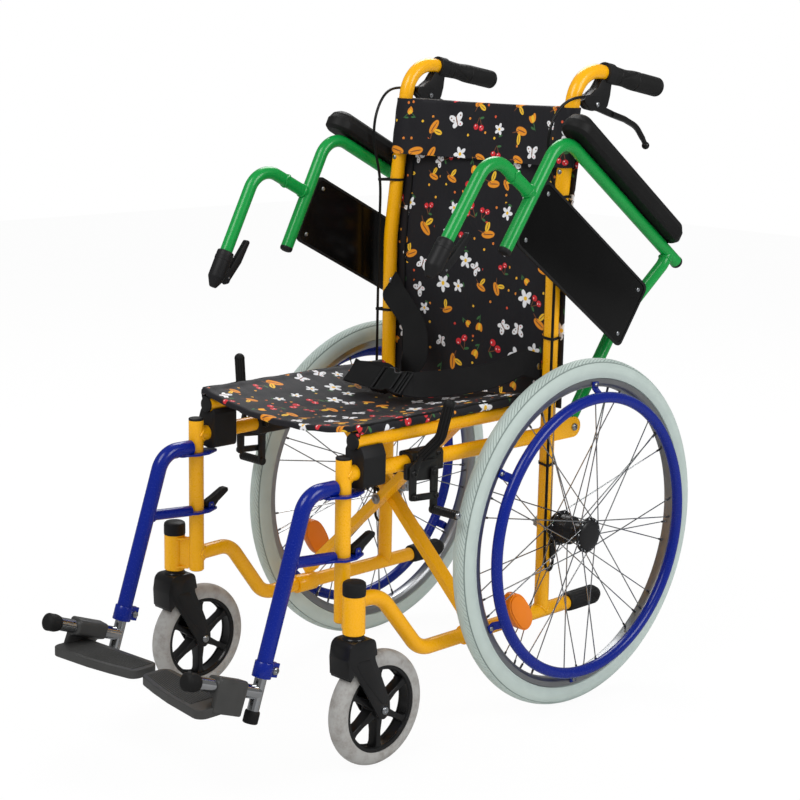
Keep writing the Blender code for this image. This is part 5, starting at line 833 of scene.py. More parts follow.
pale_tyre, tree = surface("pale_polyurethane_tyre")
place = add(tree, "ShaderNodeTexCoord").outputs["Object"]
marks = add(tree, "ShaderNodeTexNoise", {"Vector": place, "Scale": 60.0, "Detail": 7.0, "Roughness": 0.7})
spread = add(tree, "ShaderNodeValToRGB", {0: marks.outputs[0]})
for stop, position, tone in zip(spread.color_ramp.elements, (0.3, 0.56), ("8A8580", "A6A5A2")):
    stop.position = position
    stop.color = linear(tone)
rough = add(tree, "ShaderNodeMapRange", {"Value": marks.outputs[0], "To Min": 0.46, "To Max": 0.66})
bump = add(tree, "ShaderNodeBump", {"Height": marks.outputs[0], "Strength": 0.12, "Distance": 0.0004})
finish = {"Base Color": spread.outputs[0], "Roughness": rough.outputs[0], "Normal": bump.outputs[0]}
skin = add(tree, "ShaderNodeBsdfPrincipled", finish)
add(tree, "ShaderNodeOutputMaterial", {"Surface": skin.outputs[0]})


def add_rings(built, rings):
    """Bridges rings of points in their order, and closes both ends."""
    loops = []
    for ring in rings:
        verts = [built.verts.new(point) for point in ring]
        loops.append([built.edges.new(pair) for pair in zip(verts, verts[1:] + verts[:1])])
        if ring is rings[0] or ring is rings[-1]:
            built.faces.new(verts)
    for loop, after in zip(loops, loops[1:]):
        bmesh.ops.bridge_loops(built, edges=loop + after)


def add_hoop(built, rings):
    """Joins rings of points, and the last to the first. A bridge would twist rings that share a middle."""
    hoops = [[built.verts.new(point) for point in ring] for ring in rings]
    for ring, after in zip(hoops, hoops[1:] + hoops[:1]):
        for k in range(len(ring)):
            built.faces.new((ring[k - 1], ring[k], after[k], after[k - 1]))


for name, side in SIDES:
    axle_ahead = CASTER["ahead"] - CASTER["trail"]
    centre = at(side, CASTER["x"], axle_ahead, CASTER["radius"])
    outwards = Vector((side, 0, 0))
    built = bmesh.new()
    x = CASTER["x"]
    inner = CASTER["half"] + 0.0026
    outer = inner + 0.0044
    crown_top = 0.2272
    stem = at(side, x, CASTER["ahead"], 0)
    add_rod(built, stem + Vector((0, 0, crown_top - 0.008)), stem + Vector((0, 0, 0.279)), 0.0118, 24)
    collar = [
        (0, crown_top - 0.012), (0.0196, crown_top - 0.012), (0.0194, crown_top - 0.006),
        (0.018, crown_top - 0.0035), (0.0166, crown_top - 0.0026), (0.0162, crown_top), (0, crown_top),
    ]
    add_turned(built, collar, stem, UP, 48)
    arch = [
        (axle_ahead + 0.0992 * math.sin(turn), CASTER["radius"] + 0.0992 * math.cos(turn))
        for turn in (math.radians(10.5 + 38.5 * k / 12) for k in range(13))
    ]
    crown = arch + rounded([
        (0.532, 0.164, 0.001), (0.5335, 0.193, 0.022), (0.529, crown_top - 0.0055, 0.014),
        (0.477, crown_top - 0.0055, 0.012), (0.4722, 0.1945, 0.001),
    ], 0.002, 6)
    add_side_plate(built, side, x - outer + 0.0004, x + outer - 0.0004, crown, 0.0042)
    blade = rounded([
        (0.529, crown_top - 0.0055, 0.014), (0.5335, 0.19, 0.02), (0.512, 0.16, 0.03),
        (axle_ahead + 0.0125, 0.085, 0.008), (axle_ahead + 0.001, 0.0795, 0.008),
        (axle_ahead - 0.0125, 0.088, 0.009), (axle_ahead - 0.0115, 0.108, 0.012),
        (axle_ahead + 0.005, 0.148, 0.03), (0.476, 0.186, 0.02), (0.4765, crown_top - 0.0055, 0.012),
    ], 0.008, 6)
    rib = rounded([
        (0.52, 0.19), (0.504, 0.162), (axle_ahead + 0.006, 0.106), (axle_ahead - 0.004, 0.108),
        (0.487, 0.188),
    ], 0.006, 5)
    for face in (-1, 1):
        add_side_plate(built, side, x + face * inner, x + face * outer, blade, 0.0014)
        add_side_plate(built, side, x + face * (outer - 0.0008), x + face * (outer + 0.0006), rib, 0.0005)
    piece(
        f"{name}_fork_moulding",
        built,
        fork_nylon,
        f"{name}_fork",
        [f"{name}_caster_fork"],
        angle=32.0,
    )

    built = bmesh.new()
    add_rod(built, centre - outwards * (outer + 0.0005), centre + outwards * (outer + 0.0005), 0.0098, 24)
    for face in (-1, 1):
        add_bolt(built, centre + outwards * face * (outer - 0.0002), outwards * face, 0.013, 0.0034)
    piece(f"{name}_fork_axle", built, zinc, f"{name}_fork")

    built = bmesh.new()
    half = [(0.066, 0.008), (0.064, 0.0105), (0.0655, 0.013), (0.071, 0.0134), (0.0712, 0.0128)]
    add_turned(built, [(0.0668, 0)] + mirrored(half), centre, outwards, 96, ring=True)
    half = [(0.0162, 0.013), (0.015, 0.016), (0.0125, 0.017), (0.0056, 0.017)]
    add_turned(built, [(0.0168, 0)] + mirrored(half), centre, outwards, 48, ring=True)
    for k in range(6):
        turn = math.tau * (k + 0.5) / 6
        lift = Vector((0, math.cos(turn), math.sin(turn)))
        along = Vector((0, -lift.z, lift.y))
        rings = []
        for r, wide, deep in CASTER_SPOKE:
            outline = rounded(oblong(-wide, -deep, wide, deep), 0.0016, 3)
            rings.append([centre + lift * r + along * u + outwards * v for u, v in outline])
        add_rings(built, rings)
    piece(
        f"{name}_caster_centre",
        built,
        fork_nylon,
        f"{name}_roller",
        [f"{name}_caster_wheel"],
        angle=32.0,
    )

    built = bmesh.new()
    section = [(CASTER["inner"], -0.0142), (CASTER["inner"], 0.0142)]
    for k in range(25):
        turn = math.radians(99 - 8.25 * k)
        section.append((0.08 + 0.015 * math.cos(turn), 0.016 * math.sin(turn)))
    add_turned(built, section, centre, outwards, 120, ring=True)
    piece(
        f"{name}_caster_band",
        built,
        pale_tyre,
        f"{name}_roller",
        [f"{name}_caster_tyre"],
        angle=40.0,
    )


# The footrest hangers: bent tube in cobalt blue, which hooks round the front post on two
# pressed plates. A split collar at its foot is pinched by a screw and holds the stem's height.
HANGER = {"x": 0.18, "top": 0.453, "knee": 0.562, "bend": 0.04, "foot": 0.18, "slope": 0.3284}
SWING_PLATES = {"upper": 0.4395, "lower": 0.3375, "thick": 0.004}


def on_hanger(side, z, x=HANGER["x"]):
    """A point on the straight leg of the hanger, at a height."""
    return at(side, x, HANGER["knee"] + HANGER["slope"] * (HANGER["top"] - z), z)


def add_holed_plate(built, side, outline, centre, hole, z, thick, soften=0.0006):
    """Adds a level plate with a round hole: the outline is (x, ahead) points seen from its hole's centre."""
    rings = []
    hub = Vector(centre)
    for height, inset, round_the_hole in (
        (0, 0, True),
        (0, soften, False),
        (soften, 0, False),
        (thick - soften, 0, False),
        (thick, soften, False),
        (thick, 0, True),
    ):
        ring = []
        for spot in outline:
            arm = Vector(spot) - hub
            rim = hub + arm.normalized() * (hole if round_the_hole else arm.length - inset)
            ring.append(at(side, rim.x, rim.y, z + height))
        rings.append(ring)
    add_hoop(built, rings)


for name, side in SIDES:
    body = f"{name}_hanger"
    down = (on_hanger(side, 0.1) - on_hanger(side, 0.4)).normalized()
    built = bmesh.new()
    route = bent(
        [
            at(side, HANGER["x"], 0.504, HANGER["top"]),
            at(side, HANGER["x"], HANGER["knee"], HANGER["top"]),
            on_hanger(side, HANGER["foot"]),
        ],
        (HANGER["bend"],),
        18,
    )
    add_tube(built, route, TUBE, 40)
    brace_start = on_hanger(side, 0.3495)
    brace_end = at(side, 0.181, 0.505, 0.342)
    add_rod(built, brace_start, brace_end, 0.018, 32)
    add_weld(built, brace_start, brace_end - brace_start, UP, 0.009, TUBE / 2, 0.0042)
    plate_outline = rounded([
        (0.173, 0.529), (0.191, 0.529), (0.194, 0.515), (0.2055, 0.501), (0.2055, 0.477),
        (0.192, 0.449), (0.176, 0.449), (0.1625, 0.477), (0.1625, 0.501), (0.171, 0.515),
    ], 0.006, 4)
    for z in (SWING_PLATES["upper"], SWING_PLATES["lower"]):
        hole = (FRONT_POST["x"], FRONT_POST["ahead"])
        add_holed_plate(built, side, plate_outline, hole, TUBE / 2 + 0.0004, z, SWING_PLATES["thick"])
    hook = at(side, HANGER["x"], 0.528, HANGER["top"])
    add_weld(built, hook, -UP, Vector((0, 1, 0)), 0.01, 0.012, 0.0038)
    for face in (-1, 1):
        near = FRONT_POST["x"] + face * 0.0071
        ear = rounded([(0.4695, 0.34), (0.4685, 0.352), (0.4575, 0.352), (0.4565, 0.34)], 0.004, 5)
        add_side_plate(built, side, near, near + face * 0.002, ear, 0.0005)
    collar = [
        (0.0127, 0), (0.0146, 0), (0.0152, 0.0008), (0.0152, 0.0236), (0.0146, 0.0244), (0.0127, 0.0244)
    ]
    add_turned(built, collar, on_hanger(side, 0.2035), down, 48, True)
    back = Vector((0, 0.026, -0.006))
    low = on_hanger(side, 0.1805)
    high = on_hanger(side, 0.202)
    for face in (-1, 1):
        inner = Vector((face * 0.0012, 0, 0))
        gap = inner + Vector((0, 0.008, 0))
        jaw = [low + gap, high + gap, high + back + inner, low + back + inner]
        add_plate(built, jaw, Vector((face * 0.0058, 0, 0)), 0.0012, 3)
    piece(f"{name}_hanger_tube", built, blue, body, [f"{name}_footrest_hanger"])

    built = bmesh.new()
    pinch = (low + high) / 2 + back * 0.72
    out = Vector((side, 0, 0))
    add_rod(built, pinch - out * 0.0095, pinch + out * 0.0085, 0.006, 16)
    add_bolt(built, pinch + out * 0.0068, out, 0.0128, 0.0044)
    add_bolt(built, pinch - out * 0.0068, -out, 0.0115, 0.0042, "hex")
    catch_pin = [at(side, FRONT_POST["x"] + off, 0.463, 0.347) for off in (-0.0098, 0.0098)]
    add_rod(built, *catch_pin, 0.0034, 16, 0.0005)
    piece(f"{name}_hanger_fasteners", built, zinc, body)

    built = bmesh.new()
    base = SWING_PLATES["lower"] + 0.0028
    paddle = rounded([
        (0.4725, base + 0.0035), (0.4725, base + 0.012), (0.458, base + 0.0185), (0.434, base + 0.031),
        (0.424, base + 0.031), (0.424, base + 0.024), (0.446, base + 0.009), (0.454, base),
    ], 0.0035, 6)
    add_side_plate(built, side, FRONT_POST["x"] - 0.0065, FRONT_POST["x"] + 0.0065, paddle, 0.0014)
    for k in range(5):
        ridge_z = base + 0.0312 - 0.0022 * k - (0.0002 if k else 0.0004)
        ridge = at(side, FRONT_POST["x"] - 0.0052, 0.43 + 0.0042 * k, ridge_z)
        add_rod(built, ridge, ridge + out * 0.0104, 0.0014, 8)
    piece(
        f"{name}_swing_paddle", built, nylon, f"{name}_swing_catch",
        [f"{name}_swing_latch"],
    )


# The footrest stems: chromed tube that slides up into the hanger, with a bar welded across it
# below the calf. Black rubber covers both ends: a ribbed foot, and a bumper for the toes.
CHROME = ("C9CCD0", "E2E4E6")
chrome = plated("chromed_steel", CHROME, (0.07, 0.15), 160.0, 0.03)
rubber = moulded("black_rubber", ("131313", "1C1C1C"), (0.55, 0.7), 0.9, 0.12)
FOOT_BAR = {"start": (0.6589, 0.158), "tip": (0.799, 0.211), "diameter": 0.022}


def on_bar(side, along, up=0.0, x=HANGER["x"]):
    """A point beside the foot bar: along it from the stem, and up square to it."""
    start = Vector(FOOT_BAR["start"])
    run = (Vector(FOOT_BAR["tip"]) - start).normalized()
    return at(side, x, start.x + run.x * along - run.y * up, start.y + run.y * along + run.x * up)


BAR_LENGTH = (Vector(FOOT_BAR["tip"]) - Vector(FOOT_BAR["start"])).length
for name, side in SIDES:
    body = f"{name}_stem"
    down = (on_hanger(side, 0.1) - on_hanger(side, 0.4)).normalized()
    forward = (on_bar(side, 1) - on_bar(side, 0)).normalized()
    built = bmesh.new()
    add_rod(built, on_hanger(side, 0.29), on_hanger(side, 0.116), 0.019, 40)
    add_rod(built, on_bar(side, 0), on_bar(side, BAR_LENGTH - 0.006), FOOT_BAR["diameter"], 40)
    add_weld(built, on_bar(side, 0), forward, Vector((1, 0, 0)), 0.0092, 0.0095, 0.0036)
    piece(f"{name}_stem_tube", built, chrome, body, [f"{name}_footrest_stem"])

    built = bmesh.new()
    foot = [
        (0, 0), (0.01, 0), (0.0114, 0.0008), (0.012, 0.002), (0.012, 0.015), (0.0117, 0.0185),
        (0.0108, 0.02), (0.0095, 0.0204), (0, 0.0204),
    ]
    add_turned(built, foot, on_hanger(side, 0.112), -down, 40)
    bumper = [
        (0, 0), (0.0088, 0), (0.0106, 0.0007), (0.0138, 0.0034), (0.0144, 0.0048), (0.0145, 0.0062),
        (0.0143, 0.011), (0.0145, 0.0165), (0.0143, 0.019), (0.0126, 0.0252), (0.0118, 0.026),
        (0, 0.026),
    ]
    add_turned(built, bumper, on_bar(side, BAR_LENGTH), -forward, 48)
    piece(f"{name}_stem_rubbers", built, rubber, body)


# The footplates: black moulded plastic with fine ribs along the tread inside a smooth border.
# Each hangs on the bar by a thick clip, and can be flipped up about it.
plate_plastic = moulded("footplate_polypropylene", ("383837", "464645"), (0.34, 0.48), 1.0, 0.14, 0.1)
FOOTPLATE = {"top": 0.163, "thick": 0.0155, "border_drop": 0.0012, "rows": 12}
FRONT_EDGE = ((0.16, 0.7712), (0.108, 0.767), (0.062, 0.757), (0.018, 0.7455))
REAR_EDGE = ((0.16, 0.724), (0.1, 0.716), (0.018, 0.7085))


def edge_ahead(edge, x):
    """How far ahead a border line of the tread lies at a distance from the middle."""
    for (x0, a0), (x1, a1) in zip(edge, edge[1:]):
        if x1 <= x <= x0:
            return a0 + (a1 - a0) * (x0 - x) / (x0 - x1)
    return edge[-1][1]


for name, side in SIDES:
    body = f"{name}_plate"
    built = bmesh.new()
    clip = rounded([
        (0.1639, -0.0101, 0.006), (0.1639, 0.0141, 0.007), (0.195, 0.0161, 0.007),
        (0.1962, -0.038, 0.003), (0.1895, -0.0395, 0.003), (0.1845, -0.0161, 0.006),
    ], 0.005, 6)
    length = on_bar(side, 0.092) - on_bar(side, 0.034)
    add_plate(built, [on_bar(side, 0.034, up, x) for x, up in clip], length, 0.004, 5)
    outline = rounded([
        (0.194, 0.783), (0.105, 0.773), (0.058, 0.764), (0.009, 0.752), (0.009, 0.7), (0.08, 0.706),
        (0.194, 0.716),
    ], 0.016, 6)
    rim_top = FOOTPLATE["top"] - FOOTPLATE["border_drop"]
    bottom = FOOTPLATE["top"] - FOOTPLATE["thick"]
    points = [at(side, x, ahead, bottom) for x, ahead in outline]
    add_plate(built, points, Vector((0, 0, rim_top - bottom)), 0.0024, 4)
    for row in range(FOOTPLATE["rows"]):
        share = (row + 0.5) / FOOTPLATE["rows"]
        bead = []
        for k in range(15):
            x = 0.159 + (0.019 - 0.159) * k / 14
            rear = edge_ahead(REAR_EDGE, x)
            ahead = rear + (edge_ahead(FRONT_EDGE, x) - rear) * share
            bead.append(at(side, x, ahead, rim_top - 0.0002))
        add_tube(built, bead, 0.0028, 8)
    piece(
        f"{name}_footplate_moulding",
        built,
        plate_plastic,
        body,
        [f"{name}_footplate"],
        angle=34.0,
    )


# The wheel locks: a pressed plate on a block that is clamped to the upper rail, a cranked hand
# lever with a rubber grip, and a link that swings a ribbed steel shoe against the tyre.
LOCK = {"plate": (0.2075, 0.2115), "blade": (0.2119, 0.2164), "link": (0.2168, 0.2203)}
LOCK_LEVER = (0.366, 0.46)
LOCK_SHOE = (0.318, 0.456)
LINK_PINS = {"lever": (0.366, 0.422), "shoe": (0.318, 0.418)}
for name, side in SIDES:
    out = Vector((side, 0, 0))
    built = bmesh.new()
    inner = rail_x(0.323) - 0.0165
    section = rounded([
        (inner, UPPER_RAIL_Z - 0.0175, 0.004), (0.206, UPPER_RAIL_Z - 0.0175, 0.002),
        (0.206, UPPER_RAIL_Z + 0.012, 0.002), (0.202, UPPER_RAIL_Z + 0.0175, 0.006),
        (inner, UPPER_RAIL_Z + 0.0175, 0.005),
    ], 0.004)
    add_plate(built, [at(side, x, 0.358, z) for x, z in section], Vector((0, 0.07, 0)), 0.0014, 3)
    plate = rounded([
        (0.38, 0.477), (0.379, 0.451), (0.362, 0.447), (0.318, 0.443), (0.306, 0.45), (0.306, 0.477)
    ], 0.005)
    add_side_plate(built, side, 0.2055, LOCK["plate"][1], plate, 0.0006)
    piece(f"{name}_lock_plate", built, black_paint, f"{name}_frame", [f"{name}_lock_mount"])

    built = bmesh.new()
    for ahead, z in (LOCK_LEVER, LOCK_SHOE):
        pivot = at(side, LOCK["blade"][1] + 0.0002, ahead, z)
        add_rod(built, at(side, LOCK["plate"][1] - 0.001, ahead, z), pivot, 0.0078, 20)
        add_bolt(built, pivot, out, 0.0118, 0.0026)
    for ahead in (0.346, 0.3):
        add_bolt(built, at(side, 0.2059, ahead, 0.4835) - out * 0.0004, out, 0.0098, 0.0034)
        add_bolt(built, at(side, inner, ahead, UPPER_RAIL_Z), -out, 0.0115, 0.0045, "hex")
    piece(f"{name}_lock_fasteners", built, black_paint, f"{name}_frame")

    built = bmesh.new()
    crank = rounded([
        (0.375, 0.47), (0.374, 0.44), (0.3725, 0.4155), (0.3595, 0.4155), (0.359, 0.45), (0.35, 0.474),
        (0.356, 0.484),
    ], 0.005)
    add_side_plate(built, side, LOCK["blade"][0], LOCK["blade"][1], crank, 0.0007)
    x = (LOCK["blade"][0] + LOCK["blade"][1]) / 2
    corners = [
        at(side, x + 0.001, 0.362, 0.466), at(side, x + 0.004, 0.354, 0.486),
        at(side, 0.247, 0.338, 0.522), at(side, 0.258, 0.333, 0.584),
    ]
    stalk = bent(corners, (0.02, 0.03), 10)
    add_tube(built, stalk[:-1] + [corners[-1] - (corners[-1] - stalk[-2]).normalized() * 0.01], 0.0092, 24)
    piece(f"{name}_lock_crank", built, black_paint, f"{name}_lock", [f"{name}_lock_lever"])

    # The grip on the lever: soft rubber over the bend and the straight part, with flutes along
    # it and a domed end.
    built = bmesh.new()
    sleeve = [point for point in stalk[:-1] if point.z > 0.488] + [corners[-1] - Vector((0, 0, 0.0085))]
    add_tube(built, sleeve, 0.015, 32)
    end_way = (sleeve[-1] - sleeve[-2]).normalized()
    dome = [(0.0092 * math.cos(math.pi / 24 * k), 0.0092 * math.sin(math.pi / 24 * k)) for k in range(13)]
    add_turned(built, [(0, -0.001), (0.0092, -0.001)] + dome, sleeve[-1], end_way, 32)
    for k in range(11):
        turn = math.tau * k / 11
        flute = []
        for before, point, after in zip([sleeve[0]] + sleeve, sleeve, sleeve[1:] + [sleeve[-1]]):
            way = (after - before).normalized()
            flat = (Vector((0, 1, 0)) - way * way.y).normalized()
            flute.append(point + (flat * math.cos(turn) + way.cross(flat) * math.sin(turn)) * 0.0072)
        add_tube(built, flute, 0.0036, 10)
    piece(f"{name}_lock_grip", built, rubber, f"{name}_lock")

    built = bmesh.new()
    strap = rounded([(0.372, 0.4275), (0.372, 0.4165), (0.312, 0.4125), (0.312, 0.4235)], 0.0052, 8)
    add_side_plate(built, side, *LOCK["link"], strap, 0.0006)
    piece(f"{name}_lock_strap", built, black_paint, f"{name}_link", [f"{name}_lock_link"])

    pin_start, pin_end = LOCK["blade"][1] - 0.001, LOCK["link"][1] + 0.0002
    built = bmesh.new()
    pin = at(side, pin_end, *LINK_PINS["lever"])
    add_rod(built, at(side, pin_start, *LINK_PINS["lever"]), pin, 0.0056, 16)
    add_bolt(built, pin, out, 0.0092, 0.0024)
    piece(f"{name}_lock_crank_pin", built, black_paint, f"{name}_lock")

    built = bmesh.new()
    arm = rounded([(0.3262, 0.4645), (0.325, 0.3865), (0.311, 0.3865), (0.3098, 0.4645)], 0.0068, 8)
    add_side_plate(built, side, LOCK["blade"][0], LOCK["blade"][1], arm, 0.0007)
    piece(f"{name}_shoe_arm", built, black_paint, f"{name}_shoe")
    built = bmesh.new()
    shoe_start = at(side, 0.2099, 0.318, 0.394)
    ribbed = [(0, 0), (0.0066, 0), (0.0073, 0.0008)]
    for k in range(11):
        low = 0.003 + 0.005 * k
        ribbed += [(0.0075, low), (0.0075, low + 0.0028), (0.0066, low + 0.0034), (0.0066, low + 0.0044)]
    ribbed += [(0.0075, 0.0576), (0.0068, 0.0586), (0, 0.0586)]
    add_turned(built, ribbed, shoe_start, out, 36)
    pin = at(side, pin_end, *LINK_PINS["shoe"])
    add_rod(built, at(side, pin_start, *LINK_PINS["shoe"]), pin, 0.0056, 16)
    add_bolt(built, pin, out, 0.0092, 0.0024)
    piece(f"{name}_shoe_sleeve", built, black_paint, f"{name}_shoe", [f"{name}_lock_shoe"])
    built = bmesh.new()
    add_bolt(built, at(side, 0.2682, 0.318, 0.394), out, 0.011, 0.004)
    piece(f"{name}_shoe_screw", built, zinc, f"{name}_shoe")


# The flip-back armrests: green powder-coated tube in a stepped desk shape, hinged behind the
# back post. The front leg's socket drops on the frame, and a latch behind it holds it down.
GREEN = ("0A8C3A", "129E45")
green = powder_coat("green_powder_coat", GREEN, (0.22, 0.34))
ARM = {"x": 0.239, "tube": 0.022, "leg": 0.497, "upright": 0.372, "rail": 0.36, "step": 0.241}
ARM_TURN = {1: math.radians(35.7), -1: math.radians(26.6)}


def on_arm(side, ahead, up, x=ARM["x"]):
    """A point on an armrest, from distances along and square to its own top tube."""
    turn = ARM_TURN[side]
    return at(
        side,
        x,
        ARM_PIVOT[0] + ahead * math.cos(turn) - up * math.sin(turn),
        ARM_PIVOT[1] + ahead * math.sin(turn) + up * math.cos(turn),
    )


for name, side in SIDES:
    body = f"{name}_arm"
    ahead_way = (on_arm(side, 1, 0) - on_arm(side, 0, 0)).normalized()
    up_way = (on_arm(side, 0, 1) - on_arm(side, 0, 0)).normalized()
    built = bmesh.new()
    for corners in (
        ((ARM["upright"], 0.1372), (ARM["upright"], ARM["rail"]), (-0.03, ARM["rail"])),
        ((ARM["leg"], 0.034), (ARM["leg"], ARM["step"]), (0.376, ARM["step"])),
    ):
        route = bent([on_arm(side, *corner) for corner in corners], (0.045,), 18)
        add_tube(built, route, ARM["tube"], 36)
    leg = [on_arm(side, 0, 0.357), on_arm(side, 0, 0.335)]
    leg += [on_arm(side, 0, up, REAR_POST["x"]) for up in (0.2, -0.014)]
    add_tube(built, bent(leg, (0.04, 0.05), 14), ARM["tube"], 36)
    add_weld(built, on_arm(side, ARM["leg"] - 0.06, ARM["step"]), -ahead_way, up_way, 0.011, 0.011, 0.004)
    bead_turns = [math.tau * k / 10 for k in range(10)]
    bead_ring = [(0.0108 + 0.0022 * math.cos(t), 0.0022 * math.sin(t)) for t in bead_turns]
    add_turned(built, bead_ring, on_arm(side, 0.385, ARM["step"]), ahead_way, 40, True)
    add_turned(built, bead_ring, on_arm(side, 0, 0.3475), up_way, 40, True)
    piece(f"{name}_arm_tubes", built, green, body, [f"{name}_arm_frame"])

    # Black caps close the ends of the top tube and of the long upright.
    built = bmesh.new()
    cap = [(0, 0), (0.011, 0), (0.0113, 0.0008), (0.0113, 0.004), (0.01, 0.0066), (0.007, 0.008), (0, 0.0082)]
    add_turned(built, cap, on_arm(side, -0.03, ARM["rail"]), -ahead_way, 36)
    add_turned(built, cap, on_arm(side, ARM["upright"], 0.1372), -up_way, 36)
    piece(f"{name}_arm_caps", built, nylon, body)


# The arm pads: self-skinned black polyurethane foam with chamfered edges and a fine leather
# grain. Two screws from below hold each to its tube.
pad_skin, tree = surface("self_skinned_foam")
place = add(tree, "ShaderNodeTexCoord").outputs["Object"]
cloud = add(tree, "ShaderNodeTexNoise", {"Vector": place, "Scale": 24.0, "Detail": 4.0})
tone = add(
    tree, "ShaderNodeMix", {0: cloud.outputs[0], 6: linear("141414"), 7: linear("1E1E1E")}, data_type="RGBA"
)
cells = add(tree, "ShaderNodeTexVoronoi", {"Vector": place, "Scale": 620.0}, feature="DISTANCE_TO_EDGE")
creases = add(tree, "ShaderNodeMapRange", {"Value": cells.outputs["Distance"], "From Max": 0.2})
rough = add(tree, "ShaderNodeMapRange", {"Value": cloud.outputs[0], "To Min": 0.42, "To Max": 0.56})
bump = add(tree, "ShaderNodeBump", {"Height": creases.outputs[0], "Strength": 0.2, "Distance": 0.0003})
finish = {"Base Color": tone.outputs[2], "Roughness": rough.outputs[0], "Normal": bump.outputs[0]}
skin = add(tree, "ShaderNodeBsdfPrincipled", {**finish, "Specular IOR Level": 0.2})
add(tree, "ShaderNodeOutputMaterial", {"Surface": skin.outputs[0]})

PAD = {"x": 0.2447, "half": 0.028, "front": 0.374, "rear": 0.008, "base": 0.3713}
# Each level of a pad: its height over the base, and how far it lies inside the widest one.
PAD_LEVELS = ((0, 0.0064), (0.001, 0.005), (0.0052, 0.0006), (0.0062, 0), (0.0195, 0), (0.0206, 0.0004))
PAD_LEVELS += ((0.0216, 0.0012), (0.0302, 0.0052), (0.0312, 0.0059), (0.032, 0.0068), (0.0366, 0.0138))
PAD_LEVELS += ((0.0373, 0.015), (0.0377, 0.0165), (0.038, 0.0225))
for name, side in SIDES:
    built = bmesh.new()
    rings = []
    for height, inset in PAD_LEVELS:
        radius = PAD["half"] - inset
        ring = []
        for end, first in ((PAD["front"] - PAD["half"], 0.0), (PAD["rear"] + PAD["half"], math.pi)):
            for k in range(25):
                turn = first + math.pi * k / 24
                rim_x = PAD["x"] + radius * math.cos(turn)
                ring.append(on_arm(side, end + radius * math.sin(turn), PAD["base"] + height, rim_x))
        rings.append(ring)
    add_rings(built, rings)
    pad = piece(
        f"{name}_pad_foam", built, pad_skin, f"{name}_arm", [f"{name}_arm_pad"], angle=30.0
    )


# The side panels: a glossy black laminate sheet let into the tubes' inner sides, edged with a
# thin black strip, and held by four countersunk screws.
panel_gloss = moulded("black_laminate", ("060606", "0A0A0A"), (0.16, 0.24), 3.0, 0.03)
PANEL = {"rear": 0.012, "front": 0.3607, "low": 0.157, "high": 0.282}
for name, side in SIDES:
    built = bmesh.new()
    corners = rounded(oblong(PANEL["rear"], PANEL["low"], PANEL["front"], PANEL["high"]), 0.012, 8)
    points = [on_arm(side, ahead, up, 0.2381) for ahead, up in corners]
    add_plate(built, points, Vector((side * 0.0018, 0, 0)), 0.0003)
    piece(f"{name}_panel_sheet", built, panel_gloss, f"{name}_arm", [f"{name}_side_panel"])

    built = bmesh.new()
    hub = ((PANEL["rear"] + PANEL["front"]) / 2, (PANEL["low"] + PANEL["high"]) / 2)
    shrink = (1 - 0.0045 / (PANEL["front"] - hub[0]), 1 - 0.0045 / (PANEL["high"] - hub[1]))
    shrunk = [(hub[0] + (a - hub[0]) * shrink[0], hub[1] + (u - hub[1]) * shrink[1]) for a, u in corners]
    for low, high in ((0.2374, 0.2382), (0.2398, 0.2406)):
        rims = [(corners, low), (shrunk, low), (shrunk, high), (corners, high)]
        rings = [[on_arm(side, a, u, x) for a, u in outline] for outline, x in rims]
        add_hoop(built, rings)
    piece(f"{name}_panel_edging", built, nylon, f"{name}_arm")

    built = bmesh.new()
    for ahead in (PANEL["rear"] + 0.02, PANEL["front"] - 0.02):
        for up in (PANEL["low"] + 0.018, PANEL["high"] - 0.018):
            add_bolt(built, on_arm(side, ahead, up, 0.2399), Vector((side, 0, 0)), 0.008, 0.0018)
            add_bolt(built, on_arm(side, ahead, up, 0.2381), Vector((-side, 0, 0)), 0.008, 0.0018)
    piece(f"{name}_panel_screws", built, zinc, f"{name}_arm")


# The arm latches: a moulded nylon socket on the front leg, with a pointed nose that finds the
# frame, and a paddle behind it on a steel pin that lets the arm go.
for name, side in SIDES:
    built = bmesh.new()
    up_way = (on_arm(side, 0, 1) - on_arm(side, 0, 0)).normalized()
    sleeve = [
        (0, 0.01), (0.0058, 0.0104), (0.0072, 0.0122), (0.0138, 0.0255), (0.0146, 0.0275),
        (0.0149, 0.03), (0.0149, 0.06), (0.0154, 0.0606), (0.0154, 0.0664), (0.0149, 0.067),
        (0.0149, 0.0742), (0.0142, 0.0762), (0.0128, 0.077), (0.0112, 0.077), (0.0112, 0.03),
        (0, 0.03),
    ]
    add_turned(built, sleeve, on_arm(side, ARM["leg"], 0), up_way, 44)
    for face in (-1, 1):
        near = ARM["x"] + face * 0.0056
        ear = rounded([(-0.01, 0.018), (-0.0245, 0.0275), (-0.0245, 0.047), (-0.01, 0.056)], 0.006)
        points = [on_arm(side, ARM["leg"] + a, u, near) for a, u in ear]
        add_plate(built, points, Vector((side * face * 0.003, 0, 0)), 0.0006)
    piece(f"{name}_socket_moulding", built, nylon, f"{name}_arm", [f"{name}_arm_socket"])

    built = bmesh.new()
    pin = [on_arm(side, 0.477, 0.036, ARM["x"] + off) for off in (-0.0095, 0.0095)]
    add_rod(built, *pin, 0.004, 16, 0.0006)
    piece(f"{name}_socket_pin", built, zinc, f"{name}_arm")

    built = bmesh.new()
    paddle = rounded([
        (0.48, 0.028), (0.48, 0.046), (0.4665, 0.112), (0.4575, 0.112), (0.46, 0.07), (0.471, 0.028)
    ], 0.0042, 6)
    points = [on_arm(side, a, u, ARM["x"] - 0.005) for a, u in paddle]
    add_plate(built, points, Vector((side * 0.01, 0, 0)), 0.0012)
    piece(f"{name}_latch_paddle", built, nylon, f"{name}_arm_catch", [f"{name}_arm_latch"])


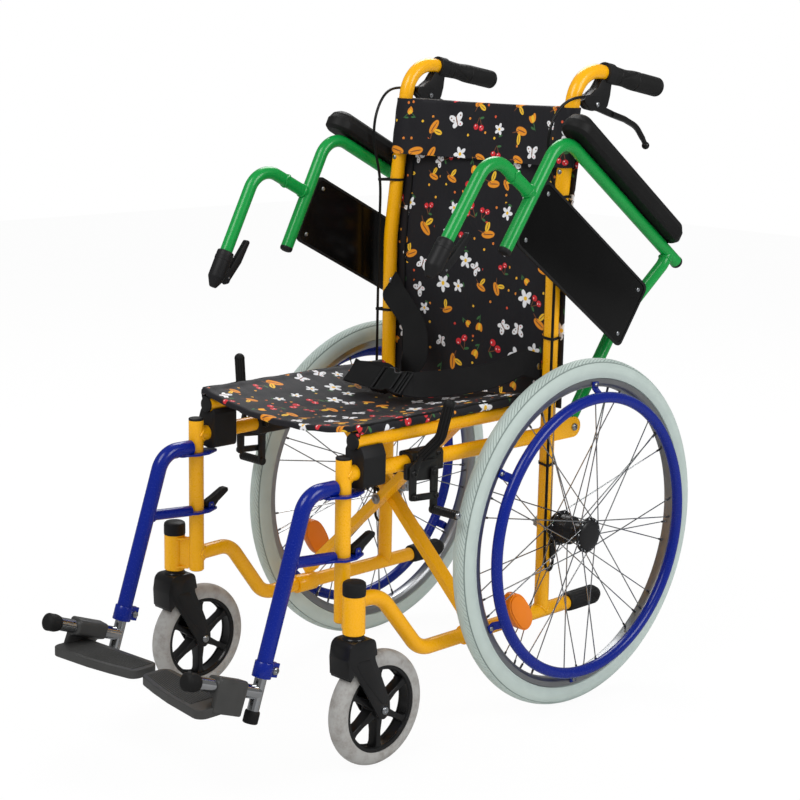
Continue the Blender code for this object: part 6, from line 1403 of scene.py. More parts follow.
# The push grips: black rubber sleeves with a thumb swell, a waist before the brake, and a
# groove that winds round each. They are pushed on the bare ends of the handles.
grip_rubber = moulded("grip_rubber", ("151515", "202020"), (0.48, 0.62), 1.5, 0.3)
GRIP_BORE = 0.0128
for name, side in SIDES:
    built = bmesh.new()
    start = handle_point(side, 0)
    inwards = (handle_point(side, 1) - start).normalized()
    swell = ((0.0044, 0.017), (0.07, 0.017), (0.1, 0.0148), (0.127, 0.0158), (0.1318, 0.0158))
    profile = [(0, 0), (0.0118, 0), (0.0138, 0.0004), (0.0156, 0.0014), (0.0166, 0.0027)]
    for k in range(86):
        along = 0.0044 + (0.1318 - 0.0044) * k / 85
        for (s0, r0), (s1, r1) in zip(swell, swell[1:]):
            if s0 <= along <= s1:
                share = (along - s0) / (s1 - s0)
                share = share * share * (3 - 2 * share)
                profile.append((r0 + (r1 - r0) * share, along))
                break
    profile += [(0.015, 0.133), (GRIP_BORE, 0.133)]
    add_turned(built, profile, start, inwards, 72)
    up = inwards.cross(Vector((1, 0, 0))).normalized()
    for vert in built.verts:
        along = (vert.co - start).dot(inwards)
        arm = vert.co - start - inwards * along
        if not 0.006 < along < 0.126 or arm.length < 0.014:
            continue
        turn = math.atan2(side * arm.x, arm.dot(up))
        cut = 0.0
        for shift in (0.0, math.pi):
            line = shift - 0.9 + (along - 0.012) * 26.0
            off = (turn - line + math.pi) % math.tau - math.pi
            cut = max(cut, 1.0 - abs(off * arm.length) / 0.0019)
        for ring_at in (0.009, 0.072, 0.118):
            cut = max(cut, 1.0 - abs(along - ring_at) / 0.0014)
        if cut > 0:
            vert.co -= arm.normalized() * 0.0011 * min(1.0, 1.6 * cut)
    piece(
        f"{name}_grip_sleeve",
        built,
        grip_rubber,
        f"{name}_frame",
        [f"{name}_push_grip"],
        angle=55.0,
    )


# The attendant's brakes: a nylon lever housing clamped on each handle, a curved alloy lever
# coated black with a ball end, and a cable with a knurled barrel where it leaves.
HALF_HOUSING = 0.009
for name, side in SIDES:
    built = bmesh.new()
    inwards = (handle_point(side, 1) - handle_point(side, 0)).normalized()
    band = [
        (GRIP_BORE, 0.1342), (0.0176, 0.1342), (0.0185, 0.135), (0.0185, 0.1534), (0.0176, 0.1542),
        (GRIP_BORE, 0.1542),
    ]
    add_turned(built, band, handle_point(side, 0), inwards, 48, True)
    x = REAR_POST["x"]
    cheek = rounded([
        (-0.078, 1.077, 0.002), (-0.066, 1.062, 0.012), (-0.048, 1.051, 0.012), (-0.033, 1.05, 0.003),
        (-0.033, 1.038, 0.003), (-0.048, 1.026, 0.012), (-0.072, 1.022, 0.014), (-0.094, 1.028, 0.01),
        (-0.1005, 1.048, 0.02), (-0.1035, 1.07, 0.002),
    ], 0.004, 6)
    for face in (-1, 1):
        low = x + face * HALF_HOUSING
        high = x + face * 0.0036
        add_side_plate(built, side, min(low, high), max(low, high), cheek, 0.0016)
    core = [
        (-0.078, 1.0765), (-0.066, 1.061), (-0.048, 1.05), (-0.0345, 1.049), (-0.0345, 1.039),
        (-0.048, 1.0275), (-0.052, 1.0265), (-0.052, 1.046), (-0.0995, 1.046), (-0.103, 1.069),
    ]
    add_side_plate(built, side, x - 0.0045, x + 0.0045, core, 0)
    piece(f"{name}_brake_housing", built, nylon, f"{name}_frame", [f"{name}_brake_body"])

    built = bmesh.new()
    out = Vector((side, 0, 0))
    pivot = at(side, x, -0.066, 1.034)
    add_bolt(built, pivot + out * HALF_HOUSING, out, 0.0096, 0.0028)
    add_bolt(built, pivot - out * HALF_HOUSING, -out, 0.0096, 0.003, "hex")
    first = at(side, 0.2035, -0.0295, 1.045)
    second = at(side, 0.2095, -0.0262, 1.0465)
    along = (second - first).normalized()
    barrel = [
        (0.0027, -0.006), (0.004, -0.006), (0.004, 0.0018), (0.0034, 0.0024), (0.0034, 0.006),
        (0.0027, 0.0064),
    ]
    add_turned(built, barrel, first, along, 24, True)
    piece(f"{name}_brake_screws", built, zinc, f"{name}_frame")

    built = bmesh.new()
    root = rounded([
        (-0.0595, 1.0405), (-0.0595, 1.0275), (-0.1, 1.0155), (-0.125, 1.0085), (-0.125, 1.0195),
        (-0.1, 1.0275), (-0.076, 1.0405),
    ], 0.0045)
    add_side_plate(built, side, x - 0.003, x + 0.003, root, 0.0006)
    blade_line = bent([
        at(side, x, -0.116, 1.0165), at(side, x, -0.152, 1.0072), at(side, x, -0.186, 0.994),
        at(side, x, -0.207, 0.9715), at(side, x, -0.216, 0.96),
    ], (0.08, 0.05, 0.04), 8)
    rings = []
    for k, place in enumerate(blade_line):
        before = blade_line[max(k - 1, 0)]
        after = blade_line[min(k + 1, len(blade_line) - 1)]
        run = (after - before).normalized()
        up = run.cross(Vector((1, 0, 0))).normalized()
        share = k / (len(blade_line) - 1)
        wide = 0.0055 - 0.0012 * share
        deep = 0.0052 - 0.0017 * share
        section = rounded(oblong(-wide, -deep, wide, deep), 0.0028, 4)
        rings.append([place + Vector((u, 0, 0)) + up * v for u, v in section])
    add_rings(built, rings)
    bmesh.ops.create_uvsphere(
        built,
        u_segments=28,
        v_segments=18,
        radius=0.0068,
        matrix=Matrix.Translation(at(side, x, -0.2155, 0.96)),
    )
    piece(
        f"{name}_brake_blade", built, black_paint, f"{name}_hand_brake",
        [f"{name}_brake_lever"],
    )


# The brake cables: a steel wire in a black PVC sleeve of 5 mm. Each winds round its back post
# from the lever, is tied to it in three places, and hooks up to the brake plate's lever.
cable_pvc = moulded("cable_pvc_sleeve", ("101010", "191919"), (0.3, 0.42), 1.2, 0.06)


def add_band(built, first, first_radius, second, second_radius, width, thick):
    """Adds a tie round two upright round bars: the belt line of their circles, given a thickness."""
    rings = []
    for height, grow in ((0, 0), (0, thick), (width, thick), (width, 0)):
        ring = []
        for k in range(72):
            way = Vector((math.cos(math.tau * k / 72), math.sin(math.tau * k / 72), 0))
            spots = [(first + way * first_radius).dot(way), (second + way * second_radius).dot(way)]
            centre, radius = (first, first_radius) if spots[0] > spots[1] else (second, second_radius)
            ring.append(centre + way * (radius + grow) + Vector((0, 0, height)))
        rings.append(ring)
    add_hoop(built, rings)


for name, side in SIDES:
    route = [
        at(side, 0.2035, -0.0295, 1.045), at(side, 0.2095, -0.0262, 1.0465),
        at(side, 0.218, -0.019, 1.048), at(side, 0.218, 0.001, 1.047), at(side, 0.214, 0.022, 1.042),
        at(side, 0.21, 0.044, 1.024), at(side, 0.208, 0.06, 0.99), at(side, 0.208, 0.06, 0.95),
        at(side, 0.209, 0.048, 0.915), at(side, 0.2138, 0.0332, 0.87), at(side, 0.2138, 0.0372, 0.8),
        at(side, 0.2138, 0.0372, 0.6), at(side, 0.2138, 0.0372, 0.4), at(side, 0.2138, 0.0372, 0.31),
        at(side, 0.2138, 0.0372, 0.262), at(side, 0.2138, 0.033, 0.236),
        at(side, 0.2138, 0.022, 0.228), at(side, 0.2138, 0.0145, 0.236),
        at(side, 0.2138, 0.014, 0.2494),
    ]
    curve = bpy.data.curves.new(f"{name}_cable_sleeve", "CURVE")
    curve.dimensions = "3D"
    curve.resolution_u = 10
    spline = curve.splines.new("NURBS")
    spline.points.add(len(route) - 1)
    for point, place in zip(spline.points, route):
        point.co = (*place, 1.0)
    spline.order_u = 4
    spline.use_endpoint_u = True
    guide = bpy.data.objects.new("guide", curve)
    line = [vert.co.copy() for vert in bpy.data.meshes.new_from_object(guide).vertices]
    bpy.data.objects.remove(guide)
    curve.bevel_depth = 0.0025
    curve.bevel_resolution = 4
    curve.use_fill_caps = True
    curve.materials.append(cable_pvc)
    cable = bpy.data.objects.new(f"{name}_cable_sleeve", curve)
    bpy.context.scene.collection.objects.link(cable)
    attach(cable, f"{name}_frame")
    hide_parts(f"{name}_brake_cable")
    built = bmesh.new()
    for z in (0.88, 0.64, 0.42):
        post_ahead = REAR_POST["ahead"]
        if z > BACK_LEAN["z"]:
            post_ahead += BACK_SLOPE * (z - BACK_LEAN["z"])
        near = min(line, key=lambda spot: abs(spot.z - z) + (0 if spot.z < 0.9 else 1))
        post, sleeve = at(side, REAR_POST["x"], post_ahead, z), Vector((near.x, near.y, z))
        add_band(built, post, TUBE / 2 + 0.0002, sleeve, 0.0027, 0.0046, 0.0011)
        catch = [at(side, REAR_POST["x"] + off, post_ahead - 0.004, z + 0.0023) for off in (0.0136, 0.0176)]
        add_rod(built, *catch, 0.0048, 6)
    piece(f"{name}_cable_ties", built, nylon, f"{name}_frame")


# The seat: printed polyester cloth, coated behind, stretched between the two seat rails. Each
# side wraps its rail in a sewn channel, under a welt, and both ends are turned down in a hem.
PRINT_PITCH = 0.047
SPRIG_PITCH = 0.021
INK = {"ground": "1C1B20", "orange": "E8901F", "yellow": "F0BE2C", "brown": "7A4A2C", "red": "D22730"}
INK.update({"white": "E9E9EC", "grey": "8E9096", "green": "3B6B3E"})
# A motif is drawn from ellipses, the later ones over the earlier. Each has its centre, its lean,
# its half length and width, and its ink.
MOTIFS = {
    "leaves": (
        (0.0, 0.003, 0.55, 0.013, 0.0062, "orange"),
        (0.0, 0.003, 0.55, 0.0105, 0.0009, "brown"),
        (0.0055, -0.0085, -0.7, 0.0085, 0.0043, "yellow"),
        (0.0055, -0.0085, -0.7, 0.0068, 0.0007, "brown"),
        (-0.0085, -0.0075, 0.95, 0.008, 0.0008, "brown"),
    ),
    "daisy": (
        (0.0, 0.0072, 1.57, 0.0064, 0.0036, "white"),
        (0.0068, 0.0022, 0.31, 0.0064, 0.0036, "white"),
        (0.0042, -0.0058, -0.94, 0.0064, 0.0036, "white"),
        (-0.0042, -0.0058, 0.94, 0.0064, 0.0036, "white"),
        (-0.0068, 0.0022, -0.31, 0.0064, 0.0036, "white"),
        (0.003, 0.0062, 1.2, 0.0022, 0.0006, "grey"),
        (-0.0052, -0.0028, 0.6, 0.0022, 0.0006, "grey"),
        (0.0, 0.0, 0.0, 0.0031, 0.0031, "yellow"),
        (0.0085, -0.0125, 0.6, 0.005, 0.0019, "green"),
    ),
    "berries": (
        (-0.004, 0.0055, 1.25, 0.0095, 0.0007, "brown"),
        (0.0035, 0.005, 2.05, 0.0095, 0.0007, "brown"),
        (0.0052, 0.013, 0.25, 0.0055, 0.0023, "green"),
        (-0.0068, -0.0045, 0.0, 0.006, 0.0056, "red"),
        (0.0072, -0.0055, 0.0, 0.0062, 0.0058, "red"),
        (-0.0086, -0.0025, 0.7, 0.0017, 0.0009, "white"),
        (0.0052, -0.0033, 0.7, 0.0017, 0.0009, "white"),
        (0.0092, -0.0072, 0.7, 0.001, 0.0008, "white"),
    ),
    "butterfly": (
        (-0.0066, 0.0046, -0.75, 0.0078, 0.005, "white"),
        (0.0066, 0.0046, 0.75, 0.0078, 0.005, "white"),
        (-0.0048, -0.0058, 0.6, 0.0056, 0.004, "white"),
        (0.0048, -0.0058, -0.6, 0.0056, 0.004, "white"),
        (-0.009, 0.0065, 0.0, 0.0015, 0.0013, "brown"),
        (0.0092, 0.006, 0.0, 0.0014, 0.0015, "brown"),
        (-0.0056, 0.0016, 0.0, 0.0011, 0.0013, "brown"),
        (0.005, -0.007, 0.0, 0.0013, 0.0011, "red"),
        (0.0, 0.0, 1.57, 0.0085, 0.0011, "brown"),
    ),
    "bud": (
        (0.0, -0.007, 1.57, 0.0085, 0.0008, "green"),
        (-0.004, -0.009, 2.3, 0.0048, 0.0017, "green"),
        (-0.0036, 0.005, 1.95, 0.0068, 0.0036, "orange"),
        (0.0036, 0.005, 1.2, 0.0068, 0.0036, "orange"),
        (0.0, 0.0046, 1.57, 0.006, 0.003, "yellow"),
    ),
}

cloth, tree = surface("printed_polyester_cloth")
uv = add(tree, "ShaderNodeTexCoord").outputs["UV"]
cells = add(
    tree,
    "ShaderNodeTexVoronoi",
    {"Vector": uv, "Scale": 1 / PRINT_PITCH, "Randomness": 0.62},
    voronoi_dimensions="2D",
)
draw = add(tree, "ShaderNodeSeparateColor", {0: cells.outputs["Color"]})
offset = add(tree, "ShaderNodeVectorMath", {0: uv, 1: cells.outputs["Position"]}, operation="SUBTRACT")
turn = add(tree, "ShaderNodeMapRange", {"Value": draw.outputs[0], "To Min": -1.1, "To Max": 1.1})
size = add(tree, "ShaderNodeMapRange", {"Value": draw.outputs[2], "To Min": 0.8, "To Max": 1.25})
turned = add(
    tree,
    "ShaderNodeVectorRotate",
    {"Vector": offset.outputs[0], "Angle": turn.outputs[0]},
    rotation_type="Z_AXIS",
)
local = add(tree, "ShaderNodeVectorMath", {0: turned.outputs[0], "Scale": size.outputs[0]}, operation="SCALE")
print_colour = None
for index, motif in enumerate(MOTIFS.values()):
    shade = None
    for x, y, lean, long, wide, ink in motif:
        spot = add(tree, "ShaderNodeMapping", {
            "Vector": local.outputs[0], "Location": (x, y, 0), "Rotation": (0, 0, lean),
            "Scale": (long, wide, 1),
        }, vector_type="TEXTURE")
        reach = add(tree, "ShaderNodeVectorMath", {0: spot.outputs[0]}, operation="LENGTH")
        inside = add(tree, "ShaderNodeMapRange", {
            "Value": reach.outputs["Value"], "From Min": 0.94, "From Max": 1.04, "To Min": 1.0,
            "To Max": 0.0,
        })
        under = shade if shade else linear(INK["ground"])
        shade = add(
            tree, "ShaderNodeMix", {0: inside.outputs[0], 6: under, 7: linear(INK[ink])}, data_type="RGBA"
        ).outputs[2]
    if index == 0:
        print_colour = shade
        continue
    chosen = add(
        tree, "ShaderNodeMath", {0: draw.outputs[1], 1: index / len(MOTIFS)}, operation="GREATER_THAN"
    )
    print_colour = add(
        tree, "ShaderNodeMix", {0: chosen.outputs[0], 6: print_colour, 7: shade}, data_type="RGBA"
    ).outputs[2]
sprigs = add(
    tree,
    "ShaderNodeTexVoronoi",
    {"Vector": uv, "Scale": 1 / SPRIG_PITCH, "Randomness": 0.9},
    voronoi_dimensions="2D",
)
sprig_draw = add(tree, "ShaderNodeSeparateColor", {0: sprigs.outputs["Color"]})
far_off = add(tree, "ShaderNodeVectorMath", {0: local.outputs[0]}, operation="LENGTH")
free = add(tree, "ShaderNodeMath", {0: far_off.outputs["Value"], 1: 0.0185}, operation="GREATER_THAN")
small = add(tree, "ShaderNodeMath", {0: sprigs.outputs["Distance"], 1: 0.115}, operation="LESS_THAN")
some = add(tree, "ShaderNodeMath", {0: sprig_draw.outputs[0], 1: 0.72}, operation="GREATER_THAN")
both = add(tree, "ShaderNodeMath", {0: free.outputs[0], 1: small.outputs[0]}, operation="MULTIPLY")
dot = add(tree, "ShaderNodeMath", {0: both.outputs[0], 1: some.outputs[0]}, operation="MULTIPLY")
dot_tone = add(
    tree,
    "ShaderNodeMix",
    {0: sprig_draw.outputs[1], 6: linear(INK["yellow"]), 7: linear(INK["red"])},
    data_type="RGBA",
)
inked = add(
    tree, "ShaderNodeMix", {0: dot.outputs[0], 6: print_colour, 7: dot_tone.outputs[2]}, data_type="RGBA"
)
# A real thread is 0.3 mm; the weave is coarsened to 1.2 mm so that it holds in the render.
weft = add(tree, "ShaderNodeTexWave", {"Vector": uv, "Scale": 262.0}, bands_direction="X")
warp = add(tree, "ShaderNodeTexWave", {"Vector": uv, "Scale": 262.0}, bands_direction="Y")
weave = add(tree, "ShaderNodeMath", {0: weft.outputs["Fac"], 1: warp.outputs["Fac"]}, operation="MULTIPLY")
thread = add(tree, "ShaderNodeBump", {"Height": weave.outputs[0], "Strength": 0.22, "Distance": 0.0004})
pull = add(tree, "ShaderNodeMapping", {"Vector": uv, "Scale": (1.0, 0.55, 1.0)})
slack = add(tree, "ShaderNodeTexNoise", {"Vector": pull.outputs[0], "Scale": 26.0, "Detail": 3.0})
crease = add(tree, "ShaderNodeBump", {
    "Height": slack.outputs[0], "Strength": 0.55, "Distance": 0.0028, "Normal": thread.outputs[0]
})
finish = {"Base Color": inked.outputs[2], "Normal": crease.outputs[0], "Roughness": 0.62}
skin = add(tree, "ShaderNodeBsdfPrincipled", {**finish, "Specular IOR Level": 0.3, "Sheen Weight": 0.05})
add(tree, "ShaderNodeOutputMaterial", {"Surface": skin.outputs[0]})

# The welts, hems and belts: plain black webbing and bias tape with a fine rib across.
webbing, tree = surface("black_polyester_webbing")
uv = add(tree, "ShaderNodeTexCoord").outputs["UV"]
ribs = add(tree, "ShaderNodeTexWave", {"Vector": uv, "Scale": 200.0, "Distortion": 0.4}, bands_direction="Y")
place = add(tree, "ShaderNodeTexCoord").outputs["Object"]
cloud = add(tree, "ShaderNodeTexNoise", {"Vector": place, "Scale": 30.0, "Detail": 4.0})
tone = add(
    tree, "ShaderNodeMix", {0: cloud.outputs[0], 6: linear("121213"), 7: linear("1D1D1E")}, data_type="RGBA"
)
bump = add(tree, "ShaderNodeBump", {"Height": ribs.outputs["Fac"], "Strength": 0.35, "Distance": 0.0005})
finish = {"Base Color": tone.outputs[2], "Normal": bump.outputs[0], "Roughness": 0.78}
skin = add(tree, "ShaderNodeBsdfPrincipled", {**finish, "Specular IOR Level": 0.22})
add(tree, "ShaderNodeOutputMaterial", {"Surface": skin.outputs[0]})


def add_cloth(built, rows, thick, start=(0.0, 0.0)):
    """Adds a sheet through rows of points, with a thickness behind it. Its UVs are lengths in metres."""
    chart = built.loops.layers.uv.get("print") or built.loops.layers.uv.new("print")
    wide, high = len(rows[0]), len(rows)

    def wall(j, i):
        """The step through the sheet at a point, square to its face."""
        along = rows[j][min(i + 1, wide - 1)] - rows[j][max(i - 1, 0)]
        down = rows[min(j + 1, high - 1)][i] - rows[max(j - 1, 0)][i]
        return along.cross(down).normalized() * thick

    sheet = {}
    for j, row in enumerate(rows):
        run = start[0]
        middle_run = sum((rows[k + 1][wide // 2] - rows[k][wide // 2]).length for k in range(j))
        for i, point in enumerate(row):
            if i:
                run += (point - row[i - 1]).length
            for layer, place in enumerate((point, point - wall(j, i))):
                sheet[layer, j, i] = (built.verts.new(place), (run, start[1] + middle_run))
    quads = []
    for layer in (0, 1):
        for j in range(high - 1):
            for i in range(wide - 1):
                corners = [(layer, j, i), (layer, j, i + 1), (layer, j + 1, i + 1), (layer, j + 1, i)]
                quads.append(corners if layer == 0 else corners[::-1])
    for i in range(wide - 1):
        for j in (0, high - 1):
            quads.append([(0, j, i), (0, j, i + 1), (1, j, i + 1), (1, j, i)])
    for j in range(high - 1):
        for i in (0, wide - 1):
            quads.append([(0, j, i), (0, j + 1, i), (1, j + 1, i), (1, j, i)])
    for corners in quads:
        face = built.faces.new([sheet[corner][0] for corner in corners])
        for loop, corner in zip(face.loops, corners):
            loop[chart].uv = sheet[corner][1]


def add_web(built, stations, width, thick, steps=8):
    """Adds flat webbing through stations of (centre, direction across), eased between them."""
    chart = built.loops.layers.uv.get("print") or built.loops.layers.uv.new("print")
    eased = []
    for index in range(len(stations) - 1):
        ends = [stations[max(0, min(index + k, len(stations) - 1))] for k in (-1, 0, 1, 2)]
        for step in range(steps + (index == len(stations) - 2)):
            t = step / steps
            weights = (
                -0.5 * t + t * t - 0.5 * t**3, 1 - 2.5 * t * t + 1.5 * t**3,
                0.5 * t + 2 * t * t - 1.5 * t**3, -0.5 * t * t + 0.5 * t**3,
            )
            centre = sum((w * end[0] for w, end in zip(weights, ends)), Vector())
            across = ends[1][1].normalized().lerp(ends[2][1].normalized(), t)
            eased.append((centre, across))
    edge = thick * 0.32
    half = width / 2
    section = [(-half + edge, -1), (half - edge, -1), (half, -0.35), (half, 0.35), (half - edge, 1)]
    section += [(-half + edge, 1), (-half, 0.35), (-half, -0.35)]
    loops = []
    length = 0.0
    for index, (centre, across) in enumerate(eased):
        run = eased[min(index + 1, len(eased) - 1)][0] - eased[max(index - 1, 0)][0]
        run.normalize()
        wide = (across - run * across.dot(run)).normalized()
        deep = wide.cross(run).normalized() * thick / 2
        if index:
            length += (centre - eased[index - 1][0]).length
        loops.append(([built.verts.new(centre + wide * u + deep * v) for u, v in section], length))
    for (ring, run), (after, next_run) in zip(loops, loops[1:]):
        for k in range(len(section)):
            n = (k + 1) % len(section)
            face = built.faces.new((ring[k], ring[n], after[n], after[k]))
            marks = (
                (section[k][0], run), (section[n][0], run), (section[n][0], next_run),
                (section[k][0], next_run),
            )
            for loop, mark in zip(face.loops, marks):
                loop[chart].uv = mark
    built.faces.new(loops[0][0])
    built.faces.new(loops[-1][0])


SEAT = {"front": 0.465, "rear": 0.049, "sag": 0.023, "leave": (0.1785, 0.5445)}
# Past the rail the cloth runs out to the welt, and a band of it turns down and back in, to the
# channel that rests on the rail.
SEAT_EDGE = (
    (0.1815, 0.5462), (0.1845, 0.5476), (0.1873, 0.5485), (0.19, 0.5488), (0.1923, 0.5484),
    (0.1942, 0.5472), (0.1955, 0.5452), (0.1962, 0.5428), (0.1964, 0.5402), (0.1961, 0.5378),
    (0.1952, 0.536), (0.193, 0.5352), (0.189, 0.5351), (0.182, 0.5351), (0.174, 0.5351),
)
built = bmesh.new()
rows = []
seat_rows = 66
for j in range(seat_rows + 6):
    # The last three rows at each end turn down and under: that is the hem.
    hem = max(3 - j, j - seat_rows - 2, 0)
    share = min(max((j - 3) / (seat_rows - 1), 0.0), 1.0)
    ahead = SEAT["front"] + (SEAT["rear"] - SEAT["front"]) * share
    tuck = ((0, 0), (0.0016, 0.0006), (0.0022, 0.003), (0.0012, 0.0075))[hem]
    ahead += tuck[0] * (1 if share < 0.5 else -1)
    sag = SEAT["sag"] * (0.8 + 0.35 * math.sin(math.pi * share))
    leave_x, leave_z = SEAT["leave"]
    half_row = []
    for k in range(29):
        x = leave_x * k / 28
        half_row.append(Vector((x, 0, leave_z - sag * (1 - (k / 28) ** 2))))
    half_row += [Vector((x, 0, z)) for x, z in SEAT_EDGE]
    row = [Vector((-point.x, 0, point.z)) for point in half_row[:0:-1]] + half_row
    for point in row:
        outer = min(1.0, abs(point.x) / leave_x) ** 3
        ripple = math.sin(ahead * 205 + point.x * 9) + 0.6 * math.sin(ahead * 331 - point.x * 21 + 1.3)
        across = math.sin(point.x * 96 + ahead * 11) * (1 - outer)
        point.z += 0.00055 * ripple * outer + 0.0008 * across - tuck[1]
        point.y = AXLE_Y - ahead
    rows.append(row)
add_cloth(built, rows, -0.0016)
seat_cloth = piece("seat_cloth", built, cloth, None, ["seat_sling"], angle=60.0)
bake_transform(seat_cloth)
for name, side, body in (("left", 1, "bar_a"), ("right", -1, "bar_b")):
    built = bmesh.new()
    # The welt over the channel's top seam, fuller in front where the cloth is gathered.
    route = []
    for k in range(41):
        ahead = SEAT["front"] + (SEAT["rear"] - SEAT["front"]) * k / 40
        out_x = 0.1944 + 0.0005 * math.sin(k * 0.9 + 1)
        route.append(at(side, out_x, ahead, 0.5482 + 0.0005 * math.sin(k * 1.1)))
    add_tube(built, route, 0.004, 12)
    # The band's lower edge is bound with the same tape.
    route = []
    for k in range(41):
        ahead = SEAT["front"] + (SEAT["rear"] - SEAT["front"]) * k / 40
        route.append(at(side, 0.1954, ahead, 0.5358))
    add_tube(built, route, 0.0024, 10)
    piece(f"{name}_seat_welt", built, webbing, body)


# The back: the same cloth behind the two posts, with a seam and piping inside each. Its top is
# doubled into a wide flap that takes the posts in two sleeves, and a rivet holds each below it.
BACK = {"low": 0.518, "high": 0.944, "half": 0.2105, "seam": 0.172, "flap": 0.93, "top": 1.0295}
BACK_BEHIND = 0.0141


def back_centre(z):
    """How far ahead of the axle a back post's centre line lies at a height."""
    bend = BACK_LEAN["bend"] * math.tan(abs(math.atan(BACK_SLOPE)) / 2)
    if z <= BACK_LEAN["z"] - bend:
        return REAR_POST["ahead"]
    if z >= BACK_LEAN["z"] + bend:
        return REAR_POST["ahead"] + BACK_SLOPE * (z - BACK_LEAN["z"])
    share = (z - BACK_LEAN["z"] + bend) / (2 * bend)
    return REAR_POST["ahead"] + BACK_SLOPE * bend * share**2


def wrinkle(x, z, fade):
    """How far the back cloth is pushed out of its plane: slack folds that die out towards its seams."""
    upright = math.sin(x * 71 + 2.2 * math.sin(z * 9)) * 0.0011
    slanting = math.sin(z * 47 - abs(x) * 60 + 0.7) * 0.0009
    return (upright + slanting) * fade


built = bmesh.new()
rows = []
for j in range(71):
    z = BACK["high"] + (BACK["low"] - BACK["high"]) * min(j, 68) / 68
    hem = ((0, 0), (0.0016, 0.0008), (0.0028, -0.006))[max(0, j - 68)]
    row = []
    for i in range(61):
        x = BACK["seam"] * (i / 30 - 1)
        u = x / BACK["seam"]
        bow = 0.003 * (1 - u * u)
        push = wrinkle(x, z, (1 - u**4) * min(1.0, (z - BACK["low"]) / 0.06 + 0.3))
        row.append(at(1, x, back_centre(z) - BACK_BEHIND - bow + push - hem[0], z - hem[1]))
    rows.append(row)
add_cloth(built, rows, -0.0016, (0.014, 0.0))
panel = piece("back_cloth_panel", built, cloth, "right_frame", ["back_sling"], angle=60.0)

built = bmesh.new()
rows = []
for j in range(40):
    # Down the front from the folded top, then a hem at its foot; and down behind as far.
    if j < 18:
        z = BACK["flap"] + (BACK["top"] - BACK["flap"]) * j / 17
        depth = "front"
    elif j < 23:
        z = BACK["top"]
        depth = (j - 17) / 6
    else:
        z = BACK["top"] - (BACK["top"] - BACK["flap"]) * (j - 22) / 17
        depth = "rear"
    row = []
    for i in range(61):
        x = BACK["seam"] * (i / 30 - 1)
        u = x / BACK["seam"]
        centre = back_centre(z)
        ahead_front = centre + 0.0105 - 0.0205 * (1 - u * u) + wrinkle(x, z, 0.9)
        ahead_rear = centre - 0.0175 - 0.002 * (1 - u * u)
        lift = 0.0
        if depth == "front":
            ahead = ahead_front
        elif depth == "rear":
            ahead = ahead_rear
        else:
            round_off = math.pi * depth
            ahead = (ahead_front + ahead_rear) / 2 + (ahead_front - ahead_rear) / 2 * math.cos(round_off)
            lift = 0.0012 * math.sin(round_off)
        dip = 0.0022 * (1 - u * u) * (z - BACK["flap"]) / (BACK["top"] - BACK["flap"])
        row.append(at(1, x, ahead, z + lift - dip))
    rows.append(row)
add_cloth(built, rows, 0.0014, (0.094, 0.423))
flap = piece("back_cloth_flap", built, cloth, "right_frame", angle=60.0)
for thing in (panel, flap):
    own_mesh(thing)

for name, side in SIDES:
    built = bmesh.new()
    rows = []
    for j in range(46):
        z = BACK["high"] + (BACK["low"] - BACK["high"]) * j / 45
        row = []
        for k in range(7):
            x = BACK["seam"] - 0.0004 + (BACK["half"] - BACK["seam"]) * k / 6
            row.append(at(side, x, back_centre(z) - BACK_BEHIND - 0.0004 * math.sin(math.pi * k / 6), z))
        for x_more, back in ((0.0022, 0.0012), (0.0022, 0.0036), (0.0, 0.0046)):
            row.append(at(side, BACK["half"] + x_more - 0.0004, back_centre(z) - BACK_BEHIND - back, z))
        rows.append(row)
    add_cloth(built, rows, -0.0016 * side, (0.4, 0.0))
    piece(f"{name}_back_edge", built, cloth, f"{name}_frame", angle=60.0)

    built = bmesh.new()
    rows = []
    for j in range(19):
        z = BACK["flap"] + (BACK["top"] - BACK["flap"]) * j / 18
        centre = back_centre(z)
        row = []
        for k in range(5):
            x = BACK["seam"] - 0.0004 + 0.022 * k / 5
            row.append(at(side, x, centre + 0.0105 + 0.005 * math.sin(math.pi / 2 * k / 5), z))
        for k in range(17):
            turn = math.radians(98 - 196 * k / 16)
            reach = 0.0156 + 0.0004 * math.sin(z * 160 + k)
            row.append(at(side, REAR_POST["x"] + reach * math.cos(turn), centre + reach * math.sin(turn), z))
        for k in range(1, 6):
            x = BACK["seam"] + 0.022 * (1 - k / 5) - 0.0004
            row.append(at(side, x, centre - 0.0155 - 0.002 * math.sin(math.pi / 2 * k / 5), z))
        rows.append(row)
    add_cloth(built, rows, 0.0014 * side, (0.266 if side > 0 else 0.094, 0.423))
    piece(f"{name}_back_sleeve", built, cloth, f"{name}_frame", angle=60.0)

    built = bmesh.new()
    route = []
    for k in range(41):
        z = BACK["flap"] - 0.004 + (BACK["low"] - BACK["flap"] + 0.004) * k / 40
        route.append(at(side, BACK["seam"] + 0.0008 * math.sin(k * 0.8), back_centre(z) - 0.0122, z))
    add_tube(built, route, 0.0034, 12)
    piece(f"{name}_back_piping", built, webbing, f"{name}_frame")

    built = bmesh.new()
    post_front = at(side, REAR_POST["x"], back_centre(0.923) + TUBE / 2 - 0.0003, 0.923)
    add_turned(built, [(0, 0.0026), (0.0022, 0.0024), (0.004, 0.0014), (0.0046, 0)], post_front, FORWARDS, 28)
    piece(f"{name}_back_rivet", built, zinc, f"{name}_frame")


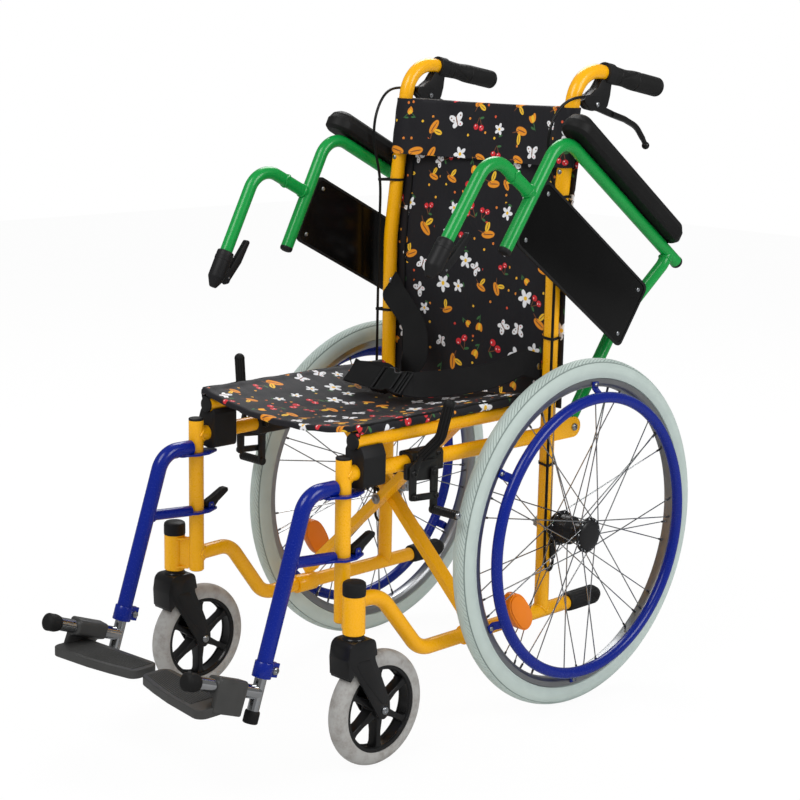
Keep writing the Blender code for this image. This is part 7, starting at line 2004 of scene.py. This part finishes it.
# The lap belts: 45 mm webbing from the back posts, twisted flat over the seat. The right one is
# threaded through the buckle and folded back on itself.
BELT_WIDE = 0.045
BELT_THICK = 0.0019
BELTS = {
    "left": (
        ((0.1838, 0.03, 0.59), (0, 0, 1)), ((0.169, 0.0305, 0.5905), (-0.3, 0.1, 0.95)),
        ((0.1465, 0.037, 0.591), (-0.6, 0.1, 0.8)), ((0.119, 0.057, 0.574), (-0.48, 0.2, 0.85)),
        ((0.099, 0.086, 0.564), (-0.28, 0.3, 0.9)), ((0.085, 0.116, 0.56), (-0.1, 0.4, 0.9)),
        ((0.07, 0.15, 0.5585), (0, 0.5, 0.9)), ((0.056, 0.18, 0.5575), (0, 0.65, 0.8)),
        ((0.045, 0.199, 0.557), (0, 0.7, 0.7)), ((0.033, 0.205, 0.557), (0, 0.7, 0.7)),
    ),
    "right": (
        ((0.184, 0.033, 0.699), (0, 0.3, 1)), ((0.162, 0.0475, 0.6803), (0.55, 0.45, 0.5)),
        ((0.1304, 0.055, 0.6598), (0.97, 0.2, 0.13)), ((0.095, 0.063, 0.632), (1, 0.15, 0.05)),
        ((0.064, 0.086, 0.602), (0.75, 0.65, 0)), ((0.05, 0.105, 0.578), (0.4, 0.9, 0.05)),
        ((0.054, 0.125, 0.563), (0.2, 1, 0.15)), ((0.064, 0.142, 0.556), (0.1, 0.9, 0.4)),
        ((0.082, 0.164, 0.555), (0, 0.75, 0.65)), ((0.1, 0.185, 0.556), (0, 0.7, 0.7)),
        ((0.109, 0.193, 0.5575), (0, 0.7, 0.7)), ((0.1115, 0.1975, 0.56), (0, 0.7, 0.7)),
        ((0.108, 0.202, 0.5618), (0, 0.7, 0.7)), ((0.096, 0.2045, 0.5615), (0, 0.7, 0.7)),
        ((0.064, 0.2055, 0.5595), (0, 0.7, 0.7)), ((0.033, 0.205, 0.557), (0, 0.7, 0.7)),
    ),
}
for name, side in SIDES:
    built = bmesh.new()
    stations = [(at(side, *place), Vector(across)) for place, across in BELTS[name]]
    add_web(built, stations, BELT_WIDE, BELT_THICK)
    belt = piece(f"{name}_belt_web", built, webbing, "seat", [f"{name}_lap_belt"])
    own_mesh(belt)
    built = bmesh.new()
    start = BELTS[name][0][0]
    add_bolt(built, at(side, start[0] - 0.0012, start[1], start[2]), Vector((-side, 0, 0)), 0.0125, 0.004)
    piece(f"{name}_belt_bolt", built, zinc, f"{name}_frame")


# The buckle: a side-release pair in matt black acetal. The webs pass round two bars at each
# end, and the socket's face is cut out where the fingers squeeze the prongs.
acetal = moulded("moulded_black_acetal", ("111112", "1A1A1B"), (0.34, 0.46), 0.7, 0.1)
lean = math.radians(45)
BUCKLE = {"centre": at(1, 0, 0.205, 0.557), "up": Vector((0, math.cos(lean), math.sin(lean)))}
buckle_out = Vector((0, -math.sin(lean), math.cos(lean)))
built = bmesh.new()


def add_buckle_part(outline, low, high, soften=0.0012, radius=0.002):
    """Adds a slab of the buckle: (along, up) points, between two depths through it."""
    points = [
        BUCKLE["centre"] + Vector((u, 0, 0)) + BUCKLE["up"] * v + buckle_out * low
        for u, v in rounded(outline, radius, 4)
    ]
    add_plate(built, points, buckle_out * (high - low), soften, 3)


socket_outline = [
    (-0.0225, -0.024), (-0.006, -0.0245), (0.001, -0.02), (0.012, -0.0205), (0.012, 0.0205),
    (0.008, 0.0165), (-0.001, 0.0165), (-0.007, 0.0245), (-0.0225, 0.024),
]
add_buckle_part(socket_outline, -0.0062, 0.0062, 0.0016, 0.0035)
prong_outline = [
    (0.006, -0.0215), (0.0225, -0.024), (0.0225, 0.024), (0.006, 0.0215), (0.004, 0.018),
    (0.015, 0.015), (0.015, -0.015), (0.004, -0.018),
]
add_buckle_part(prong_outline, -0.0048, 0.0048, 0.0014, 0.0022)
for u_low, u_high, low, high in (
    (-0.037, -0.0325, -0.0045, 0.0045),
    (-0.029, -0.0245, -0.005, 0.0035),
    (0.0245, 0.029, -0.005, 0.0035),
    (0.0325, 0.037, -0.0045, 0.0045),
):
    add_buckle_part(oblong(u_low, -0.024, u_high, 0.024), low, high, 0.0014)
for u_low, u_high in ((-0.037, -0.021), (0.021, 0.037)):
    for v in (-0.0245, 0.0215):
        add_buckle_part(oblong(u_low, v, u_high, v + 0.003), -0.0045, 0.0045, 0.001)
piece("side_release_buckle", built, acetal, "seat", ["belt_buckle"], angle=32.0)

# A thin light grey line along the socket's upper rim: a painted highlight on the black acetal.
built = bmesh.new()
rim = [(-0.019, 0.0236), (-0.0075, 0.0236), (-0.0012, 0.0156), (0.0082, 0.0156), (0.0118, 0.0196)]
route = [BUCKLE["centre"] + Vector((u, 0, 0)) + BUCKLE["up"] * v + buckle_out * 0.0062 for u, v in rim]
add_tube(built, bent(route, (0.004, 0.004, 0.003), 6), 0.0011, 8)
edge_highlight_grey = moulded("acetal_edge_painted_highlight", ("5A5A5C", "6C6C6E"), (0.4, 0.5), 0.7, 0.05)
piece("buckle_edge_highlight", built, edge_highlight_grey, "seat")
